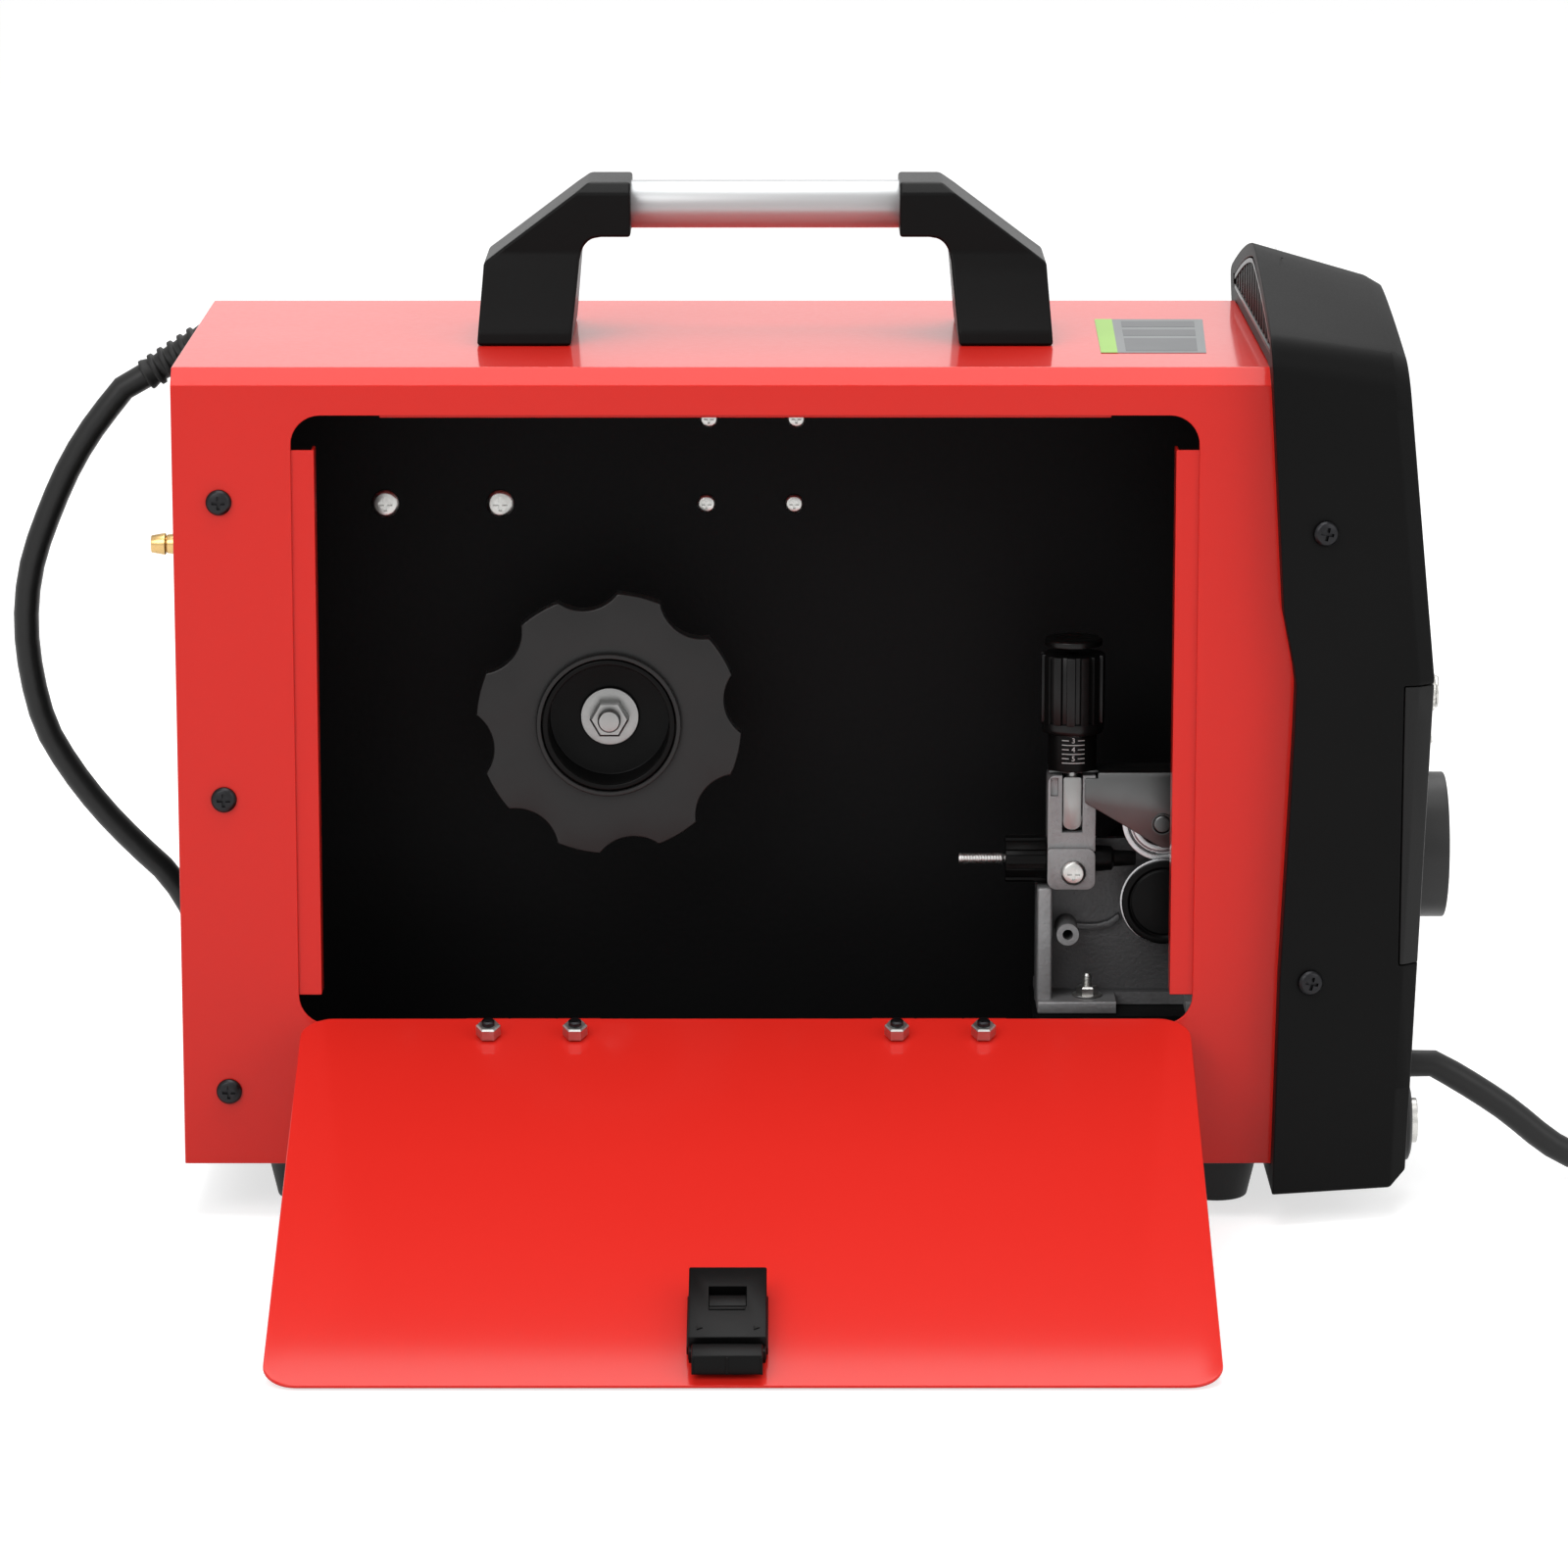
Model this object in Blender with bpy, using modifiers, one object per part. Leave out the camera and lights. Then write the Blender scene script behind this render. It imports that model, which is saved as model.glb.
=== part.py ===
"""MIG welding machine with its side door laid open.

The machine stands on four rubber feet, +Z up, with its control front towards +X and the door
side towards -Y.  All pieces are placed in the machine's own coordinates (floor at z = 0, case
centre line at y = 0) and hang from one empty, which puts the middle of the footprint at the
origin.  Metres throughout.
"""

import math

import bmesh
import bpy
import numpy as np
from mathutils import Matrix, Vector

# ---------------------------------------------------------------- driving dimensions
FUSED = 0.0002               # how far a piece sinks into the one that it is joined to
GAP = 0.0003                 # space between pieces that touch
RUNNING = 0.0004             # radial room of a turning or sliding piece
SHEET = 0.0012               # painted steel sheet

# case
CASE_WIDTH = 0.196
CASE_TOP = 0.320             # height of the top face above the floor
CASE_REAR = -0.230           # outer face of the rear end
COVER_FRONT = 0.1863         # front edge of the red cover, under the bezel
EDGE_FOLD = 0.006            # sloped fold along the two top edges
PAN_FLANGE = 0.016
PANEL_FLANGE = 0.024
PANEL_FLANGE_LOW = 0.040
PANEL_FLANGE_HIGH = 0.300
FRONT_FLANGE = 0.0114
BULKHEAD_HALF = CASE_WIDTH / 2 + 0.0025
DIVIDER_Y = 0.015            # near face of the wall between the wire bay and the electronics
DIVIDER_FLANGE = 0.014

# feet
FOOT_HEIGHT = 0.021
FOOT_TOP_R = 0.016
FOOT_BOTTOM_R = 0.012
FOOT_REAR_X = -0.186
FOOT_FRONT_X = 0.157
FOOT_Y = CASE_WIDTH / 2 - 0.035

# door opening and door
OPENING_REAR_X = -0.1865
OPENING_FRONT_X = 0.1453
OPENING_LOW = 0.0745
OPENING_HIGH = CASE_TOP - 0.017
OPENING_R = 0.011
DOOR_SIDE_GAP = 0.0014
DOOR_END_GAP = 0.001
DOOR_R = 0.012
DOOR_OPEN = math.radians(109.8)
JAMB_LOW = 0.0855
JAMB_HIGH = OPENING_HIGH - 0.013
JAMB_WIDTH = 0.0084          # part of the strip that shows inside the opening
JAMB_LAP = 0.0055            # part of the strip behind the cover
JAMB_DEPTH = 0.0105
HEADER_REAR_X = -0.154
HEADER_FRONT_X = 0.113
HEADER_DROP = 0.001          # how far the header shows below the opening's top edge
HEADER_LAP = 0.008

# hinges
HINGE_XS = (-0.0995, 0.0512)
HINGE_LENGTH = 0.050
HINGE_R = 0.0025             # outside of the knuckle
HINGE_PIN_R = 0.00125
LEAF_WIDTH = 0.0175
LEAF_BOLT_SPACING = 0.032
LEAF_BOLT_OFFSET = 0.0115    # fixed leaf: screw line to hinge axis
DOOR_BOLT_OFFSET = 0.0135    # door leaf: bolt line to hinge axis
KNUCKLE_SHARE = 0.0172       # length of the middle knuckle
HINGE_BOLT_R = 0.0024
HINGE_BOLT_HEAD_R = 0.0044
HINGE_BOLT_HEAD = 0.0028
HINGE_NUT_R = 0.0046
HINGE_NUT_HEIGHT = 0.005
HINGE_BOLT_END = 0.0018      # thread that stands out of the nut

# slide latch on the door, measured along the door from the hinge axis
LATCH_X = -0.026
LATCH_WIDTH = 0.027
LATCH_DEPTH = 0.0105
LATCH_START = 0.1724
LATCH_SPLIT = 0.2133
LATCH_END = 0.224
LATCH_PLATE = 0.0014
LATCH_RIM = 0.0016
LATCH_STEM_WIDTH = 0.012
LATCH_STEM_DEPTH = 0.0035
LATCH_STEM_START = 0.190
LATCH_WINDOW_WIDTH = 0.013
LATCH_WINDOW_START = 0.1839
LATCH_WINDOW_END = 0.1957

# screws
SCREW_HEAD_R = 0.00475
SCREW_HEAD = 0.0026
SCREW_R = 0.0022
SCREW_LENGTH = 0.0065
CASE_SCREW_X = -0.213
CASE_SCREW_ZS = (0.271, 0.160, 0.049)
BEZEL_SCREWS = ((0.191, 0.261), (0.188, 0.093))
WALL_SCREWS_WIDE = ((-0.159, 0.252), (-0.115, 0.252))
WALL_SCREWS_SMALL = ((-0.036, 0.252), (-0.0024, 0.252), (-0.035, 0.285), (-0.0016, 0.285))
WALL_SCREW_WIDE_R = 0.0053
WALL_SCREW_SMALL_R = 0.0036
WALL_SCREW_HEAD = 0.0020

# handle, heights above the top of the case
HANDLE_MIDDLE_X = -0.0134
HANDLE_BASE_REACH = 0.1075   # middle to the outer foot of a leg
HANDLE_BASE_LENGTH = 0.0351
HANDLE_SHOULDER_REACH = 0.1054
HANDLE_SHOULDER = 0.0292
HANDLE_TOP = 0.0588
HANDLE_TOP_REACH = 0.0661
HANDLE_GRIP_REACH = 0.0504
HANDLE_NECK = 0.0385
HANDLE_INNER_REACH = 0.064
HANDLE_INNER_BEND = 0.0298
HANDLE_TOP_HALF = 0.0215
HANDLE_BASE_HALF = 0.038
HANDLE_CHAMFER = 0.004
GRIP_R = 0.009
GRIP_AXIS = 0.0486
GRIP_SOCKET = 0.014
HANDLE_SCREW_Y = 0.008
HANDLE_SCREW_REACH = 0.090

# front bezel: plastic shell
BEZEL_WALL = 0.0025
BEZEL_REAR_HALF = CASE_WIDTH / 2 + 0.013
BEZEL_SIDE_HALF = CASE_WIDTH / 2 + 0.0025
BEZEL_FACE_HALF = CASE_WIDTH / 2 - 0.002
BEZEL_LOW = 0.0123
BEZEL_FACE_LOW = 0.018
BEZEL_SHOULDER = CASE_TOP + 0.011       # top of the side wall at the rear rim
BEZEL_CROWN = CASE_TOP + 0.034          # top of the arch at the rear rim
BEZEL_FACE_SHOULDER = CASE_TOP
BEZEL_FACE_CROWN = CASE_TOP + 0.018
BEZEL_CHAMFER = 0.006        # fore and aft length of the front corner slope
BEZEL_FACE_LOW_X = 0.2258
BEZEL_FACE_BREAK_X = 0.233
BEZEL_FACE_BREAK = 0.205
BEZEL_FACE_TOP_X = 0.2197
BEZEL_CORNER_RISE = 0.0035     # the corner slope's drop at the top
BEZEL_STATIONS = (0.095, 0.149, 0.189, BEZEL_FACE_BREAK, 0.232, 0.285)
BEZEL_RIM = ((0.0123, 0.175), (0.095, 0.1766), (0.149, 0.179), (0.189, 0.1806),
             (0.207, 0.181), (0.232, 0.176), (BEZEL_SHOULDER, 0.170), (BEZEL_CROWN, 0.1708))
ARCH_STEPS = (0.8, 0.56, 0.3)
ARCH_POWER = 1.35
CASE_CLEARANCE = 0.0004
VENT_RIM = 0.0052            # height of the ledge between the case top and the vent
VENT_INSET = 0.0055
VENT_HALF = CASE_WIDTH / 2 - 0.004
VENT_FRAME = 0.002
VENT_DEPTH = 0.008
VENT_FIN = 0.0013
VENT_FIN_PITCH = 0.0125
INSERT_LOW = 0.0975
INSERT_HIGH = 0.203
INSERT_REAR_X = 0.2214
WINDOW_WIDTH = 0.112
WINDOW_HEIGHT = 0.060
WINDOW_THICK = 0.0014
WINDOW_Z = 0.262

# front sockets and controls
TORCH_Y = -0.038
WIRE_Z = 0.1245
TORCH_Z = 0.130
TORCH_R = 0.0275
TORCH_REACH = 0.2434         # front of the collar
TORCH_CORE_R = 0.017
TORCH_GROOVE_R = 0.021
TORCH_GROOVE_DEPTH = 0.011
TORCH_CORE_SET = 0.005
TORCH_BORE_R = 0.006
TORCH_BORE_DEPTH = 0.026
TORCH_TAIL_R = 0.008
OUTPUT_YS = (-0.065, 0.065)
OUTPUT_Z = 0.029
OUTPUT_R = 0.012
OUTPUT_RING_R = 0.0085
OUTPUT_RING = 0.0055
OUTPUT_PROUD = 0.001
OUTPUT_BORE_R = 0.0048
OUTPUT_BORE_DEPTH = 0.024
KNOB_Y = -0.008
KNOB_Z = 0.183
KNOB_R = 0.0075
KNOB_LENGTH = 0.010
KNOB_SHAFT_R = 0.003
KNOB_STAND = 0.0012
TOGGLE_Z = 0.1635
TOGGLE_R = 0.0022
TOGGLE_BALL_R = 0.0042
TOGGLE_LENGTH = 0.0085
TOGGLE_TILT = math.radians(10)
CONTROL_SOCKET_Y = 0.010
CONTROL_SOCKET_Z = 0.084
CONTROL_SOCKET_R = 0.0078
CONTROL_SOCKET_REACH = 0.0105
LEAD_Y = -0.043
LEAD_Z = 0.0455
GROMMET_R = 0.0078
GROMMET_LIP_R = 0.0098
GROMMET_LIP = 0.0025

# spool hub, y measured towards the door (negative)
HUB_X = -0.0723
HUB_Z = 0.178
HUB_R = 0.025
HUB_FRONT_Y = -0.049
HUB_RECESS_R = 0.0228
HUB_FLOOR_Y = -0.030
HUB_FLANGE_R = 0.031
HUB_FLANGE = 0.005
HUB_SHAFT_R = 0.004
HUB_SHAFT_END_Y = -0.0425
HUB_NUT_R = 0.0075
HUB_NUT = 0.0065
HUB_WASHER_R = 0.011
HUB_WASHER = 0.0015
HUB_HEAD_R = 0.0075
HUB_HEAD = 0.0055
RING_R = 0.050
RING_REAR_Y = -0.0385
RING_FRONT_Y = -0.047
RING_COLLAR_R = 0.0272
RING_COLLAR_Y = -0.0495
SCALLOPS = 8
SCALLOP_R = 0.016
SCALLOP_CENTRE_R = 0.0601
SCALLOP_START = math.radians(99)

# wire feeder
FEED_Y = -0.038              # plane of the wire
ROLLER_R = 0.015
ROLLER_WIDTH = 0.010
ROLLER_GROOVE = 0.0008
DRIVE_X = 0.1375
DRIVE_Z = 0.109
PRESS_X = 0.1365
PRESS_Z = 0.1396
DRIVE_SHAFT_R = 0.004
CAP_R = 0.0165
CAP_THICK = 0.0033
PLATE_REAR_X = 0.0895
PLATE_FRONT_X = 0.172
PLATE_LOW = 0.0665
PLATE_HIGH = 0.130
PLATE_FACE_Y = -0.028
PLATE_THICK = 0.004
EAR_RISE = 0.0075            # arm pivot to the top of the plate's ear
FOOT_PLATE = 0.0048
FOOT_PLATE_FRONT_Y = -0.050
FOOT_PLATE_BACK_Y = -0.006
FOOT_LUG_REAR_X = 0.1195      # the foot is cut back between its two bolt lugs
FOOT_LUG_FRONT_X = 0.146
FOOT_RECESS_Y = -0.034
RIM_WIDTH = 0.0058
RIM_FRONT_Y = -0.046
CLAMP_LOW = 0.1145
CLAMP_SCREW_X = 0.1030
CLAMP_SCREW_Z = CLAMP_LOW + 0.0065
CLAMP_REAR_X = 0.0932
CLAMP_FRONT_X = 0.1112
CLAMP_FACE_Y = -0.048
YOKE_FRONT_X = 0.1113
YOKE_TOP = 0.158
LEVER_X = 0.1025
LEVER_WIDTH = 0.007
LEVER_DEPTH = 0.008
LEVER_Y = -0.040
LEVER_PIVOT_Z = 0.1405
LEVER_PIN_R = 0.0015
LEVER_PIN_LENGTH = 0.013
LEVER_SHOULDER = 0.157
LEVER_ROD_R = 0.0025
SLOT_LOW = 0.136
SLOT_BACK_Y = -0.0335
ARM_PIVOT_X = 0.163
ARM_PIVOT_Z = 0.147
ARM_SHEET = 0.0012
ARM_TOP = 0.1595
ARM_FRONT_Y = -0.0472
ARM_BACK_Y = -0.030
ARM_CHEEK_X = 0.112
ARM_CHEEK_LOW = 0.1444
ARM_TIP_X = 0.1072            # end of the front cheek, before the yoke
ARM_TIP_TOP = 0.1572
ARM_TIP_LOW = 0.1478
ARM_TONGUE_X = 0.0935
ARM_TONGUE_Y = -0.0425
ARM_PIN_R = 0.004
ARM_DROP = 0.0092            # roller axis to the arm's lowest edge
ARM_END = 0.0055             # pivot to the arm's front end
BARREL_R = 0.00915
BARREL_TOP = 0.189
TKNOB_R = 0.01215
TKNOB_RIBS = 14
TKNOB_RIB = 0.0009
TKNOB_LOW = 0.174
TKNOB_TOP = 0.210
TKNOB_ROOF = 0.0165
GUIDE_TUBE_R = 0.0016
GUIDE_TUBE_X = 0.060
GUIDE_R = 0.005
GUIDE_SHOULDER_X = 0.1178
GUIDE_NECK_R = 0.0032
GUIDE_NOSE_X = 0.127
GUIDE_BORE_R = 0.0009
GUIDE_NUT_R = 0.0095
GUIDE_NUT_X = 0.0775
EYE_X = 0.1012
EYE_Z = 0.0965
EYE_R = 0.0042
EYE_HOLE_R = 0.002
RACK_BOLT_XS = (0.109, 0.158)
RACK_BOLT_Y = -0.040
RACK_BOLT_R = 0.0019
RACK_NUT_R = 0.0042
RACK_NUT = 0.0036
RACK_BOLT_END = 0.005
RACK_REAR_X = 0.088
RACK_FRONT_X = 0.174
RACK_NEAR_Y = -0.052
RACK_FAR_Y = -0.003
MOTOR_R = 0.026
MOTOR_BACK_Y = 0.078
GEARBOX_R = 0.024
GEARBOX_BACK_Y = -0.004

# rear end
RELIEF_Y = 0.078
RELIEF_Z = CASE_TOP - 0.0135
RELIEF_TILT = math.radians(30)
RELIEF_R = 0.0078
RELIEF_END_R = 0.0062
RELIEF_LENGTH = 0.028
RELIEF_RIBS = 5
RELIEF_RIB = 0.0013
RELIEF_COLLAR_R = 0.0095
RELIEF_COLLAR = 0.003
RELIEF_STEM_R = 0.0075
GAS_Y = 0.040
GAS_Z = 0.232
BARB_R = 0.00435
BARB_NECK_R = 0.0031
BARB_REACH = 0.0215
BARB_BORE_R = 0.0021
GAS_NUT_R = 0.0075
GAS_NUT = 0.0025
GAS_STEM_R = 0.0048
VALVE_SIZE = (0.038, 0.024, 0.040)
FAN_Y = (DIVIDER_Y + CASE_WIDTH / 2) / 2
FAN_Z = 0.105
FAN_SIZE = CASE_WIDTH / 2 - DIVIDER_Y - 0.007
FAN_DEPTH = 0.025
FAN_BORE_R = FAN_SIZE / 2 - 0.0025
FAN_HUB_R = 0.0165
FAN_BLADE_R = FAN_BORE_R - 0.001
FAN_BLADES = 7
FAN_SHAFT_R = 0.0018
GRILLE_SLOTS = 9
GRILLE_SLOT = 0.0036
SWITCH_Y = 0.045
SWITCH_Z = 0.276
SWITCH_SIZE = (0.036, 0.022)  # flange height and width
SWITCH_FLANGE = 0.0018
SWITCH_BODY = (0.031, 0.0185)
SWITCH_DEPTH = 0.024
ROCKER_SIZE = (0.0215, 0.0135)
ROCKER_DEPTH = 0.0055
ROCKER_TILT = math.radians(8)
LOUVRES = 9
LOUVRE_PITCH = 0.011
LOUVRE_LENGTH = 0.060
LOUVRE_WIDTH = 0.0032
LOUVRE_X = 0.060
LOUVRE_Z = 0.080

# electronics
SINK_REAR_X = -0.150
SINK_FRONT_X = 0.030
SINK_NEAR_Y = 0.032
SINK_FAR_Y = CASE_WIDTH / 2 - 0.007
SINK_HEIGHT = 0.040
SINK_PLATE = 0.005
SINK_FINS = 9
SINK_FIN = 0.002
BOARD_REAR_X = -0.190
BOARD_FRONT_X = 0.078
BOARD_THICK = 0.0016
CORE_SIZE = (0.062, 0.052, 0.048)
CORE_X = 0.0
CAPACITOR_R = 0.015
CAPACITOR_HEIGHT = 0.042
CAPACITOR_XS = (-0.165, -0.128, -0.091)

# mains cord, its coil and its plug
CORD_R = 0.005
COIL_X = -0.150
COIL_Y = 0.190
COIL_OUTER_R = 0.0643        # centre line of the outermost turn
COIL_TURNS = 4
COIL_PITCH = 0.0106
COIL_LIFT = 0.0106           # height between the two layers
COIL_LEAD_IN = 0.010
COIL_TAIL = 0.062
LOOP_POINTS = 24
FLOOR_GAP = 0.0003
PLUG_R = 0.0190
PLUG_LENGTH = 0.046
PLUG_NECK_R = 0.0075
PLUG_NECK = 0.016
PIN_R = 0.0024
PIN_LENGTH = 0.019
PIN_SPACING = 0.019

# short lead with its bayonet plug
LEAD_R = 0.0052
LEAD_END_X = 0.349
LEAD_END_Y = 0.120
LEAD_PLUG_R = 0.0125
LEAD_PLUG_SLEEVE = 0.052
LEAD_PLUG_PIN_R = 0.0045
LEAD_PLUG_PIN = 0.021

# ---------------------------------------------------------------- values that follow
HALF = CASE_WIDTH / 2
HINGE_Y = -HALF - GAP - HINGE_R
HINGE_Z = OPENING_LOW + 0.0005
DOOR_START = 0.0015          # near edge of the door, from the hinge axis
DOOR_LENGTH = OPENING_HIGH - DOOR_END_GAP - HINGE_Z - DOOR_START
FLOOR_TOP = FOOT_HEIGHT + SHEET             # top of the base pan
PANEL_BACK_X = CASE_REAR + 0.0005
BULKHEAD_X = COVER_FRONT + GAP              # rear face of the steel panel inside the bezel
BULKHEAD_FRONT_X = BULKHEAD_X + SHEET
CORD_Z = CORD_R + FLOOR_GAP
PLUG_Z = PLUG_R + FLOOR_GAP
LEAD_PLUG_Z = LEAD_PLUG_R + FLOOR_GAP
RACK_TOP = PLATE_LOW - GAP
DOOR_EDGE = Vector((0, HINGE_R, DOOR_START + DOOR_LENGTH))
DOOR_EDGE.rotate(Matrix.Rotation(DOOR_OPEN, 3, "X"))
FOOTPRINT_X = (CASE_REAR - BARB_REACH + TORCH_REACH) / 2
FOOTPRINT_Y = (HINGE_Y + DOOR_EDGE.y + BEZEL_REAR_HALF) / 2

# routes of the two cords, in machine coordinates
CORD_ROUTE = (
    (-0.2769, 0.0780, 0.2723), (-0.2870, 0.0780, 0.2560), (-0.2960, 0.0780, 0.2360),
    (-0.3025, 0.0780, 0.2170), (-0.3052, 0.0780, 0.1970), (-0.3040, 0.0780, 0.1760),
    (-0.2986, 0.0780, 0.1529), (-0.2885, 0.0785, 0.1345), (-0.2769, 0.0790, 0.1188),
    (-0.2640, 0.0800, 0.1045), (-0.2515, 0.0820, 0.0915), (-0.2420, 0.0850, 0.0745),
    (-0.2385, 0.0890, 0.0520), (-0.2370, 0.0950, 0.0305), (-0.2330, 0.1050, 0.0150),
    (-0.2240, 0.1160, 0.0080), (-0.2080, 0.1235, CORD_Z), (-0.1880, 0.1257, CORD_Z),
)
LEAD_ROUTE = (
    (0.2520, -0.0430, 0.0392), (0.2690, -0.0430, 0.0280), (0.2823, -0.0428, 0.0171),
    (0.2925, -0.0422, 0.0103), (0.3040, -0.0405, 0.0067), (0.3265, -0.0345, 0.0056),
    (0.3430, -0.0180, 0.0056), (0.3490, 0.0045, 0.0056), (0.3490, 0.0400, 0.0057),
    (0.3490, 0.0700, 0.0068), (0.3490, 0.0950, 0.0100),
)


# ---------------------------------------------------------------- scene and finishes
for old in list(bpy.data.objects):
    bpy.data.objects.remove(old, do_unlink=True)

PARTS = bpy.data.collections.new("mig_welding_machine")
CUTTERS = bpy.data.collections.new("cutters")
for group in (PARTS, CUTTERS):
    bpy.context.scene.collection.children.link(group)


def finish(name, colour, roughness, metallic=0.0):
    """A Principled material of one plain colour."""
    made = bpy.data.materials.new(name)
    made.use_nodes = True
    shader = made.node_tree.nodes["Principled BSDF"]
    shader.inputs["Base Color"].default_value = (*colour, 1.0)
    shader.inputs["Roughness"].default_value = roughness
    shader.inputs["Metallic"].default_value = metallic
    return made


RED_PAINT = finish("red_powder_coat", (0.62, 0.030, 0.024), 0.25)
BLACK_PAINT = finish("black_powder_coat", (0.010, 0.010, 0.010), 0.55)
BLACK_PLASTIC = finish("black_moulded_plastic", (0.012, 0.012, 0.012), 0.45)
DARK_PLASTIC = finish("dark_grey_nylon", (0.035, 0.035, 0.036), 0.5)
SMOKED_WINDOW = finish("smoked_window", (0.006, 0.006, 0.008), 0.12)
RUBBER = finish("black_rubber", (0.014, 0.014, 0.014), 0.75)
ZINC = finish("zinc_plate", (0.58, 0.58, 0.57), 0.35, 1.0)
ALUMINIUM = finish("polished_aluminium", (0.75, 0.75, 0.76), 0.22, 1.0)
CASTING = finish("die_cast_aluminium", (0.30, 0.30, 0.30), 0.5, 0.8)
STEEL = finish("tool_steel", (0.42, 0.42, 0.42), 0.35, 1.0)
BRASS = finish("brass", (0.66, 0.46, 0.20), 0.3, 1.0)
NICKEL = finish("nickel_plate", (0.62, 0.61, 0.58), 0.28, 1.0)
BOARD_GREEN = finish("circuit_board", (0.02, 0.12, 0.05), 0.5)


# ---------------------------------------------------------------- bodies
def body(name, at, parent=None, turn=0.0, about="X"):
    """An empty on a joint's axis; `at` is in machine coordinates with every joint closed."""
    empty = bpy.data.objects.new(name, None)
    PARTS.objects.link(empty)
    empty["home"] = tuple(at)
    empty.parent = parent
    home = Vector(parent["home"]) if parent else Vector((0, 0, 0))
    empty.location = Vector(at) - home
    empty.rotation_mode = "XYZ"
    setattr(empty.rotation_euler, about.lower(), turn)
    return empty


MACHINE = body("machine", (0, 0, 0))
MACHINE.location = (-FOOTPRINT_X, -FOOTPRINT_Y, 0)
DOOR = body("door_axis", (0, HINGE_Y, HINGE_Z), MACHINE, DOOR_OPEN)
LATCH = body("latch_axis", (LATCH_X, HINGE_Y, HINGE_Z + LATCH_SPLIT), DOOR)
SPOOL = body("spool_axis", (HUB_X, 0, HUB_Z), MACHINE)
ROLLER = body("drive_roller_axis", (DRIVE_X, FEED_Y, DRIVE_Z), MACHINE)
ARM = body("arm_axis", (ARM_PIVOT_X, FEED_Y, ARM_PIVOT_Z), MACHINE)
PRESS = body("pressure_roller_axis", (PRESS_X, FEED_Y, PRESS_Z), ARM)
LEVER = body("tension_lever_axis", (LEVER_X, LEVER_Y, LEVER_PIVOT_Z), MACHINE)
BARREL = body("tension_barrel_axis", (LEVER_X, LEVER_Y, ARM_TOP), LEVER)
TKNOB = body("tension_knob_axis", (LEVER_X, LEVER_Y, TKNOB_LOW), LEVER)
FAN = body("fan_axis", (CASE_REAR, FAN_Y, FAN_Z), MACHINE)
ROCKER = body("rocker_axis", (CASE_REAR + 0.0045, SWITCH_Y, SWITCH_Z), MACHINE)
KNOB = body("control_knob_axis", (BEZEL_FACE_BREAK_X, KNOB_Y, KNOB_Z), MACHINE)
TOGGLE = body("toggle_axis", (BEZEL_FACE_BREAK_X - 0.004, KNOB_Y, TOGGLE_Z), MACHINE)


# ---------------------------------------------------------------- making shapes
PLANES = {
    "top": Matrix.Identity(3),                                    # outline in x, y
    "side": Matrix(((1, 0, 0), (0, 0, -1), (0, 1, 0))),           # outline in x, z
    "front": Matrix(((0, 0, 1), (1, 0, 0), (0, 1, 0))),           # outline in y, z
}
AXES = {
    "+X": Matrix.Rotation(math.pi / 2, 3, "Y"), "-X": Matrix.Rotation(-math.pi / 2, 3, "Y"),
    "+Y": Matrix.Rotation(-math.pi / 2, 3, "X"), "-Y": Matrix.Rotation(math.pi / 2, 3, "X"),
    "+Z": Matrix.Identity(3), "-Z": Matrix.Rotation(math.pi, 3, "X"),
}


def place(thing, at, holder, look=None, turn=None):
    """Puts an object in its collection, under its body, at a place in machine coordinates."""
    (PARTS if look else CUTTERS).objects.link(thing)
    thing.parent = holder
    thing.location = Vector(at) - Vector(holder["home"])
    if turn is not None:
        thing.rotation_mode = "XYZ"
        thing.rotation_euler = turn.to_euler("XYZ")
    if look:
        thing.data.materials.append(look)
    else:
        thing.hide_render = True
        thing.display_type = "WIRE"
    return thing


def mesh_object(name, shape):
    mesh = bpy.data.meshes.new(name)
    shape.to_mesh(mesh)
    shape.free()
    return bpy.data.objects.new(name, mesh)


def smooth(thing, angle=35):
    thing.data.shade_smooth()
    thing.data.set_sharp_from_angle(angle=math.radians(angle))
    return thing


def block(name, low, high, holder=MACHINE, look=None):
    """A box between two corners."""
    low, high = Vector(low), Vector(high)
    shape = bmesh.new()
    bmesh.ops.create_cube(shape, size=1.0)
    bmesh.ops.scale(shape, vec=high - low, verts=shape.verts)
    return place(mesh_object(name, shape), (low + high) / 2, holder, look)


def blocks(name, boxes, holder=MACHINE, look=None):
    """Several boxes that don't touch, in one mesh."""
    home = Vector(boxes[0][0])
    shape = bmesh.new()
    for low, high in boxes:
        low, high = Vector(low), Vector(high)
        made = bmesh.ops.create_cube(shape, size=1.0)["verts"]
        bmesh.ops.scale(shape, vec=high - low, verts=made)
        bmesh.ops.translate(shape, vec=(low + high) / 2 - home, verts=made)
    return place(mesh_object(name, shape), home, holder, look)


def rods(name, runs, radius, holder=MACHINE, look=None, sides=16):
    """Cylinders of one radius between pairs of points, in one mesh."""
    home = Vector(runs[0][0])
    shape = bmesh.new()
    for start, end in runs:
        start, end = Vector(start), Vector(end)
        made = bmesh.ops.create_cone(shape, cap_ends=True, segments=sides, radius1=radius,
                                     radius2=radius, depth=(end - start).length)["verts"]
        lean = Vector((0, 0, 1)).rotation_difference(end - start).to_matrix()
        bmesh.ops.rotate(shape, verts=made, matrix=lean)
        bmesh.ops.translate(shape, verts=made, vec=(start + end) / 2 - home)
    return smooth(place(mesh_object(name, shape), home, holder, look))


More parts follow.
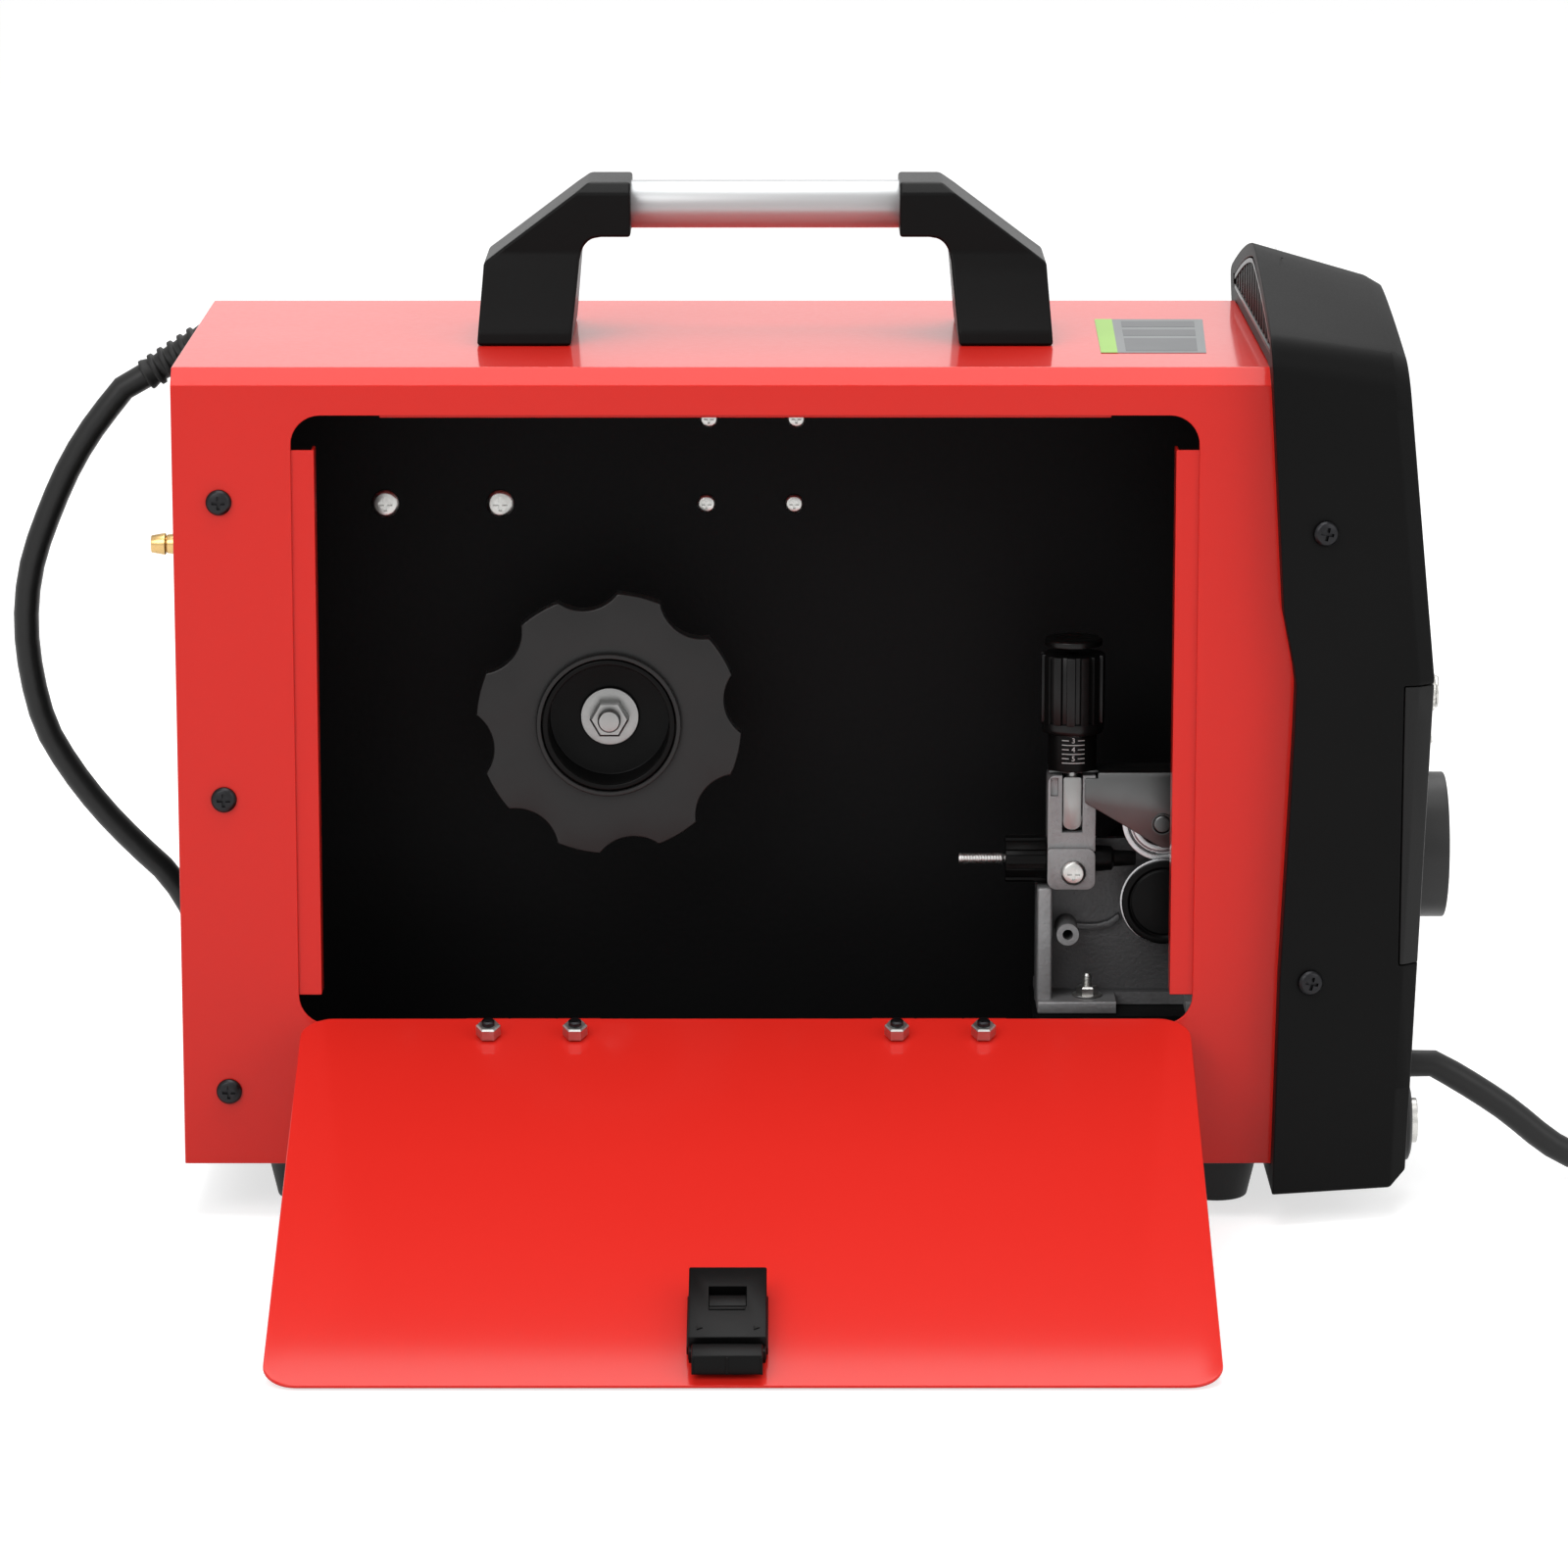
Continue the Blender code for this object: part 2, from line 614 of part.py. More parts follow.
def turned(name, profile, at, axis, holder=MACHINE, look=None, steps=32, ring=False):
    """A profile of (radius, height) spun about an axis, its outer side listed top to bottom."""
    shape = bmesh.new()
    points = [shape.verts.new((r, 0, h)) for r, h in profile]
    for a, b in zip(points, points[1:]):
        shape.edges.new((a, b))
    if ring:
        shape.edges.new((points[-1], points[0]))
    turn = AXES[axis] if isinstance(axis, str) else axis
    thing = place(mesh_object(name, shape), at, holder, look, turn)
    screw = thing.modifiers.new("turn", "SCREW")
    screw.steps = screw.render_steps = steps
    screw.use_merge_vertices = True
    screw.merge_threshold = 0.00001
    return thing


def lathe_group(name, items, holder=MACHINE, look=None):
    """Turned pieces in one mesh; each item is (profile, steps, place, outward direction)."""
    home = Vector(items[0][2])
    shape = bmesh.new()
    for profile, steps, at, facing in items:
        one = bmesh.new()
        points = [one.verts.new((r, 0, h)) for r, h in profile]
        edges = [one.edges.new(pair) for pair in zip(points, points[1:])]
        bmesh.ops.spin(one, geom=points + edges, axis=(0, 0, 1), cent=(0, 0, 0),
                       angle=2 * math.pi, steps=steps, use_merge=True)
        bmesh.ops.remove_doubles(one, verts=one.verts, dist=0.000005)
        bmesh.ops.recalc_face_normals(one, faces=one.faces)
        lean = Vector((0, 0, 1)).rotation_difference(Vector(facing)).to_matrix()
        bmesh.ops.rotate(one, verts=one.verts, matrix=lean)
        bmesh.ops.translate(one, verts=one.verts, vec=Vector(at) - home)
        turned_once = bpy.data.meshes.new(name + "_one")
        one.to_mesh(turned_once)
        one.free()
        shape.from_mesh(turned_once)
        bpy.data.meshes.remove(turned_once)
    return smooth(place(mesh_object(name, shape), home, holder, look))


def slab(name, outline, middle, thick, plane, holder=MACHINE, look=None):
    """A flat outline given thickness: a filled 2D curve, made a mesh with welded caps."""
    curve = bpy.data.curves.new(name, "CURVE")
    curve.dimensions = "2D"
    curve.fill_mode = "BOTH"
    curve.extrude = thick / 2
    line = curve.splines.new("POLY")
    line.points.add(len(outline) - 1)
    for point, (u, v) in zip(line.points, outline):
        point.co = (u, v, 0, 1)
    line.use_cyclic_u = True
    drawn = bpy.data.objects.new(name + "_curve", curve)
    bpy.context.scene.collection.objects.link(drawn)
    graph = bpy.context.evaluated_depsgraph_get()
    mesh = bpy.data.meshes.new_from_object(drawn.evaluated_get(graph))
    bpy.data.objects.remove(drawn, do_unlink=True)
    shape = bmesh.new()
    shape.from_mesh(mesh)
    bpy.data.meshes.remove(mesh)
    bmesh.ops.remove_doubles(shape, verts=shape.verts, dist=0.000005)
    bmesh.ops.recalc_face_normals(shape, faces=shape.faces)
    offset = PLANES[plane] @ Vector((0, 0, 1)) * middle
    if plane == "side":
        offset = -offset
    return place(mesh_object(name, shape), offset, holder, look, PLANES[plane])


def folded(name, path, run, plane, holder=MACHINE, look=None, thick=SHEET):
    """A sheet bent along a path and run between two values; its thickness is left of the path."""
    shape = bmesh.new()
    points = [shape.verts.new((u, v, 0)) for u, v in path]
    edges = [shape.edges.new(pair) for pair in zip(points, points[1:])]
    start, end = (-run[1], -run[0]) if plane == "side" else run
    bmesh.ops.translate(shape, verts=points, vec=(0, 0, start))
    drawn = bmesh.ops.extrude_edge_only(shape, edges=edges)["geom"]
    far = [v for v in drawn if isinstance(v, bmesh.types.BMVert)]
    bmesh.ops.translate(shape, verts=far, vec=(0, 0, end - start))
    bmesh.ops.recalc_face_normals(shape, faces=shape.faces)
    shape.normal_update()
    step = Vector((*path[1], 0)) - Vector((*path[0], 0))
    right = Vector((step.y, -step.x, 0))
    first = next(f for f in shape.faces if points[0] in f.verts and points[1] in f.verts)
    if first.normal.dot(right) < 0:
        bmesh.ops.reverse_faces(shape, faces=shape.faces)
    thing = place(mesh_object(name, shape), (0, 0, 0), holder, look, PLANES[plane])
    wall = thing.modifiers.new("thickness", "SOLIDIFY")
    wall.thickness = thick
    wall.offset = -1
    wall.use_even_offset = True
    return thing


def boolean(thing, tool, kind):
    step = thing.modifiers.new(kind.lower() + "_" + tool.name, "BOOLEAN")
    step.operation = kind
    step.solver = "EXACT"
    step.object = tool
    return thing


def cut(thing, *tools):
    for tool in tools:
        boolean(thing, tool, "DIFFERENCE")
    return thing


def fuse(thing, *tools):
    for tool in tools:
        boolean(thing, tool, "UNION")
    return thing


def arc(centre, radius, start, end, steps):
    """Points of an arc, angles in degrees."""
    angles = [math.radians(start + (end - start) * i / steps) for i in range(steps + 1)]
    return [(centre[0] + radius * math.cos(a), centre[1] + radius * math.sin(a)) for a in angles]


def rounded(u0, v0, u1, v1, radius, steps=5):
    """A rectangle with round corners."""
    corners = ((u1 - radius, v1 - radius, 0), (u0 + radius, v1 - radius, 90),
               (u0 + radius, v0 + radius, 180), (u1 - radius, v0 + radius, 270))
    return [p for u, v, a in corners for p in arc((u, v), radius, a, a + 90, steps)]


def ribbed(radius, depth, ribs, centre=(0, 0)):
    """A round outline with square-topped ribs, four points each."""
    points = []
    for i in range(ribs):
        for share, r in ((0.0, radius), (0.55, radius), (0.65, radius - depth), (0.9, radius - depth)):
            a = 2 * math.pi * (i + share) / ribs
            points.append((centre[0] + r * math.cos(a), centre[1] + r * math.sin(a)))
    return points


def smooth_route(points, spacing):
    """Evenly spaced points on a Catmull-Rom curve through the given points."""
    knots = [Vector(p) for p in points]
    knots = [2 * knots[0] - knots[1]] + knots + [2 * knots[-1] - knots[-2]]
    fine = []
    for a, b, c, d in zip(knots, knots[1:], knots[2:], knots[3:]):
        for i in range(40):
            t = i / 40
            fine.append(0.5 * (2 * b + (c - a) * t + (2 * a - 5 * b + 4 * c - d) * t * t
                               + (3 * b - a - 3 * c + d) * t ** 3))
    fine.append(knots[-2])
    reach = np.cumsum([0.0] + [(q - p).length for p, q in zip(fine, fine[1:])])
    count = max(2, round(reach[-1] / spacing))
    along = np.linspace(0, reach[-1], count + 1)
    columns = [np.interp(along, reach, [p[k] for p in fine]) for k in range(3)]
    return [Vector(p) for p in zip(*columns)]


def tube(name, points, radius, holder, look, resolution):
    """A round cord along points: a bevelled poly curve with filled caps."""
    curve = bpy.data.curves.new(name, "CURVE")
    curve.dimensions = "3D"
    curve.bevel_depth = radius
    curve.bevel_resolution = resolution
    curve.use_fill_caps = True
    line = curve.splines.new("POLY")
    line.points.add(len(points) - 1)
    for point, co in zip(line.points, points):
        point.co = (*co, 1)
    return place(bpy.data.objects.new(name, curve), (0, 0, 0), holder, look)


def length_of(points):
    return sum((b - a).length for a, b in zip(points, points[1:]))


# ---------------------------------------------------------------- screws of the case
def side_half(x, z):
    """Half width of the bezel's side wall."""
    back, front = rim_x(z), face_x(z) - BEZEL_CHAMFER
    share = (x - back) / (front - back)
    return BEZEL_REAR_HALF + (BEZEL_SIDE_HALF - BEZEL_REAR_HALF) * share


def rim_x(z):
    """Fore and aft place of the bezel's rear rim at a height."""
    return float(np.interp(z, [p[0] for p in BEZEL_RIM], [p[1] for p in BEZEL_RIM]))


def face_x(z):
    """Fore and aft place of the bezel's front face at a height."""
    heights = (BEZEL_FACE_LOW, BEZEL_FACE_BREAK, BEZEL_FACE_CROWN)
    return float(np.interp(z, heights, (BEZEL_FACE_LOW_X, BEZEL_FACE_BREAK_X, BEZEL_FACE_TOP_X)))


def arch(y, inset=0.0):
    """Height of the bezel's top edge at its rear rim."""
    rise = 1 - (abs(y) / BEZEL_REAR_HALF) ** ARCH_POWER
    return BEZEL_SHOULDER + (BEZEL_CROWN - BEZEL_SHOULDER) * rise - inset


def pan_head(radius, head, shank, length):
    return ((0, head), (radius * 0.75, head), (radius, 0), (shank, 0), (shank, -length),
            (0, -length))


def cover_screw_places():
    """Seats and outward directions of the screws that hold the cover to the rear panel."""
    seat = HALF - FUSED
    return [((CASE_SCREW_X, s * seat, z), (0, s, 0)) for s in (-1, 1) for z in CASE_SCREW_ZS]


def bezel_screw_places():
    """The screws in the bezel's side walls, square to their slope."""
    places = []
    for x, z in BEZEL_SCREWS:
        slope = (side_half(x, z) - side_half(x + 0.01, z)) / 0.01
        for s in (-1, 1):
            places.append(((x, s * (side_half(x, z) - FUSED), z), (slope, s, 0)))
    return places


def leaf_screw_places(middle):
    """The screws that hold one hinge leaf to the cover."""
    return [((middle + end * LEAF_BOLT_SPACING / 2, -HALF - GAP - SHEET + FUSED,
              HINGE_Z - LEAF_BOLT_OFFSET), (0, -1, 0)) for end in (-1, 1)]


def leg_stud_places(end):
    """Where the nuts of one handle leg's studs sit under the case top."""
    x = HANDLE_MIDDLE_X + end * HANDLE_SCREW_REACH
    return [((x, y, CASE_TOP - SHEET - GAP), (0, 0, -1)) for y in (-HANDLE_SCREW_Y, HANDLE_SCREW_Y)]


def drilled(name, places, radius, above, below, holder=MACHINE):
    """Straight holes along each place's outward direction."""
    runs = []
    for at, facing in places:
        outward = Vector(facing).normalized()
        runs.append((Vector(at) - outward * below, Vector(at) + outward * above))
    return rods(name, runs, radius, holder, sides=8)


def screws(name, places, holder=MACHINE, head=SCREW_HEAD_R, steps=8, height=SCREW_HEAD):
    """Pan-head screws, ready to be joined to the piece that they stay on."""
    profile = pan_head(head, height, SCREW_R, SCREW_LENGTH)
    return lathe_group(name, [(profile, steps, at, facing) for at, facing in places], holder)


def screw_holes(name, places, holder=MACHINE):
    return drilled(name, places, SCREW_R + GAP, 0.004, SCREW_LENGTH + 0.002, holder)


LEAF_SCREW_PLACES = [place for middle in HINGE_XS for place in leaf_screw_places(middle)]
COVER_SCREW_HOLES = screw_holes("cover_screw_holes", cover_screw_places())
BEZEL_SCREW_HOLES = screw_holes("bezel_screw_holes", bezel_screw_places())
LEAF_SCREW_HOLES = screw_holes("leaf_screw_holes", LEAF_SCREW_PLACES)
LEG_STUD_HOLES = screw_holes("leg_stud_holes", leg_stud_places(-1) + leg_stud_places(1))


# ---------------------------------------------------------------- sheet metal case
def end_outline(half, low, top):
    """Section of the space inside the cover, with its two folded corners."""
    fold = HALF + CASE_TOP - EDGE_FOLD - (SHEET + GAP) * math.sqrt(2)
    return [(-half, low), (half, low), (half, fold - half), (fold - top, top),
            (top - fold, top), (-half, fold - half)]


INNER_HALF = HALF - SHEET - GAP
INNER_TOP = CASE_TOP - SHEET - GAP
WALL_BACK_X = PANEL_BACK_X + SHEET + GAP    # where pieces start in front of the rear panel


def make_cover():
    path = ((HALF, FOOT_HEIGHT), (HALF, CASE_TOP - EDGE_FOLD), (HALF - EDGE_FOLD, CASE_TOP),
            (EDGE_FOLD - HALF, CASE_TOP), (-HALF, CASE_TOP - EDGE_FOLD), (-HALF, FOOT_HEIGHT))
    cover = folded("case_cover", path, (CASE_REAR, COVER_FRONT), "front", look=RED_PAINT)
    outline = rounded(OPENING_REAR_X, OPENING_LOW, OPENING_FRONT_X, OPENING_HIGH, OPENING_R)
    opening = slab("door_opening", outline, -HALF, 8 * SHEET, "side")
    rows = []
    for i in range(LOUVRES):
        low = LOUVRE_Z + i * LOUVRE_PITCH
        rows.append(((LOUVRE_X, HALF - 4 * SHEET, low),
                     (LOUVRE_X + LOUVRE_LENGTH, HALF + 4 * SHEET, low + LOUVRE_WIDTH)))
    cut(cover, opening, blocks("side_louvres", rows), BEZEL_SCREW_HOLES, LEAF_SCREW_HOLES,
        LEG_STUD_HOLES)
    fuse(cover, screws("cover_screws", cover_screw_places()))


def make_base_pan():
    w = INNER_HALF
    path = ((-w, FOOT_HEIGHT + PAN_FLANGE), (-w, FOOT_HEIGHT), (w, FOOT_HEIGHT),
            (w, FOOT_HEIGHT + PAN_FLANGE))
    folded("base_pan", path, (WALL_BACK_X, BULKHEAD_X - GAP), "front", look=BLACK_PAINT)


def make_rear_panel():
    panel = slab("rear_panel", end_outline(INNER_HALF, FOOT_HEIGHT, INNER_TOP),
                 PANEL_BACK_X + SHEET / 2, SHEET, "front", look=BLACK_PAINT)
    edge = INNER_HALF - 0.0001
    sides = []
    for low, high in ((edge - SHEET, edge), (-edge, SHEET - edge)):
        sides.append(((PANEL_BACK_X + SHEET / 2, low, PANEL_FLANGE_LOW),
                      (CASE_REAR + PANEL_FLANGE, high, PANEL_FLANGE_HIGH)))
    slots = []
    pitch = 2 * FAN_BORE_R / (GRILLE_SLOTS + 1)
    for i in range(GRILLE_SLOTS):
        rise = (i - (GRILLE_SLOTS - 1) / 2) * pitch
        half = math.sqrt(FAN_BORE_R ** 2 - rise ** 2) - GRILLE_SLOT
        slots.append(((PANEL_BACK_X - SHEET, FAN_Y - half, FAN_Z + rise - GRILLE_SLOT / 2),
                      (PANEL_BACK_X + 2 * SHEET, FAN_Y + half, FAN_Z + rise + GRILLE_SLOT / 2)))
    reach = (PANEL_BACK_X - 2 * SHEET, PANEL_BACK_X + 3 * SHEET)
    gas = rods("gas_hole", [((reach[0], GAS_Y, GAS_Z), (reach[1], GAS_Y, GAS_Z))],
               GAS_STEM_R + GAP)
    relief = rods("relief_hole", [((reach[0], RELIEF_Y, RELIEF_Z), (reach[1], RELIEF_Y, RELIEF_Z))],
                  RELIEF_STEM_R + GAP)
    high, wide = (size / 2 + GAP for size in SWITCH_BODY)
    switch = block("switch_hole", (reach[0], SWITCH_Y - wide, SWITCH_Z - high),
                   (reach[1], SWITCH_Y + wide, SWITCH_Z + high))
    fuse(panel, blocks("rear_flanges", sides))
    cut(panel, blocks("fan_grille", slots), gas, relief, switch, COVER_SCREW_HOLES)


def make_divider():
    low, top = FLOOR_TOP + GAP, INNER_TOP
    y = DIVIDER_Y
    path = ((y + DIVIDER_FLANGE, top), (y, top), (y, low), (y + DIVIDER_FLANGE, low))
    wall = folded("divider_plate", path, (WALL_BACK_X, BULKHEAD_X - GAP), "front",
                  look=BLACK_PAINT)
    for name, radius, spots in (("wide_wall_screws", WALL_SCREW_WIDE_R, WALL_SCREWS_WIDE),
                                ("small_wall_screws", WALL_SCREW_SMALL_R, WALL_SCREWS_SMALL)):
        seats = [((x, y + FUSED, z), (0, -1, 0)) for x, z in spots]
        fuse(wall, screws(name, seats, head=radius, height=WALL_SCREW_HEAD))
    shaft = rods("shaft_hole", [((HUB_X, y - 0.005, HUB_Z), (HUB_X, y + 0.005, HUB_Z))],
                 HUB_SHAFT_R + GAP)
    motor = rods("motor_hole", [((DRIVE_X, y - 0.005, DRIVE_Z), (DRIVE_X, y + 0.005, DRIVE_Z))],
                 MOTOR_R + RUNNING, sides=32)
    cut(wall, shaft, motor)


def make_feet():
    height = FOOT_HEIGHT - GAP
    profile = ((0, height), (FOOT_TOP_R, height), (FOOT_TOP_R, height - 0.003),
               (FOOT_BOTTOM_R, 0.0012), (FOOT_BOTTOM_R - 0.0012, 0), (0, 0))
    for end, x in (("rear", FOOT_REAR_X), ("front", FOOT_FRONT_X)):
        for side, y in (("near", -FOOT_Y), ("far", FOOT_Y)):
            turned(f"foot_{end}_{side}", profile, (x, y, 0), "+Z", look=RUBBER, steps=20)


make_cover()
make_base_pan()
make_rear_panel()
make_divider()
make_feet()


# ---------------------------------------------------------------- bezel and what it carries
def bezel_loop(shape, half, low, shoulder, crown, x_at, flat_top=False):
    """One closed section of the bezel, from the bottom centre round by the far side."""
    right = [(0, low), (half, low)] + [(half, z) for z in BEZEL_STATIONS] + [(half, shoulder)]
    if flat_top:
        right.append((half - EDGE_FOLD, crown))
        right += [(half * share, crown) for share in ARCH_STEPS[1:]]
    else:
        for share in ARCH_STEPS:
            rise = 1 - share ** ARCH_POWER
            right.append((half * share, shoulder + (crown - shoulder) * rise))
    right.append((0, crown))
    loop = right + [(-y, z) for y, z in reversed(right[1:-1])]
    return [shape.verts.new((x_at(z), y, z)) for y, z in loop]


def bezel_shell(name, holder=MACHINE, look=None):
    """Plastic shell: return lip round the case, flared side walls, corner slope and front."""
    shape = bmesh.new()
    snug = CASE_CLEARANCE
    loops = [
        bezel_loop(shape, HALF + snug, FOOT_HEIGHT - snug, CASE_TOP - EDGE_FOLD + snug,
                   CASE_TOP + snug, rim_x, flat_top=True),
        bezel_loop(shape, BEZEL_REAR_HALF, BEZEL_LOW, BEZEL_SHOULDER, BEZEL_CROWN, rim_x),
        bezel_loop(shape, BEZEL_SIDE_HALF, BEZEL_LOW, BEZEL_FACE_SHOULDER + BEZEL_CORNER_RISE,
                   BEZEL_FACE_CROWN + BEZEL_CORNER_RISE, lambda z: face_x(z) - BEZEL_CHAMFER),
        bezel_loop(shape, BEZEL_FACE_HALF, BEZEL_FACE_LOW, BEZEL_FACE_SHOULDER,
                   BEZEL_FACE_CROWN, face_x),
    ]
    count = len(loops[0])
    for back, front in zip(loops, loops[1:]):
        for i in range(count):
            j = (i + 1) % count
            shape.faces.new((back[i], back[j], front[j], front[i]))
    fold = 2 + BEZEL_STATIONS.index(BEZEL_FACE_BREAK)
    face = loops[-1]
    shape.faces.new(face[count - fold:] + face[:fold + 1])
    shape.faces.new(face[fold:count - fold + 1])
    bmesh.ops.recalc_face_normals(shape, faces=shape.faces)
    shape.normal_update()
    shape.faces.ensure_lookup_table()
    if shape.faces[-1].normal.x < 0:
        bmesh.ops.reverse_faces(shape, faces=shape.faces)
    thing = place(mesh_object(name, shape), (0, 0, 0), holder, look)
    wall = thing.modifiers.new("wall", "SOLIDIFY")
    wall.thickness = BEZEL_WALL
    wall.offset = -1
    wall.use_even_offset = True
    return thing


def vent_outline(inset):
    """Outline of the air outlet over the case top, following the arch."""
    half = VENT_HALF - inset
    top = [(y, arch(y, VENT_INSET + inset)) for y in np.linspace(half, -half, 13)]
    return [(-half, CASE_TOP + VENT_RIM + inset), (half, CASE_TOP + VENT_RIM + inset)] + top


def through(name, y, z, radius, start=BEZEL_FACE_TOP_X - 0.012, end=BEZEL_FACE_BREAK_X + 0.01):
    """A round hole through the front of the bezel."""
    return rods(name, [((start, y, z), (end, y, z))], radius / math.cos(math.pi / 20), sides=20)


def make_bezel():
    bezel = bezel_shell("front_bezel", look=BLACK_PLASTIC)
    reach = BEZEL_REAR_HALF
    far_x = BEZEL_FACE_BREAK_X + 0.01
    window = block("insert_place", (INSERT_REAR_X, -reach, INSERT_LOW),
                   (far_x, reach, INSERT_HIGH))
    vent = slab("vent_place", vent_outline(0), rim_x(CASE_TOP), 0.02, "front")
    holes = [through(f"output_hole_{i}", y, OUTPUT_Z, OUTPUT_R + GAP)
             for i, y in enumerate(OUTPUT_YS)]
    holes.append(through("grommet_hole", LEAD_Y, LEAD_Z, GROMMET_R + GAP))
    holes.append(through("control_socket_hole", CONTROL_SOCKET_Y, CONTROL_SOCKET_Z,
                         CONTROL_SOCKET_R + GAP))
    cut(bezel, window, vent, *holes)
    fuse(bezel, screws("bezel_screws", bezel_screw_places()), make_vent_grille())

    insert = bezel_shell("control_insert", look=BLACK_PLASTIC)
    keep = block("insert_limits", (INSERT_REAR_X + GAP, -reach, INSERT_LOW + GAP),
                 (far_x, reach, INSERT_HIGH - GAP))
    boolean(insert, keep, "INTERSECT")
    cut(insert, through("torch_hole", TORCH_Y, TORCH_Z, TORCH_R + GAP),
        through("knob_hole", KNOB_Y, KNOB_Z, KNOB_SHAFT_R + RUNNING),
        through("toggle_hole", KNOB_Y, TOGGLE_Z, TOGGLE_BALL_R + RUNNING))


def make_vent_grille():
    """Frame and fins moulded into the bezel's air outlet."""
    rim = rim_x(CASE_TOP)
    grille = slab("vent_grille", vent_outline(-FUSED), rim + VENT_DEPTH / 2, VENT_DEPTH, "front")
    hollow = slab("vent_hollow", vent_outline(VENT_FRAME), rim + VENT_DEPTH / 2, 2 * VENT_DEPTH,
                  "front")
    fins = []
    count = int(VENT_HALF / VENT_FIN_PITCH - 0.5)
    for i in range(-count, count + 1):
        y = i * VENT_FIN_PITCH
        fins.append(((rim + 0.0005, y - VENT_FIN / 2, CASE_TOP + VENT_RIM + VENT_FRAME / 2),
                     (rim + VENT_DEPTH - 0.0005, y + VENT_FIN / 2,
                      arch(y, VENT_INSET + VENT_FRAME * 0.6))))
    cut(grille, hollow)
    return fuse(grille, blocks("vent_fins", fins))


def make_window():
    lean = math.atan2(BEZEL_FACE_BREAK_X - BEZEL_FACE_TOP_X, BEZEL_FACE_CROWN - BEZEL_FACE_BREAK)
    outward = Vector((math.cos(lean), 0, math.sin(lean)))
    middle = Vector((face_x(WINDOW_Z), 0, WINDOW_Z)) + outward * (GAP + WINDOW_THICK / 2)
    half = Vector((WINDOW_THICK, WINDOW_WIDTH, WINDOW_HEIGHT)) / 2
    window = block("display_window", middle - half, middle + half, look=SMOKED_WINDOW)
    window.rotation_euler.y = -lean


def make_bulkhead():
    x, half = BULKHEAD_X, BULKHEAD_HALF
    path = ((x + FRONT_FLANGE, half), (x, half), (x, -half), (x + FRONT_FLANGE, -half))
    plate = folded("front_bulkhead", path, (BEZEL_LOW + BEZEL_WALL + 2 * GAP, INNER_TOP), "top",
                   look=BLACK_PAINT)
    tail = through("tail_hole", TORCH_Y, TORCH_Z, TORCH_TAIL_R + GAP, x - 0.01, x + 0.01)
    cut(plate, tail, BEZEL_SCREW_HOLES)


def make_sockets():
    seat = BULKHEAD_FRONT_X + GAP
    front = TORCH_REACH
    core = front - TORCH_CORE_SET
    torch = ((TORCH_GROOVE_R, front), (TORCH_R - 0.0012, front), (TORCH_R, front - 0.0014),
             (TORCH_R, seat), (TORCH_TAIL_R, seat), (TORCH_TAIL_R, PLATE_FRONT_X + GAP),
             (GUIDE_TUBE_R, PLATE_FRONT_X + GAP), (GUIDE_TUBE_R, front - TORCH_BORE_DEPTH),
             (TORCH_BORE_R, front - TORCH_BORE_DEPTH), (TORCH_BORE_R, core),
             (TORCH_CORE_R, core), (TORCH_CORE_R, front - TORCH_GROOVE_DEPTH),
             (TORCH_GROOVE_R, front - TORCH_GROOVE_DEPTH))
    turned("torch_socket", torch, (0, TORCH_Y, TORCH_Z), "+X", look=BLACK_PLASTIC, steps=24,
           ring=True)
    collar = face_x(OUTPUT_Z) + OUTPUT_PROUD
    tip = collar + OUTPUT_RING
    floor = tip - OUTPUT_BORE_DEPTH
    output = ((0, floor), (OUTPUT_BORE_R, floor), (OUTPUT_BORE_R, tip), (OUTPUT_RING_R, tip),
              (OUTPUT_RING_R, collar), (OUTPUT_R, collar), (OUTPUT_R, seat), (0, seat))
    for side, y in zip(("near", "far"), OUTPUT_YS):
        turned(f"output_socket_{side}", output, (0, y, OUTPUT_Z), "+X", look=NICKEL, steps=16)
    front = face_x(CONTROL_SOCKET_Z) + CONTROL_SOCKET_REACH
    wall = 0.0014
    control = ((0, front - 0.006), (CONTROL_SOCKET_R - wall, front - 0.006),
               (CONTROL_SOCKET_R - wall, front), (CONTROL_SOCKET_R, front),
               (CONTROL_SOCKET_R, seat), (0, seat))
    turned("control_socket", control, (0, CONTROL_SOCKET_Y, CONTROL_SOCKET_Z), "+X", look=NICKEL,
           steps=16)
    lip = face_x(LEAD_Z) + 2 * RUNNING
    grommet = ((0, lip + GROMMET_LIP), (GROMMET_LIP_R - 0.001, lip + GROMMET_LIP),
               (GROMMET_LIP_R, lip + GROMMET_LIP - 0.001), (GROMMET_LIP_R, lip),
               (GROMMET_R, lip), (GROMMET_R, lip - 0.007), (0, lip - 0.007))
    turned("lead_grommet", grommet, (0, LEAD_Y, LEAD_Z), "+X", look=RUBBER, steps=20)


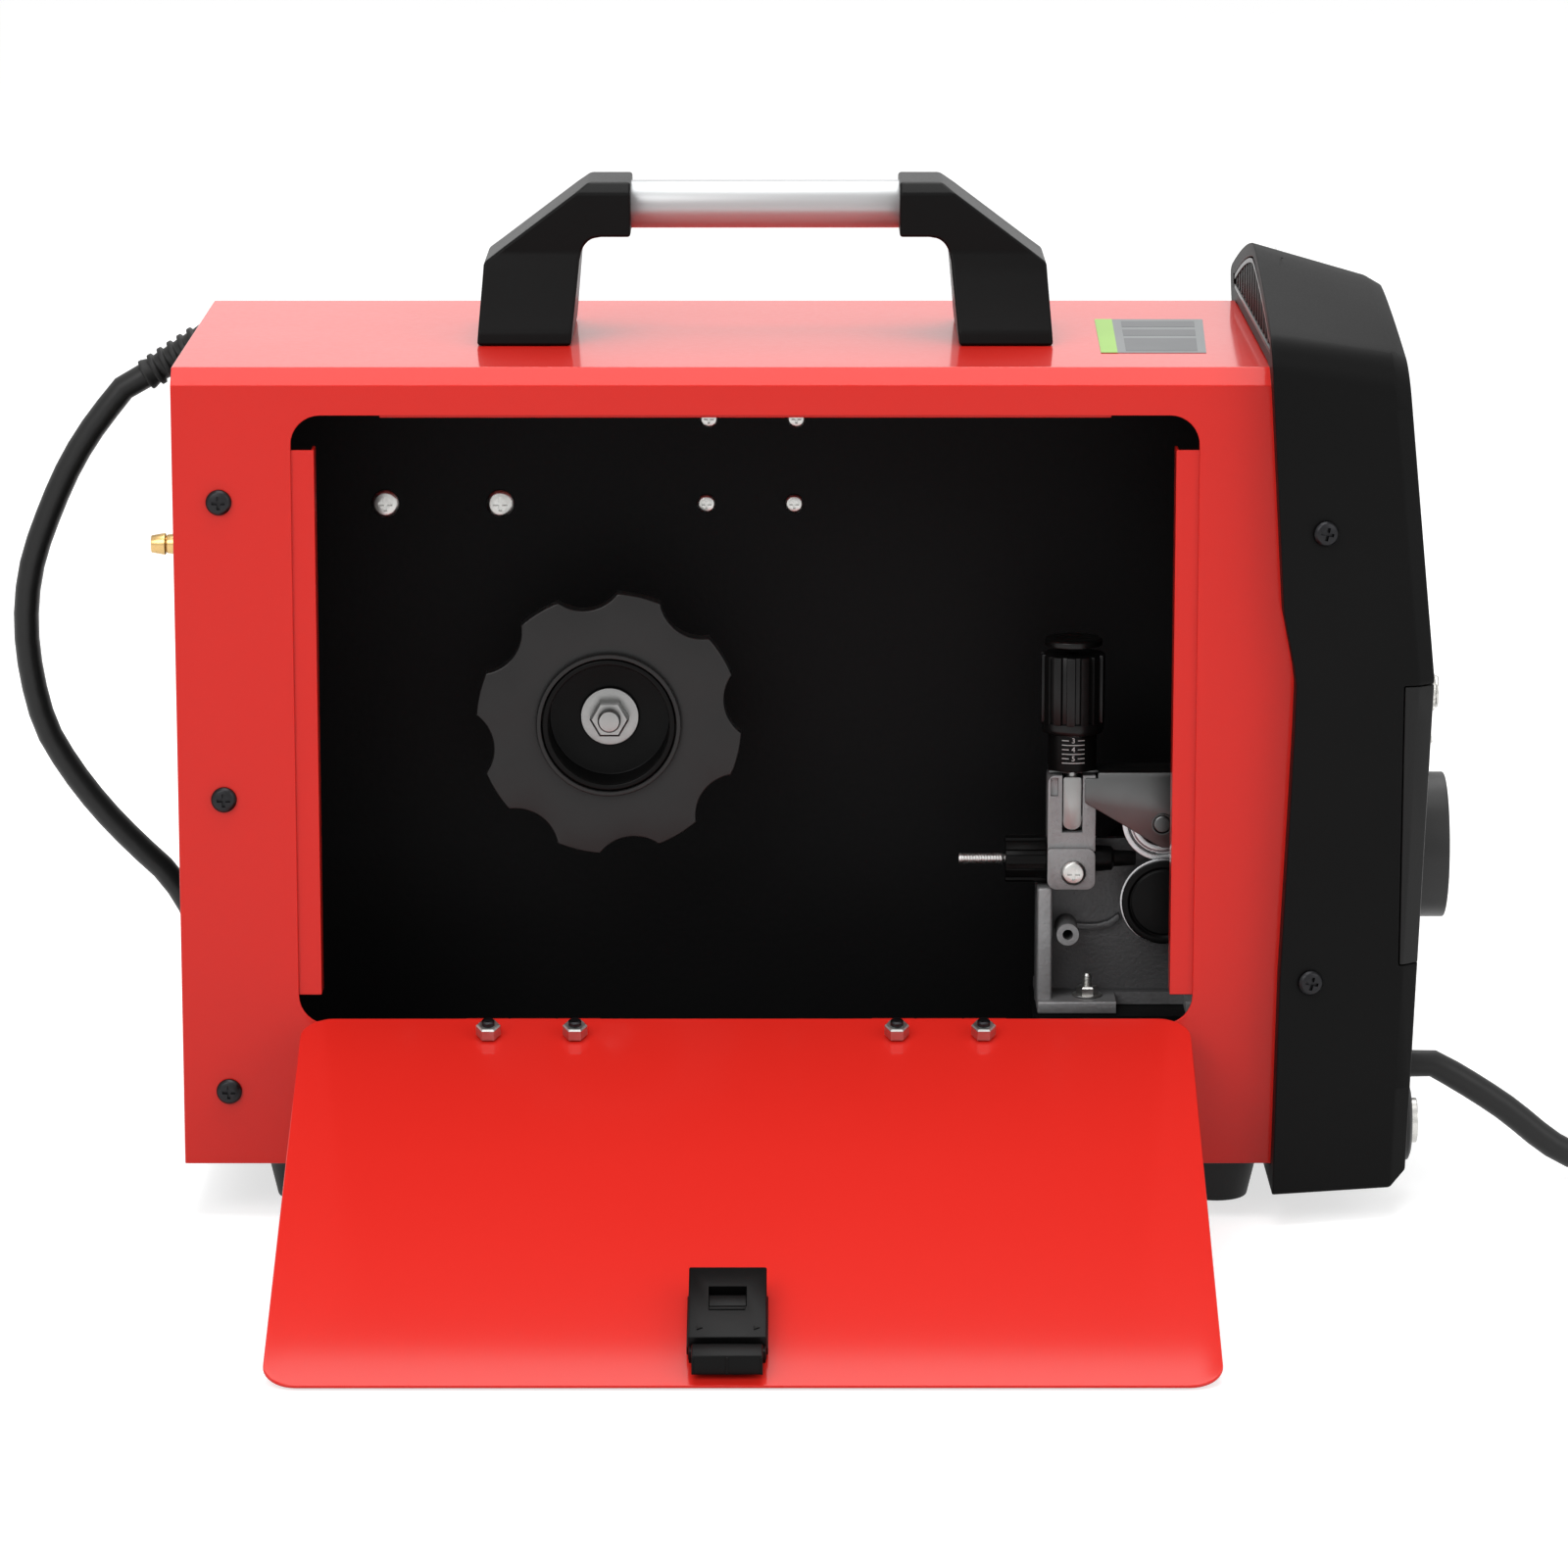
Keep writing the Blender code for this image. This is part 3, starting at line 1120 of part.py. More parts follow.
def make_controls():
    back = face_x(KNOB_Z) + KNOB_STAND
    tip = back + KNOB_LENGTH
    knob = ((0, tip), (KNOB_R - 0.0015, tip), (KNOB_R - 0.0005, tip - 0.001),
            (KNOB_R, back), (KNOB_SHAFT_R, back), (KNOB_SHAFT_R, back - 0.009),
            (0, back - 0.009))
    turned("control_knob", knob, (0, KNOB_Y, KNOB_Z), "+X", KNOB, NICKEL, steps=16)
    ball = TOGGLE_BALL_R
    tip = TOGGLE_LENGTH + 0.004
    lever = [(TOGGLE_R * 0.6, tip), (TOGGLE_R * 1.2, tip - 0.001), (TOGGLE_R, tip - 0.004)]
    for degrees in (58, 30, 0, -30, -60):
        a = math.radians(degrees)
        lever.append((ball * math.cos(a), ball * math.sin(a)))
    lever = [(0, tip)] + lever + [(0, -ball)]
    tilt = Matrix.Rotation(-TOGGLE_TILT, 3, "Y") @ AXES["+X"]
    turned("toggle_switch", lever, TOGGLE["home"], tilt, TOGGLE, NICKEL, steps=12)


make_bezel()
make_window()
make_bulkhead()
make_sockets()
make_controls()


# ---------------------------------------------------------------- handle
def make_handle():
    base = CASE_TOP + GAP
    inner = (HANDLE_INNER_REACH, HANDLE_NECK)
    profile = [(HANDLE_BASE_REACH, 0), (HANDLE_SHOULDER_REACH, HANDLE_SHOULDER),
               (HANDLE_TOP_REACH, HANDLE_TOP), (HANDLE_GRIP_REACH, HANDLE_TOP),
               (HANDLE_GRIP_REACH, HANDLE_NECK), inner]
    bend = (HANDLE_INNER_REACH + 0.0055, HANDLE_INNER_BEND)
    profile += [(inner[0] + 0.0028, inner[1] - 0.0018), (inner[0] + 0.0046, inner[1] - 0.0046),
                bend, (HANDLE_BASE_REACH - HANDLE_BASE_LENGTH, 0)]
    c, top, half = HANDLE_CHAMFER, HANDLE_TOP, HANDLE_TOP_HALF
    front = [(HANDLE_BASE_HALF, -0.001), (HANDLE_BASE_HALF, 0), (HANDLE_BASE_HALF - 0.001, 0.005),
             (half + 0.0035, 0.024), (half, 0.033), (half, top - c), (half - c, top)]
    front = front + [(-y, z) for y, z in reversed(front)]
    width = slab("handle_front_view", [(y, base + z) for y, z in front], HANDLE_MIDDLE_X, 0.5,
                 "front")
    socket_end = HANDLE_GRIP_REACH + GRIP_SOCKET
    axis = base + GRIP_AXIS
    bore = rods("grip_socket", [((HANDLE_MIDDLE_X - socket_end, 0, axis),
                                 (HANDLE_MIDDLE_X + socket_end, 0, axis))], GRIP_R + GAP)
    for name, end in (("handle_leg_rear", -1), ("handle_leg_front", 1)):
        outline = [(HANDLE_MIDDLE_X + end * x, base + z) for x, z in profile]
        leg = slab(name, outline, 0, 4 * HANDLE_BASE_HALF, "side", look=BLACK_PLASTIC)
        boolean(leg, width, "INTERSECT")
        cut(leg, bore)
        places = leg_stud_places(end)
        studs = [(at, (at[0], at[1], base + 0.001)) for at, facing in places]
        fuse(leg, rods(name + "_studs", studs, SCREW_R, sides=8),
             lathe_group(name + "_nuts", [(LEG_NUT, 8, at, facing) for at, facing in places]))
    reach = socket_end - GAP
    rods("handle_tube", [((HANDLE_MIDDLE_X - reach, 0, axis), (HANDLE_MIDDLE_X + reach, 0, axis))],
         GRIP_R, look=ALUMINIUM, sides=24)


LEG_NUT = pan_head(SCREW_HEAD_R, SCREW_HEAD, SCREW_R, SHEET)
make_handle()


# ---------------------------------------------------------------- door, hinges and latch
LEAF_OUTER_Y = -HALF - GAP - SHEET
DOOR_INNER_Y = -HALF + SHEET


def door_bolt_places(middle):
    """The bolts that hold one hinge leaf to the door."""
    return [((middle + end * LEAF_BOLT_SPACING / 2, LEAF_OUTER_Y + FUSED,
              HINGE_Z + DOOR_BOLT_OFFSET), (0, -1, 0)) for end in (-1, 1)]


def make_door():
    outline = rounded(OPENING_REAR_X + DOOR_SIDE_GAP, HINGE_Z + DOOR_START,
                      OPENING_FRONT_X - DOOR_SIDE_GAP, HINGE_Z + DOOR_START + DOOR_LENGTH, DOOR_R)
    door = slab("side_door", outline, -HALF + SHEET / 2, SHEET, "side", DOOR, RED_PAINT)
    half, start, end = latch_neck()
    hole = block("latch_hole", (LATCH_X - half - GAP, -HALF - 0.004, HINGE_Z + start - GAP),
                 (LATCH_X + half + GAP, -HALF + 0.006, HINGE_Z + end + GAP), DOOR)
    cut(door, hole, DOOR_BOLT_HOLES)


def latch_neck():
    """Half width, start and end of the part of the latch that passes through the door."""
    return LATCH_WIDTH / 2 - 0.0025, LATCH_START + 0.004, LATCH_SPLIT - 0.004


def make_latch():
    x, half = LATCH_X, LATCH_WIDTH / 2
    start, split = HINGE_Z + LATCH_START, HINGE_Z + LATCH_SPLIT
    inner = DOOR_INNER_Y
    latch = block("latch_body", (x - half, inner + GAP, start), (x + half, inner + LATCH_DEPTH,
                                                                 split), DOOR, BLACK_PLASTIC)
    neck_half, neck_start, neck_end = latch_neck()
    neck = block("latch_neck", (x - neck_half, -HALF - GAP - LATCH_PLATE / 2, HINGE_Z + neck_start),
                 (x + neck_half, inner + 0.001, HINGE_Z + neck_end), DOOR)
    rim = LATCH_RIM
    plate = block("latch_plate", (x - half - rim, -HALF - GAP - LATCH_PLATE, start - rim),
                  (x + half + rim, -HALF - GAP, split + rim), DOOR)
    floor = inner + 0.004
    roof = floor + LATCH_STEM_DEPTH + 2 * RUNNING
    channel = block("latch_channel",
                    (x - LATCH_STEM_WIDTH / 2 - RUNNING, floor, HINGE_Z + LATCH_WINDOW_START),
                    (x + LATCH_STEM_WIDTH / 2 + RUNNING, roof, split + 0.001), DOOR)
    window = block("latch_window",
                   (x - LATCH_WINDOW_WIDTH / 2, roof - 0.001, HINGE_Z + LATCH_WINDOW_START),
                   (x + LATCH_WINDOW_WIDTH / 2, inner + LATCH_DEPTH + 0.001,
                    HINGE_Z + LATCH_WINDOW_END), DOOR)
    fuse(latch, neck, plate)
    cut(latch, channel, window)
    tongue = block("latch_slide", (x - half + GAP, inner + 0.0022, split + GAP),
                   (x + half - GAP, inner + LATCH_DEPTH, HINGE_Z + LATCH_END), LATCH,
                   BLACK_PLASTIC)
    stem = block("latch_stem",
                 (x - LATCH_STEM_WIDTH / 2, floor + RUNNING, HINGE_Z + LATCH_STEM_START),
                 (x + LATCH_STEM_WIDTH / 2, roof - RUNNING, split + 0.003), LATCH)
    fuse(tongue, stem)


def hinge_leaf(name, middle, side, holder, shares):
    """One leaf: plate, tabs and knuckles; side is +1 for the door's leaves."""
    reach = HINGE_LENGTH / 2
    start = HINGE_R + RUNNING
    zs = sorted((HINGE_Z + side * start, HINGE_Z + side * LEAF_WIDTH))
    leaf = block(name, (middle - reach, LEAF_OUTER_Y, zs[0]), (middle + reach, -HALF - GAP, zs[1]),
                 holder, RED_PAINT)
    zs = sorted((HINGE_Z, HINGE_Z + side * (start + 0.001)))
    tabs = [((low, LEAF_OUTER_Y + FUSED / 2, zs[0]), (high, -HALF - GAP - FUSED / 2, zs[1]))
            for low, high in shares]
    knuckles = [((low, HINGE_Y, HINGE_Z), (high, HINGE_Y, HINGE_Z)) for low, high in shares]
    return fuse(leaf, blocks(name + "_tabs", tabs, holder),
                rods(name + "_knuckles", knuckles, HINGE_R, holder, sides=8))


def make_hinge(place_name, middle):
    """A fixed leaf that holds the pin, and a door leaf with its two bolts and nuts."""
    share, reach = KNUCKLE_SHARE / 2, HINGE_LENGTH / 2
    edge = share + RUNNING
    fixed = hinge_leaf(f"hinge_leaf_{place_name}", middle, -1, MACHINE,
                       [(middle - reach, middle - edge), (middle + edge, middle + reach)])
    pin = [((middle - reach + GAP, HINGE_Y, HINGE_Z), (middle + reach - GAP, HINGE_Y, HINGE_Z))]
    fuse(fixed, screws(f"leaf_screws_{place_name}", leaf_screw_places(middle)),
         rods(f"hinge_pin_{place_name}", pin, HINGE_PIN_R, sides=8))
    moving = hinge_leaf(f"door_leaf_{place_name}", middle, 1, DOOR,
                        [(middle - share, middle + share)])
    bore = [((middle - reach, HINGE_Y, HINGE_Z), (middle + reach, HINGE_Y, HINGE_Z))]
    cut(moving, rods(f"hinge_bore_{place_name}", bore, HINGE_PIN_R + GAP, DOOR, sides=8))
    shank = 2 * SHEET + 3 * GAP + HINGE_NUT_HEIGHT + HINGE_BOLT_END
    bolt = pan_head(HINGE_BOLT_HEAD_R, HINGE_BOLT_HEAD, HINGE_BOLT_R, shank)
    nut = ((0, HINGE_NUT_HEIGHT), (HINGE_NUT_R, HINGE_NUT_HEIGHT), (HINGE_NUT_R, 0), (0, 0))
    places = door_bolt_places(middle)
    bolts = lathe_group(f"door_bolts_{place_name}",
                        [(bolt, 8, at, facing) for at, facing in places], DOOR)
    nuts = lathe_group(f"door_nuts_{place_name}",
                       [(nut, 6, (at[0], DOOR_INNER_Y + GAP, at[2]), (0, 1, 0))
                        for at, facing in places], DOOR)
    fuse(moving, bolts, nuts)


def make_door_frame():
    """Three folded strips behind the edge of the opening, welded at the upper corners."""
    y = -HALF + SHEET + GAP
    low = OPENING_HIGH - HEADER_DROP
    top = low + HEADER_LAP
    rear, front = OPENING_REAR_X + JAMB_WIDTH, OPENING_FRONT_X - JAMB_WIDTH
    ends = (OPENING_REAR_X - JAMB_LAP, OPENING_FRONT_X + JAMB_LAP)
    frame = folded("door_frame", ((y, top), (y, low), (y + JAMB_DEPTH, low)),
                   (HEADER_REAR_X, HEADER_FRONT_X), "front", look=RED_PAINT)
    rear_strip = folded("rear_jamb", ((ends[0], y), (rear, y), (rear, y + JAMB_DEPTH)),
                        (JAMB_LOW, JAMB_HIGH), "top")
    front_strip = folded("front_jamb", ((front, y + JAMB_DEPTH), (front, y), (ends[1], y)),
                         (JAMB_LOW, JAMB_HIGH), "top")
    inset = FUSED / 2
    sheet = (y + inset, y + SHEET - inset)
    corners = []
    for low_x, high_x, jamb in ((ends[0], HEADER_REAR_X + 0.002, (ends[0], rear)),
                                (HEADER_FRONT_X - 0.002, ends[1], (front, ends[1]))):
        corners.append(((low_x + inset, sheet[0], low + SHEET + inset),
                        (high_x - inset, sheet[1], top - inset)))
        corners.append(((jamb[0] + 3 * inset, sheet[0] + inset, JAMB_HIGH - 0.001),
                        (jamb[1] - 3 * inset, sheet[1] - inset, top - 3 * inset)))
    fuse(frame, rear_strip, front_strip)
    for i, corner in enumerate(corners):
        fuse(frame, block(f"frame_corner_{i}", *corner))
    half = LATCH_WIDTH / 2 + RUNNING
    slot = block("tongue_slot", (LATCH_X - half, y + SHEET + GAP, low - 0.002),
                 (LATCH_X + half, y + JAMB_DEPTH + 0.002, low + 0.004))
    cut(frame, slot)


DOOR_BOLT_HOLES = drilled("door_bolt_holes", [place for middle in HINGE_XS
                                              for place in door_bolt_places(middle)],
                          HINGE_BOLT_R + GAP, 0.002, 0.006, DOOR)
make_door()
make_latch()
for hinge_name, hinge_x in zip(("rear", "front"), HINGE_XS):
    make_hinge(hinge_name, hinge_x)
make_door_frame()


# ---------------------------------------------------------------- spool hub
def make_hub():
    far = DIVIDER_Y - GAP
    hub = ((HUB_RECESS_R, -HUB_FRONT_Y), (HUB_R, -HUB_FRONT_Y), (HUB_R, HUB_FLANGE - far),
           (HUB_FLANGE_R, HUB_FLANGE - far), (HUB_FLANGE_R, -far),
           (HUB_SHAFT_R + GAP, -far), (HUB_SHAFT_R + GAP, -HUB_FLOOR_Y),
           (HUB_RECESS_R, -HUB_FLOOR_Y))
    turned("spool_hub", hub, (HUB_X, 0, HUB_Z), "-Y", SPOOL, BLACK_PLASTIC, steps=20, ring=True)

    bore = HUB_R + RUNNING
    ring = ((bore, -RING_COLLAR_Y), (RING_COLLAR_R, -RING_COLLAR_Y), (RING_COLLAR_R, -RING_FRONT_Y),
            (RING_R - 0.0015, -RING_FRONT_Y), (RING_R, -RING_FRONT_Y - 0.0015),
            (RING_R, -RING_REAR_Y + 0.001), (RING_R - 0.001, -RING_REAR_Y), (bore, -RING_REAR_Y))
    nut = turned("hub_flange_nut", ring, (HUB_X, 0, HUB_Z), "-Y", SPOOL, DARK_PLASTIC, steps=24,
                 ring=True)
    bites = []
    for i in range(SCALLOPS):
        a = SCALLOP_START + 2 * math.pi * i / SCALLOPS
        x, z = HUB_X + SCALLOP_CENTRE_R * math.cos(a), HUB_Z + SCALLOP_CENTRE_R * math.sin(a)
        bites.append(((x, RING_COLLAR_Y - 0.01, z), (x, RING_REAR_Y + 0.01, z)))
    cut(nut, rods("scallops", bites, SCALLOP_R, SPOOL, sides=12))

    head = -DIVIDER_Y - SHEET - GAP
    end = -HUB_SHAFT_END_Y
    bolt = ((0, end), (HUB_SHAFT_R - 0.0005, end), (HUB_SHAFT_R, end - 0.0005),
            (HUB_SHAFT_R, head), (HUB_HEAD_R, head), (HUB_HEAD_R, head - HUB_HEAD),
            (0, head - HUB_HEAD))
    seat = -HUB_FLOOR_Y + GAP
    low = seat + HUB_WASHER
    washer = ((0, low), (HUB_WASHER_R, low), (HUB_WASHER_R, seat), (0, seat))
    nut = ((0, low + HUB_NUT), (HUB_NUT_R, low + HUB_NUT), (HUB_NUT_R, low - FUSED),
           (0, low - FUSED))
    at = (HUB_X, 0, HUB_Z)
    shaft = turned("spool_shaft", bolt, at, "-Y", look=ZINC, steps=12)
    fuse(shaft, turned("shaft_washer", washer, at, "-Y", steps=20),
         turned("shaft_nut", nut, at, "-Y", steps=6))


make_hub()


# ---------------------------------------------------------------- wire feeder
def make_feeder_rack():
    path = ((RACK_FAR_Y, FLOOR_TOP + GAP), (RACK_FAR_Y, RACK_TOP), (RACK_NEAR_Y, RACK_TOP),
            (RACK_NEAR_Y, FLOOR_TOP + GAP))
    rack = folded("feeder_bracket", path, (RACK_REAR_X, RACK_FRONT_X), "front", look=BLACK_PAINT)
    under = RACK_TOP - SHEET - GAP
    seat = PLATE_LOW + FOOT_PLATE + GAP
    top = seat + RACK_NUT + RACK_BOLT_END
    bore = RACK_BOLT_R + GAP
    bolt = ((0, top), (RACK_BOLT_R, top), (RACK_BOLT_R, under), (RACK_NUT_R, under),
            (RACK_NUT_R, under - 0.003), (0, under - 0.003))
    nut = ((0, seat + RACK_NUT), (RACK_NUT_R, seat + RACK_NUT), (RACK_NUT_R, seat), (0, seat))
    runs = []
    for place_name, x in zip(("rear", "front"), RACK_BOLT_XS):
        at = (x, RACK_BOLT_Y, 0)
        fuse(turned(f"feeder_bolt_{place_name}", bolt, at, "+Z", look=ZINC, steps=12),
             turned(f"feeder_nut_{place_name}", nut, at, "+Z", steps=6))
        runs.append(((x, RACK_BOLT_Y, under - 0.002), (x, RACK_BOLT_Y, seat + 0.002)))
    holes = rods("rack_bolt_holes", runs, bore, sides=12)
    cut(rack, holes)
    return holes


def make_feeder_plate(bolt_holes):
    ear = ARM_PIVOT_Z + EAR_RISE
    outline = ((PLATE_REAR_X, PLATE_LOW), (PLATE_FRONT_X, PLATE_LOW), (PLATE_FRONT_X, ear),
               (ARM_PIVOT_X - 0.010, ear), (ARM_PIVOT_X - 0.017, PLATE_HIGH),
               (PLATE_REAR_X, PLATE_HIGH))
    plate = slab("feeder_plate", outline, PLATE_FACE_Y + PLATE_THICK / 2, PLATE_THICK, "side",
                 look=CASTING)
    root = PLATE_FACE_Y + 0.001
    rim = ((PLATE_REAR_X + 0.0001, RIM_FRONT_Y, PLATE_LOW + 0.0001),
           (PLATE_REAR_X + RIM_WIDTH, root, WIRE_Z - GUIDE_NUT_R - GAP))
    post = ((PLATE_FRONT_X - 0.007, RIM_FRONT_Y, WIRE_Z - 0.010),
            (PLATE_FRONT_X - 0.0001, root, WIRE_Z + 0.0085))
    clamp = ((CLAMP_REAR_X, CLAMP_FACE_Y, CLAMP_LOW), (CLAMP_FRONT_X, root, PLATE_HIGH + 0.0002))
    foot = ((PLATE_REAR_X + 0.0002, FOOT_PLATE_FRONT_Y, PLATE_LOW),
            (PLATE_FRONT_X - 0.0002, FOOT_PLATE_BACK_Y, PLATE_LOW + FOOT_PLATE))
    yoke = ((CLAMP_REAR_X + FUSED / 2, ARM_FRONT_Y + ARM_SHEET + RUNNING, PLATE_HIGH - 0.0005),
            (YOKE_FRONT_X, root, YOKE_TOP))
    stud = ((ARM_PIVOT_X, root, ARM_PIVOT_Z), (ARM_PIVOT_X, ARM_FRONT_Y - 0.0006, ARM_PIVOT_Z))
    eye = ((EYE_X, root, EYE_Z), (EYE_X, RIM_FRONT_Y, EYE_Z))
    fuse(plate, blocks("plate_rims", (rim, post)), blocks("plate_ends", (clamp, foot)),
         block("plate_yoke", *yoke), rods("arm_stud", (stud,), ARM_PIN_R, sides=10),
         rods("plate_eye", (eye,), EYE_R, sides=10))
    slot_half = LEVER_WIDTH / 2 + RUNNING
    slot = block("lever_slot", (LEVER_X - slot_half, RIM_FRONT_Y - 0.01, SLOT_LOW),
                 (LEVER_X + slot_half, SLOT_BACK_Y, YOKE_TOP + 0.01))
    pin_reach = LEVER_PIN_LENGTH / 2 + RUNNING
    pin = rods("lever_pin_hole", [((LEVER_X - pin_reach, LEVER_Y, LEVER_PIVOT_Z),
                                   (LEVER_X + pin_reach, LEVER_Y, LEVER_PIVOT_Z))],
               LEVER_PIN_R + GAP, sides=12)
    guide = rods("guide_bore", [((PLATE_REAR_X - 0.005, FEED_Y, WIRE_Z),
                                 (CLAMP_FRONT_X + 0.005, FEED_Y, WIRE_Z))], GUIDE_R + GAP)
    outlet = rods("outlet_bore", [((PLATE_FRONT_X - 0.012, FEED_Y, WIRE_Z),
                                   (PLATE_FRONT_X + 0.005, FEED_Y, WIRE_Z))], 0.003, sides=12)
    hole = rods("eye_hole", [((EYE_X, RIM_FRONT_Y - 0.002, EYE_Z), (EYE_X, root + 0.008, EYE_Z))],
                EYE_HOLE_R, sides=12)
    shaft = rods("drive_shaft_hole", [((DRIVE_X, root - 0.01, DRIVE_Z),
                                       (DRIVE_X, root + 0.01, DRIVE_Z))],
                 DRIVE_SHAFT_R + 3 * RUNNING)
    recess = block("foot_recess", (FOOT_LUG_REAR_X, FOOT_PLATE_FRONT_Y - 0.001, PLATE_LOW - 0.001),
                   (FOOT_LUG_FRONT_X, FOOT_RECESS_Y, PLATE_LOW + FOOT_PLATE + 0.001))
    cut(plate, slot, pin, guide, outlet, hole, shaft, bolt_holes, recess)
    head = pan_head(SCREW_HEAD_R, WALL_SCREW_HEAD, 0.0016, 0.001)
    fuse(plate, turned("clamp_screw", head, (CLAMP_SCREW_X, CLAMP_FACE_Y + FUSED, CLAMP_SCREW_Z),
                       "-Y", steps=10))


def make_drive():
    back = PLATE_FACE_Y + PLATE_THICK + GAP
    bore = DRIVE_SHAFT_R + RUNNING
    socket = back + 0.010
    motor = ((0, MOTOR_BACK_Y), (MOTOR_R - 0.0015, MOTOR_BACK_Y), (MOTOR_R, MOTOR_BACK_Y - 0.0015),
             (MOTOR_R, GEARBOX_BACK_Y), (GEARBOX_R, GEARBOX_BACK_Y), (GEARBOX_R, back),
             (bore, back), (bore, socket), (0, socket))
    turned("feeder_motor", motor, (DRIVE_X, 0, DRIVE_Z), "+Y", look=BLACK_PAINT, steps=20)
    near, far = -FEED_Y + ROLLER_WIDTH / 2, -FEED_Y - ROLLER_WIDTH / 2
    r, g = ROLLER_R, ROLLER_GROOVE
    rim = [(r, near), (r, -FEED_Y + g), (r - g, -FEED_Y), (r, -FEED_Y - g), (r, far)]
    step = -PLATE_FACE_Y + GAP
    roller = [(0, near)] + rim + [(DRIVE_SHAFT_R + 0.002, far), (DRIVE_SHAFT_R + 0.002, step),
                                  (DRIVE_SHAFT_R, step), (DRIVE_SHAFT_R, 0.0005 - socket),
                                  (0, 0.0005 - socket)]
    turned("drive_roller", roller, (DRIVE_X, 0, DRIVE_Z), "-Y", ROLLER, STEEL, steps=16)
    cap = ((0, near + GAP + CAP_THICK), (CAP_R - 0.0015, near + GAP + CAP_THICK),
           (CAP_R, near + GAP + CAP_THICK - 0.001), (CAP_R, near + GAP), (0, near + GAP))
    turned("roller_cap", cap, (DRIVE_X, 0, DRIVE_Z), "-Y", ROLLER, BLACK_PLASTIC, steps=16)
    bore = ARM_PIN_R + RUNNING
    idler = [(bore, near)] + rim + [(bore, far)]
    turned("pressure_roller", idler, (PRESS_X, 0, PRESS_Z), "-Y", PRESS, STEEL, steps=16,
           ring=True)


def make_arm():
    front, back, t = ARM_FRONT_Y, ARM_BACK_Y, ARM_SHEET
    top = ARM_TOP - 0.0003
    low = PRESS_Z - ARM_DROP
    px, pz = ARM_PIVOT_X, ARM_PIVOT_Z
    outline = ((ARM_CHEEK_X, top), (ARM_CHEEK_X, ARM_CHEEK_LOW), (PRESS_X, low),
               (PRESS_X + 0.0065, low), (px - 0.003, pz - 0.008), (px + 0.0045, pz - 0.0045),
               (px + 0.006, pz + 0.002), (px + ARM_END, top))
    tip = ((ARM_CHEEK_X, top), (ARM_CHEEK_X, ARM_TIP_TOP), (ARM_TIP_X, ARM_TIP_TOP),
           (ARM_TIP_X, ARM_TIP_LOW))
    arm = slab("pressure_arm", tip + outline[2:], front + t / 2, t, "side", ARM, ZINC)
    cheek = slab("arm_back_cheek", outline, back - t / 2, t, "side", ARM)
    web = block("arm_web", (ARM_CHEEK_X + 0.0001, front + 0.0001, ARM_TOP - t),
                (px + ARM_END - 0.0001, back - 0.0001, ARM_TOP), ARM)
    tongue = block("arm_tongue", (ARM_TONGUE_X, ARM_TONGUE_Y, ARM_TOP - t + 0.00005),
                   (ARM_CHEEK_X + 0.0015, back - 0.0002, ARM_TOP - 0.00005), ARM)
    pin = rods("arm_pin", [((PRESS_X, front - 0.0006, PRESS_Z), (PRESS_X, back - 0.0005, PRESS_Z))],
               ARM_PIN_R, ARM, sides=10)
    slot_half = LEVER_ROD_R + 2 * RUNNING
    slot = block("arm_slot", (LEVER_X - slot_half, ARM_TONGUE_Y - 0.01, ARM_TOP - 0.01),
                 (LEVER_X + slot_half, LEVER_Y + slot_half, ARM_TOP + 0.01), ARM)
    pivot = rods("arm_pivot_hole", [((ARM_PIVOT_X, front - 0.01, ARM_PIVOT_Z),
                                     (ARM_PIVOT_X, back + 0.01, ARM_PIVOT_Z))],
                 ARM_PIN_R + RUNNING, ARM, sides=16)
    fuse(arm, cheek, web, tongue, pin)
    cut(arm, slot, pivot)


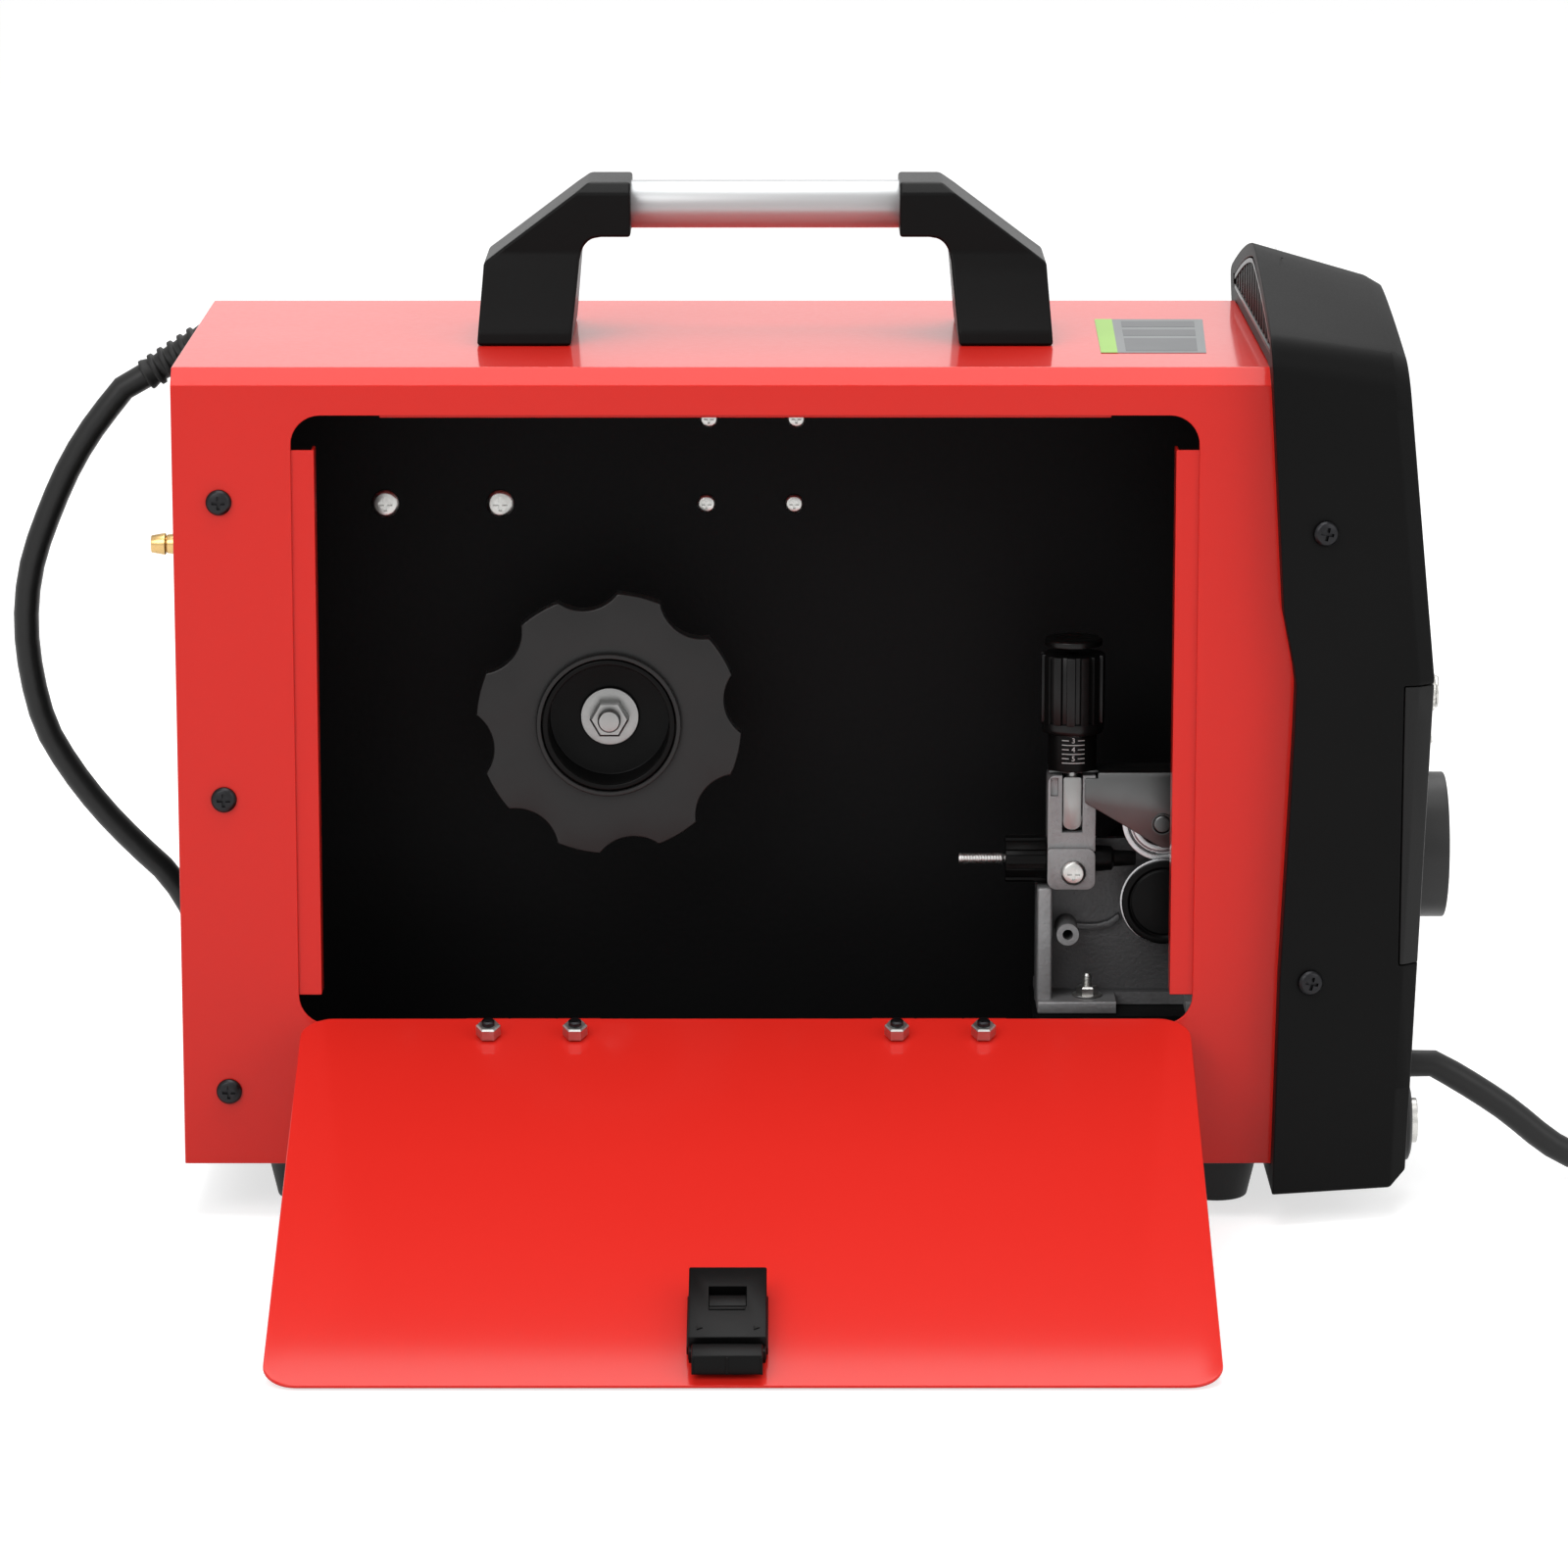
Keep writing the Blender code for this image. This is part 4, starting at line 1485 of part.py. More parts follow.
def make_tension_unit():
    half = LEVER_DEPTH / 2
    outline = arc((LEVER_Y, LEVER_PIVOT_Z), half, 180, 360, 8)
    outline += [(LEVER_Y + half, LEVER_SHOULDER), (LEVER_Y - half, LEVER_SHOULDER)]
    bolt = slab("swing_bolt", outline, LEVER_X, LEVER_WIDTH, "front", LEVER, ZINC)
    rod = rods("swing_rod", [((LEVER_X, LEVER_Y, LEVER_SHOULDER - 0.001),
                              (LEVER_X, LEVER_Y, TKNOB_TOP - 0.006))], LEVER_ROD_R, LEVER, sides=16)
    reach = LEVER_PIN_LENGTH / 2
    pin = rods("lever_pin", [((LEVER_X - reach, LEVER_Y, LEVER_PIVOT_Z),
                              (LEVER_X + reach, LEVER_Y, LEVER_PIVOT_Z))], LEVER_PIN_R, LEVER,
               sides=12)
    fuse(bolt, rod, pin)
    bore = LEVER_ROD_R + RUNNING
    low = ARM_TOP + GAP
    barrel = ((bore, BARREL_TOP), (BARREL_R - 0.0008, BARREL_TOP), (BARREL_R, BARREL_TOP - 0.0008),
              (BARREL_R, low), (bore, low))
    turned("tension_barrel", barrel, (LEVER_X, LEVER_Y, 0), "+Z", BARREL, BLACK_PLASTIC, steps=20,
           ring=True)
    outline = ribbed(TKNOB_R, TKNOB_RIB, TKNOB_RIBS, (LEVER_X, LEVER_Y))
    knob = slab("tension_knob", outline, (TKNOB_LOW + TKNOB_TOP) / 2, TKNOB_TOP - TKNOB_LOW,
                "top", TKNOB, BLACK_PLASTIC)
    cavity = rods("knob_cavity", [((LEVER_X, LEVER_Y, TKNOB_LOW - 0.005),
                                   (LEVER_X, LEVER_Y, TKNOB_TOP - TKNOB_ROOF))],
                  BARREL_R + RUNNING, TKNOB, sides=20)
    thread = rods("knob_thread", [((LEVER_X, LEVER_Y, TKNOB_TOP - TKNOB_ROOF - 0.001),
                                   (LEVER_X, LEVER_Y, TKNOB_TOP - 0.005))], bore, TKNOB, sides=10)
    cut(knob, cavity, thread)


def make_wire_guide():
    rear = CLAMP_REAR_X + GAP
    guide = ((GUIDE_BORE_R, GUIDE_NOSE_X), (GUIDE_NECK_R - 0.0004, GUIDE_NOSE_X),
             (GUIDE_NECK_R, GUIDE_SHOULDER_X + 0.0008), (GUIDE_R - 0.0004, GUIDE_SHOULDER_X),
             (GUIDE_R, CLAMP_FRONT_X + 0.001),
             (GUIDE_R, rear), (GUIDE_TUBE_R, rear), (GUIDE_TUBE_R, GUIDE_TUBE_X),
             (GUIDE_BORE_R, GUIDE_TUBE_X))
    turned("inlet_guide", guide, (0, FEED_Y, WIRE_Z), "+X", look=ZINC, steps=16, ring=True)
    front = CLAMP_REAR_X - GAP
    nut = slab("guide_nut", ribbed(GUIDE_NUT_R, 0.0008, 10, (FEED_Y, WIRE_Z)),
               (GUIDE_NUT_X + front) / 2, front - GUIDE_NUT_X, "front", look=BLACK_PLASTIC)
    cut(nut, rods("guide_nut_bore", [((GUIDE_NUT_X - 0.005, FEED_Y, WIRE_Z),
                                      (front + 0.005, FEED_Y, WIRE_Z))], GUIDE_TUBE_R + GAP,
                  sides=16))


make_feeder_plate(make_feeder_rack())
make_drive()
make_arm()
make_tension_unit()
make_wire_guide()


# ---------------------------------------------------------------- rear end
def make_relief():
    face = -(PANEL_BACK_X - GAP)
    rear = face + RELIEF_COLLAR
    collar = ((0, rear), (RELIEF_COLLAR_R - 0.001, rear), (RELIEF_COLLAR_R, rear - 0.001),
              (RELIEF_COLLAR_R, face), (RELIEF_STEM_R, face), (RELIEF_STEM_R, face - 0.008),
              (0, face - 0.008))
    relief = turned("strain_relief", collar, (0, RELIEF_Y, RELIEF_Z), "-X", look=RUBBER, steps=12)
    pitch = RELIEF_LENGTH / (RELIEF_RIBS + 1)
    boot = [(RELIEF_END_R, RELIEF_LENGTH)]
    for i in reversed(range(RELIEF_RIBS)):
        low = (i + 0.75) * pitch
        radius = RELIEF_END_R + (RELIEF_R - RELIEF_END_R) * (1 - low / RELIEF_LENGTH)
        boot += [(radius - RELIEF_RIB, low + 0.5 * pitch), (radius, low + 0.35 * pitch),
                 (radius, low)]
    boot = [(0, RELIEF_LENGTH)] + boot + [(RELIEF_R - RELIEF_RIB, -0.001), (0, -0.001)]
    start, lean = relief_start()
    fuse(relief, turned("relief_boot", boot, start, lean, steps=12))


def relief_start():
    """Where the boot leaves its collar, and its turned axis."""
    at = Vector((PANEL_BACK_X - GAP - RELIEF_COLLAR + 0.001, RELIEF_Y, RELIEF_Z))
    return at, Matrix.Rotation(-RELIEF_TILT, 3, "Y") @ AXES["-X"]


def make_gas_valve():
    face = -(PANEL_BACK_X - GAP)
    tip = -CASE_REAR + BARB_REACH
    neck, r, bore = BARB_NECK_R, BARB_R, BARB_BORE_R
    barb = ((0, tip - 0.012), (bore, tip - 0.012), (bore, tip), (r * 0.78, tip),
            (r, tip - 0.0055), (neck, tip - 0.006), (r * 0.85, tip - 0.0062), (r, tip - 0.0115),
            (neck, tip - 0.012), (neck, face + GAS_NUT + 0.0002), (GAS_NUT_R, face + GAS_NUT),
            (GAS_NUT_R, face), (GAS_STEM_R, face), (GAS_STEM_R, face - 0.0045),
            (0, face - 0.0045))
    valve = turned("gas_valve", barb, (0, GAS_Y, GAS_Z), "-X", look=BRASS, steps=12)
    deep, wide, high = VALVE_SIZE
    box = block("valve_body", (WALL_BACK_X, GAS_Y - wide / 2, GAS_Z - high / 2),
                (WALL_BACK_X + deep, GAS_Y + wide / 2, GAS_Z + high / 2))
    fuse(valve, box)


def make_switch():
    face = PANEL_BACK_X - GAP
    high, wide = (size / 2 for size in SWITCH_SIZE)
    switch = block("power_switch", (face - SWITCH_FLANGE, SWITCH_Y - wide, SWITCH_Z - high),
                   (face, SWITCH_Y + wide, SWITCH_Z + high), look=BLACK_PLASTIC)
    high, wide = (size / 2 for size in SWITCH_BODY)
    case = block("switch_case", (face - SWITCH_FLANGE / 2, SWITCH_Y - wide, SWITCH_Z - high),
                 (face + SWITCH_DEPTH, SWITCH_Y + wide, SWITCH_Z + high))
    high, wide = (size / 2 + 2 * RUNNING for size in ROCKER_SIZE)
    pocket = block("switch_pocket", (face - 0.01, SWITCH_Y - wide, SWITCH_Z - high),
                   (ROCKER["home"][0] + ROCKER_DEPTH, SWITCH_Y + wide, SWITCH_Z + high))
    fuse(switch, case)
    cut(switch, pocket)
    half, x, z = ROCKER_SIZE[0] / 2 - 0.0006, ROCKER["home"][0], SWITCH_Z
    tip, dip = x - ROCKER_DEPTH - 0.0012, x - ROCKER_DEPTH + 0.0008
    outline = ((tip, z + half), (dip, z), (tip, z - half), (x - 0.001, z - half),
               (x + 0.0035, z - 0.004), (x + 0.0035, z + 0.004), (x - 0.001, z + half))
    turn = Matrix.Rotation(ROCKER_TILT, 2)
    outline = [tuple(turn @ Vector((u - x, v - z)) + Vector((x, z))) for u, v in outline]
    slab("power_rocker", outline, SWITCH_Y, ROCKER_SIZE[1], "side", ROCKER, BLACK_PLASTIC)


def make_fan():
    x0, x1 = WALL_BACK_X, WALL_BACK_X + FAN_DEPTH
    half = FAN_SIZE / 2
    frame = block("fan_frame", (x0, FAN_Y - half, FAN_Z - half), (x1, FAN_Y + half, FAN_Z + half),
                  look=BLACK_PLASTIC)
    cut(frame, rods("fan_bore", [((x0 - 0.01, FAN_Y, FAN_Z), (x1 + 0.01, FAN_Y, FAN_Z))],
                    FAN_BORE_R, sides=32))
    arm, thick = 0.0025, 0.003
    across = block("fan_arm_across", (x1 - thick, FAN_Y - half + 0.001, FAN_Z - arm),
                   (x1 - 0.0002, FAN_Y + half - 0.001, FAN_Z + arm))
    upright = block("fan_arm_upright", (x1 - thick + 0.0001, FAN_Y - arm, FAN_Z - half + 0.001),
                    (x1 - 0.0003, FAN_Y + arm, FAN_Z + half - 0.001))
    disc = rods("fan_disc", [((x1 - thick - 0.0003, FAN_Y, FAN_Z), (x1 - 0.0001, FAN_Y, FAN_Z))],
                FAN_HUB_R * 0.8)
    shaft = rods("fan_shaft", [((x1 - thick - 0.012, FAN_Y, FAN_Z), (x1 - 0.001, FAN_Y, FAN_Z))],
                 FAN_SHAFT_R, sides=12)
    fuse(frame, across, upright, disc, shaft)

    near, far = x0 + 0.003, x1 - thick - 0.0003 - GAP
    bore = FAN_SHAFT_R + RUNNING
    hub = ((0, near), (FAN_HUB_R - 0.001, near), (FAN_HUB_R, near + 0.001), (FAN_HUB_R, far),
           (bore, far), (bore, far - 0.0125), (0, far - 0.0125))
    hub = tuple((r, -x) for r, x in hub)
    rotor = turned("fan_rotor", hub, (0, FAN_Y, FAN_Z), "-X", FAN, BLACK_PLASTIC, steps=16)
    shape = bmesh.new()
    root = FAN_HUB_R - 0.0015
    for i in range(FAN_BLADES):
        blade = bmesh.ops.create_cube(shape, size=1.0)["verts"]
        bmesh.ops.scale(shape, vec=(far - near - 0.004, 0.0016, FAN_BLADE_R - root), verts=blade)
        bmesh.ops.rotate(shape, matrix=Matrix.Rotation(math.radians(38), 3, "Z"), verts=blade)
        bmesh.ops.translate(shape, vec=(0, 0, (FAN_BLADE_R + root) / 2), verts=blade)
        bmesh.ops.rotate(shape, matrix=Matrix.Rotation(2 * math.pi * i / FAN_BLADES, 3, "X"),
                         verts=blade)
    fuse(rotor, place(mesh_object("fan_blades", shape), ((near + far) / 2, FAN_Y, FAN_Z), FAN))


make_relief()
make_gas_valve()
make_switch()
make_fan()


# ---------------------------------------------------------------- electronics
def make_electronics():
    low, top = FLOOR_TOP + GAP, FLOOR_TOP + GAP + SINK_HEIGHT
    root = top - SINK_PLATE
    pitch = (SINK_FAR_Y - SINK_NEAR_Y - SINK_FIN) / (SINK_FINS - 1)
    outline = [(SINK_NEAR_Y, top)]
    for i in range(SINK_FINS):
        y = SINK_NEAR_Y + i * pitch
        outline += [(y, root), (y, low), (y + SINK_FIN, low), (y + SINK_FIN, root)]
    outline = [p for i, p in enumerate(outline) if i not in (1, len(outline) - 1)]
    outline.append((SINK_FAR_Y, top))
    slab("heat_sink", outline, (SINK_REAR_X + SINK_FRONT_X) / 2, SINK_FRONT_X - SINK_REAR_X,
         "front", look=ALUMINIUM)
    under = top + GAP
    face = under + BOARD_THICK
    board = block("inverter_board", (BOARD_REAR_X, SINK_NEAR_Y, under),
                  (BOARD_FRONT_X, SINK_FAR_Y + 0.003, face), look=BOARD_GREEN)
    middle = (SINK_NEAR_Y + SINK_FAR_Y) / 2
    long, wide, high = CORE_SIZE
    core = block("transformer_core", (CORE_X - long / 2, middle - wide / 2, face - 0.0002),
                 (CORE_X + long / 2, middle + wide / 2, face + high))
    cans = rods("capacitors", [((x, middle, face - 0.0002), (x, middle, face + CAPACITOR_HEIGHT))
                               for x in CAPACITOR_XS], CAPACITOR_R, sides=20)
    fuse(board, core, cans)


make_electronics()


# ---------------------------------------------------------------- cords
def cord_points():
    """Mains cord from its strain relief down to the coil, straight at both ends."""
    start, lean = relief_start()
    heading = lean @ Vector((0, 0, 1))
    exit_point = start + heading * (RELIEF_LENGTH + GAP)
    last = Vector((COIL_X - COIL_LEAD_IN - GAP, COIL_Y - COIL_OUTER_R, CORD_Z))
    straight = Vector((2 * CORD_R, 0, 0))
    middle = smooth_route([exit_point + heading * 2 * CORD_R, *CORD_ROUTE, last - straight],
                          5 * CORD_R)
    return [exit_point] + middle + [last]


def coil_points():
    """Two layers of turns: in along the floor, up a layer where the spiral turns back, and out."""
    points = [Vector((COIL_X - COIL_LEAD_IN, COIL_Y - COIL_OUTER_R, CORD_Z))]
    total = COIL_TURNS * LOOP_POINTS
    half = COIL_TURNS / 2
    for i in range(total + 1):
        turns = i / LOOP_POINTS
        radius = COIL_OUTER_R - COIL_PITCH * (half - abs(turns - half))
        climb = min(1, max(0, (turns - half) * 2 + 0.5))
        climb = climb * climb * (3 - 2 * climb)
        a = 2 * math.pi * turns - math.pi / 2
        points.append(Vector((COIL_X + radius * math.cos(a), COIL_Y + radius * math.sin(a),
                              CORD_Z + COIL_LIFT * climb)))
    top = points[-1]
    for share, rise in ((0.35, 0.12), (0.6, 0.62), (0.82, 1.0), (1.0, 1.0)):
        points.append(Vector((COIL_X + COIL_TAIL * share, top.y,
                              top.z + (PLUG_Z - top.z) * rise)))
    return points


def least_gap(points, radius):
    """Least room between stretches of a cord that lie at least three diameters apart along it."""
    path = np.array([tuple(p) for p in points])
    reach = np.concatenate(([0], np.cumsum(np.linalg.norm(np.diff(path, axis=0), axis=1))))
    fine = np.linspace(0, reach[-1], 1600)
    dense = np.stack([np.interp(fine, reach, path[:, k]) for k in range(3)], axis=1)
    apart = np.linalg.norm(dense[:, None] - dense[None], axis=2)
    apart[np.abs(fine[:, None] - fine[None]) < 6 * radius] = np.inf
    return apart.min() - 2 * radius


def make_mains_cord():
    route = cord_points()
    tube("power_cord", route, CORD_R, MACHINE, RUBBER, 3)
    coil = coil_points()
    tube("cord_coil", coil, CORD_R, MACHINE, RUBBER, 1)
    print(f"mains cord: {length_of(route):.3f} m free, {length_of(coil):.3f} m coiled, "
          f"least gap in the coil {least_gap(coil, CORD_R) * 1000:.2f} mm")
    start = COIL_X + COIL_TAIL + GAP
    body_start = start + PLUG_NECK
    face = body_start + PLUG_LENGTH
    profile = ((0, face), (PLUG_R - 0.002, face), (PLUG_R, face - 0.0015),
               (PLUG_R, face - 0.022), (PLUG_R * 0.86, face - 0.034),
               (PLUG_R * 0.7, body_start + 0.003), (PLUG_NECK_R, body_start),
               (CORD_R * 1.2, start), (0, start))
    y = COIL_Y - COIL_OUTER_R
    plug = turned("mains_plug", profile, (0, y, PLUG_Z), "+X", look=RUBBER, steps=16)
    pins = [((face - 0.002, y + s * PIN_SPACING / 2, PLUG_Z),
             (face + PIN_LENGTH, y + s * PIN_SPACING / 2, PLUG_Z)) for s in (-1, 1)]
    fuse(plug, rods("plug_pins", pins, PIN_R, sides=12))


def make_lead():
    exit_point = Vector((face_x(LEAD_Z) + 2 * RUNNING + GROMMET_LIP + GAP, LEAD_Y, LEAD_Z))
    last = Vector((LEAD_END_X, LEAD_END_Y, LEAD_PLUG_Z))
    out, along = Vector((2 * LEAD_R, 0, 0)), Vector((0, 2 * LEAD_R, 0))
    middle = smooth_route([exit_point + out, *LEAD_ROUTE, last - along], 5 * LEAD_R)
    route = [exit_point] + middle + [last]
    tube("polarity_lead", route, LEAD_R, MACHINE, RUBBER, 3)
    print(f"polarity lead: {length_of(route):.3f} m")
    start = LEAD_END_Y + GAP
    end = start + LEAD_PLUG_SLEEVE
    profile = ((0, end + LEAD_PLUG_PIN), (LEAD_PLUG_PIN_R - 0.0005, end + LEAD_PLUG_PIN),
               (LEAD_PLUG_PIN_R, end + LEAD_PLUG_PIN - 0.0005), (LEAD_PLUG_PIN_R, end),
               (LEAD_PLUG_R - 0.002, end), (LEAD_PLUG_R, end - 0.002),
               (LEAD_PLUG_R, end - 0.022), (LEAD_PLUG_R * 0.86, end - 0.027),
               (LEAD_R * 1.3, start + 0.002), (LEAD_R * 1.2, start), (0, start))
    turned("polarity_plug", profile, (LEAD_END_X, 0, LEAD_PLUG_Z), "+Y", look=RUBBER, steps=16)


make_mains_cord()
make_lead()
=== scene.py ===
import math

import bmesh
import bpy
import numpy as np
from mathutils import Matrix, Vector


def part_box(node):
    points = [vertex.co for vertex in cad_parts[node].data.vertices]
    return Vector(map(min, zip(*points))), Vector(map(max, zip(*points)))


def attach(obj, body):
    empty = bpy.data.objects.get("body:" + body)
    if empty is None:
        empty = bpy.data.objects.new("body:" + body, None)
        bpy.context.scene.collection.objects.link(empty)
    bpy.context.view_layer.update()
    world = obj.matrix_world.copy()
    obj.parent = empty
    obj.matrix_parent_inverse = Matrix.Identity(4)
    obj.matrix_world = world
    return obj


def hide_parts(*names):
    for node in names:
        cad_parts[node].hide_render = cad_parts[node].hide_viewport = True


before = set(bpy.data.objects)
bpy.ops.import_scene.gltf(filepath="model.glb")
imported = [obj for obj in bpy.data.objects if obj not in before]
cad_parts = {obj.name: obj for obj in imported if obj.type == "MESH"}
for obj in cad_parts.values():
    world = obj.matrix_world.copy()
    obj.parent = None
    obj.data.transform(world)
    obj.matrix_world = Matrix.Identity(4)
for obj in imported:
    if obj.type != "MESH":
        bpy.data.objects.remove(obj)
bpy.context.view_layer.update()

# ---------------------------------------------------------------- place in the frame
# The machine's own coordinates have the floor at z = 0 and the case centre line at y = 0.
# The handle tube's middle gives where they sit in the frame.  Metres throughout.
HANDLE_MIDDLE_X = -0.0134
tube_low, tube_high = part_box("handle_tube")
MACHINE = (tube_low + tube_high) / 2
MACHINE = Vector((MACHINE.x - HANDLE_MIDDLE_X, MACHINE.y, 0.0))

# ---------------------------------------------------------------- camera
# A long lens that looks down on the door side from far off.
CAMERA_AT = Vector((-0.0083, -2.4184, 0.6532))
CAMERA_DOWN = math.radians(11.862)
CAMERA_TURN = math.radians(0.047)
eye = bpy.data.cameras.new("camera")
eye.sensor_width = 36.0
eye.lens = 147.6
eye.clip_start, eye.clip_end = 0.1, 60.0
camera = bpy.data.objects.new("camera", eye)
camera.location = MACHINE + CAMERA_AT
camera.rotation_euler = (math.pi / 2 - CAMERA_DOWN, 0.0, -CAMERA_TURN)
bpy.context.scene.collection.objects.link(camera)
bpy.context.scene.camera = camera
bpy.context.scene.view_settings.view_transform = "Standard"


# ---------------------------------------------------------------- writing finishes
# A finish is a Principled material whose nodes are written as sums on wires.
class Wire:
    """A node's output socket with the arithmetic that the finishes use."""

    def __init__(self, finish, socket):
        self.finish, self.socket = finish, socket

    def sum(self, operation, a, b):
        return self.finish.node("ShaderNodeMath", {"operation": operation}, {0: a, 1: b})

    def __add__(self, other):
        return self.sum("ADD", self, other)

    def __sub__(self, other):
        return self.sum("SUBTRACT", self, other)

    def __rsub__(self, other):
        return self.sum("SUBTRACT", other, self)

    def __mul__(self, other):
        return self.sum("MULTIPLY", self, other)

    def __pow__(self, other):
        return self.sum("POWER", self, other)

    __radd__, __rmul__ = __add__, __mul__


class Finish:
    """A named material: node() adds one node, set() gives the shader its values and wires."""

    def __init__(self, name):
        self.material = bpy.data.materials.new(name)
        self.material.use_nodes = True
        self.nodes = self.material.node_tree.nodes
        self.shader = self.nodes["Principled BSDF"]

    def plug(self, socket, value):
        if isinstance(value, Wire):
            self.material.node_tree.links.new(value.socket, socket)
        elif isinstance(value, tuple) and socket.type == "RGBA":
            socket.default_value = (*value, 1.0)
        else:
            socket.default_value = value

    def node(self, kind, settings=None, inputs=None, out=0):
        made = self.nodes.new(kind)
        for name, value in (settings or {}).items():
            if name == "stops":
                ramp = made.color_ramp.elements
                while len(ramp) < len(value):
                    ramp.new(0.5)
                for stop, (place, tone) in zip(ramp, value):
                    stop.position, stop.color = place, (tone, tone, tone, 1.0)
            else:
                setattr(made, name, value)
        for key, value in (inputs or {}).items():
            self.plug(made.inputs[key], value)
        return Wire(self, made.outputs[out])

    def place(self, scale=(1.0, 1.0, 1.0), turn=(0.0, 0.0, 0.0)):
        """Object coordinates, stretched and turned."""
        at = self.node("ShaderNodeTexCoord", out="Object")
        return self.node("ShaderNodeMapping", None, {"Vector": at, "Scale": scale,
                                                     "Rotation": turn})

    def noise(self, scale, detail=2.0, at=None):
        return self.node("ShaderNodeTexNoise", None,
                         {"Vector": at or self.place(), "Scale": scale, "Detail": detail})

    def ramp(self, value, *stops):
        return self.node("ShaderNodeValToRGB", {"stops": stops}, {"Fac": value})

    def mix(self, share, a, b):
        return self.node("ShaderNodeMix", {"data_type": "RGBA"}, {0: share, 6: a, 7: b}, out=2)

    def bump(self, height, strength, distance, below=None):
        inputs = {"Height": height, "Strength": strength, "Distance": distance}
        if below:
            inputs["Normal"] = below
        return self.node("ShaderNodeBump", None, inputs)

    def set(self, **values):
        for name, value in values.items():
            self.plug(self.shader.inputs[name.replace("_", " ")], value)
        return self.material


# ---------------------------------------------------------------- floor and light
# A plain pale floor that runs off as a white ground, and four soft round lamps: a key from
# the camera's left, a fill, one straight above and one behind.
GROUND = 12.0
GROUND_GLOW = 0.68
LAMPS = (("key", (-1.3, -2.2, 2.0), 2.0, 38.0), ("fill", (2.2, -1.6, 1.5), 2.0, 18.0),
         ("top", (0.0, -0.1, 2.4), 1.7, 30.0), ("back", (0.2, 1.5, 2.4), 1.8, 24.0))
seen = Finish("pale_ground")
rays = seen.node("ShaderNodeLightPath", out="Is Camera Ray")
for other in ("Is Glossy Ray", "Is Transmission Ray"):
    rays = rays.sum("MAXIMUM", rays, seen.node("ShaderNodeLightPath", out=other))
speck = seen.noise(3.0)
pale = seen.mix(speck, (0.54, 0.54, 0.54), (0.57, 0.57, 0.57))
glow = seen.mix(rays, (0.0, 0.0, 0.0), (GROUND_GLOW, GROUND_GLOW, GROUND_GLOW))
seen.set(Base_Color=seen.mix(rays, (0.60, 0.60, 0.60), pale), Roughness=0.85,
         Specular_IOR_Level=0.1, Emission_Color=glow, Emission_Strength=1.0)
ground = bmesh.new()
bmesh.ops.create_grid(ground, x_segments=4, y_segments=4, size=GROUND)
ground_mesh = bpy.data.meshes.new("ground")
ground.to_mesh(ground_mesh)
ground.free()
ground_mesh.materials.append(seen.material)
floor = bpy.data.objects.new("ground", ground_mesh)
bpy.context.scene.collection.objects.link(floor)

for lamp_name, lamp_at, lamp_size, lamp_power in LAMPS:
    lamp = bpy.data.lights.new(lamp_name, "AREA")
    lamp.shape, lamp.size, lamp.energy = "DISK", lamp_size, lamp_power
    holder = bpy.data.objects.new(lamp_name, lamp)
    holder.location = lamp_at
    holder.rotation_euler = (Vector((0, 0, 0.15)) - Vector(lamp_at)).to_track_quat(
        "-Z", "Y").to_euler()
    bpy.context.scene.collection.objects.link(holder)

world = bpy.data.worlds.new("studio")
world.use_nodes = True
bpy.context.scene.world = world
sky = world.node_tree
backdrop = sky.nodes["Background"]
path = sky.nodes.new("ShaderNodeLightPath")
white = sky.nodes.new("ShaderNodeBackground")
white.inputs["Color"].default_value = (0.95, 0.95, 0.95, 1.0)
backdrop.inputs["Color"].default_value = (0.50, 0.50, 0.50, 1.0)
either = path.outputs["Is Camera Ray"]
for other in ("Is Glossy Ray", "Is Transmission Ray"):
    most = sky.nodes.new("ShaderNodeMath")
    most.operation = "MAXIMUM"
    sky.links.new(either, most.inputs[0])
    sky.links.new(path.outputs[other], most.inputs[1])
    either = most.outputs[0]
blend = sky.nodes.new("ShaderNodeMixShader")
sky.links.new(either, blend.inputs["Fac"])
sky.links.new(backdrop.outputs[0], blend.inputs[1])
sky.links.new(white.outputs[0], blend.inputs[2])
sky.links.new(blend.outputs[0], sky.nodes["World Output"].inputs["Surface"])


# ---------------------------------------------------------------- mains cord
# Black rubber-sheathed cord: out of its strain relief, down behind the case, along the floor
# and into a flat coil that ends in a round two-pin plug.
CORD_R = 0.005
CORD_Z = 0.0053
COIL_AT = Vector((-0.150, 0.190, 0.0))
COIL_OUTER_R = 0.0643
COIL_TURNS = 4
COIL_PITCH = 0.0106
COIL_LIFT = 0.0106
COIL_LEAD_IN = 0.010
COIL_TAIL = 0.062
TURN_POINTS = 48
PLUG_R = 0.0190
PLUG_Z = 0.0193
PLUG_NECK = 0.016
PLUG_LENGTH = 0.046
GAP = 0.0003
RELIEF_AT = Vector((-0.2318, 0.078, 0.3065))
RELIEF_TILT = math.radians(30)
RELIEF_LENGTH = 0.028
CORD_ROUTE = (
    (-0.2769, 0.0780, 0.2723), (-0.2870, 0.0780, 0.2560), (-0.2960, 0.0780, 0.2360),
    (-0.3025, 0.0780, 0.2170), (-0.3052, 0.0780, 0.1970), (-0.3040, 0.0780, 0.1760),
    (-0.2986, 0.0780, 0.1529), (-0.2885, 0.0785, 0.1345), (-0.2769, 0.0790, 0.1188),
    (-0.2640, 0.0800, 0.1045), (-0.2515, 0.0820, 0.0915), (-0.2420, 0.0850, 0.0745),
    (-0.2385, 0.0890, 0.0520), (-0.2370, 0.0950, 0.0305), (-0.2330, 0.1050, 0.0150),
    (-0.2240, 0.1160, 0.0080), (-0.2080, 0.1235, CORD_Z), (-0.1880, 0.1257, CORD_Z),
)


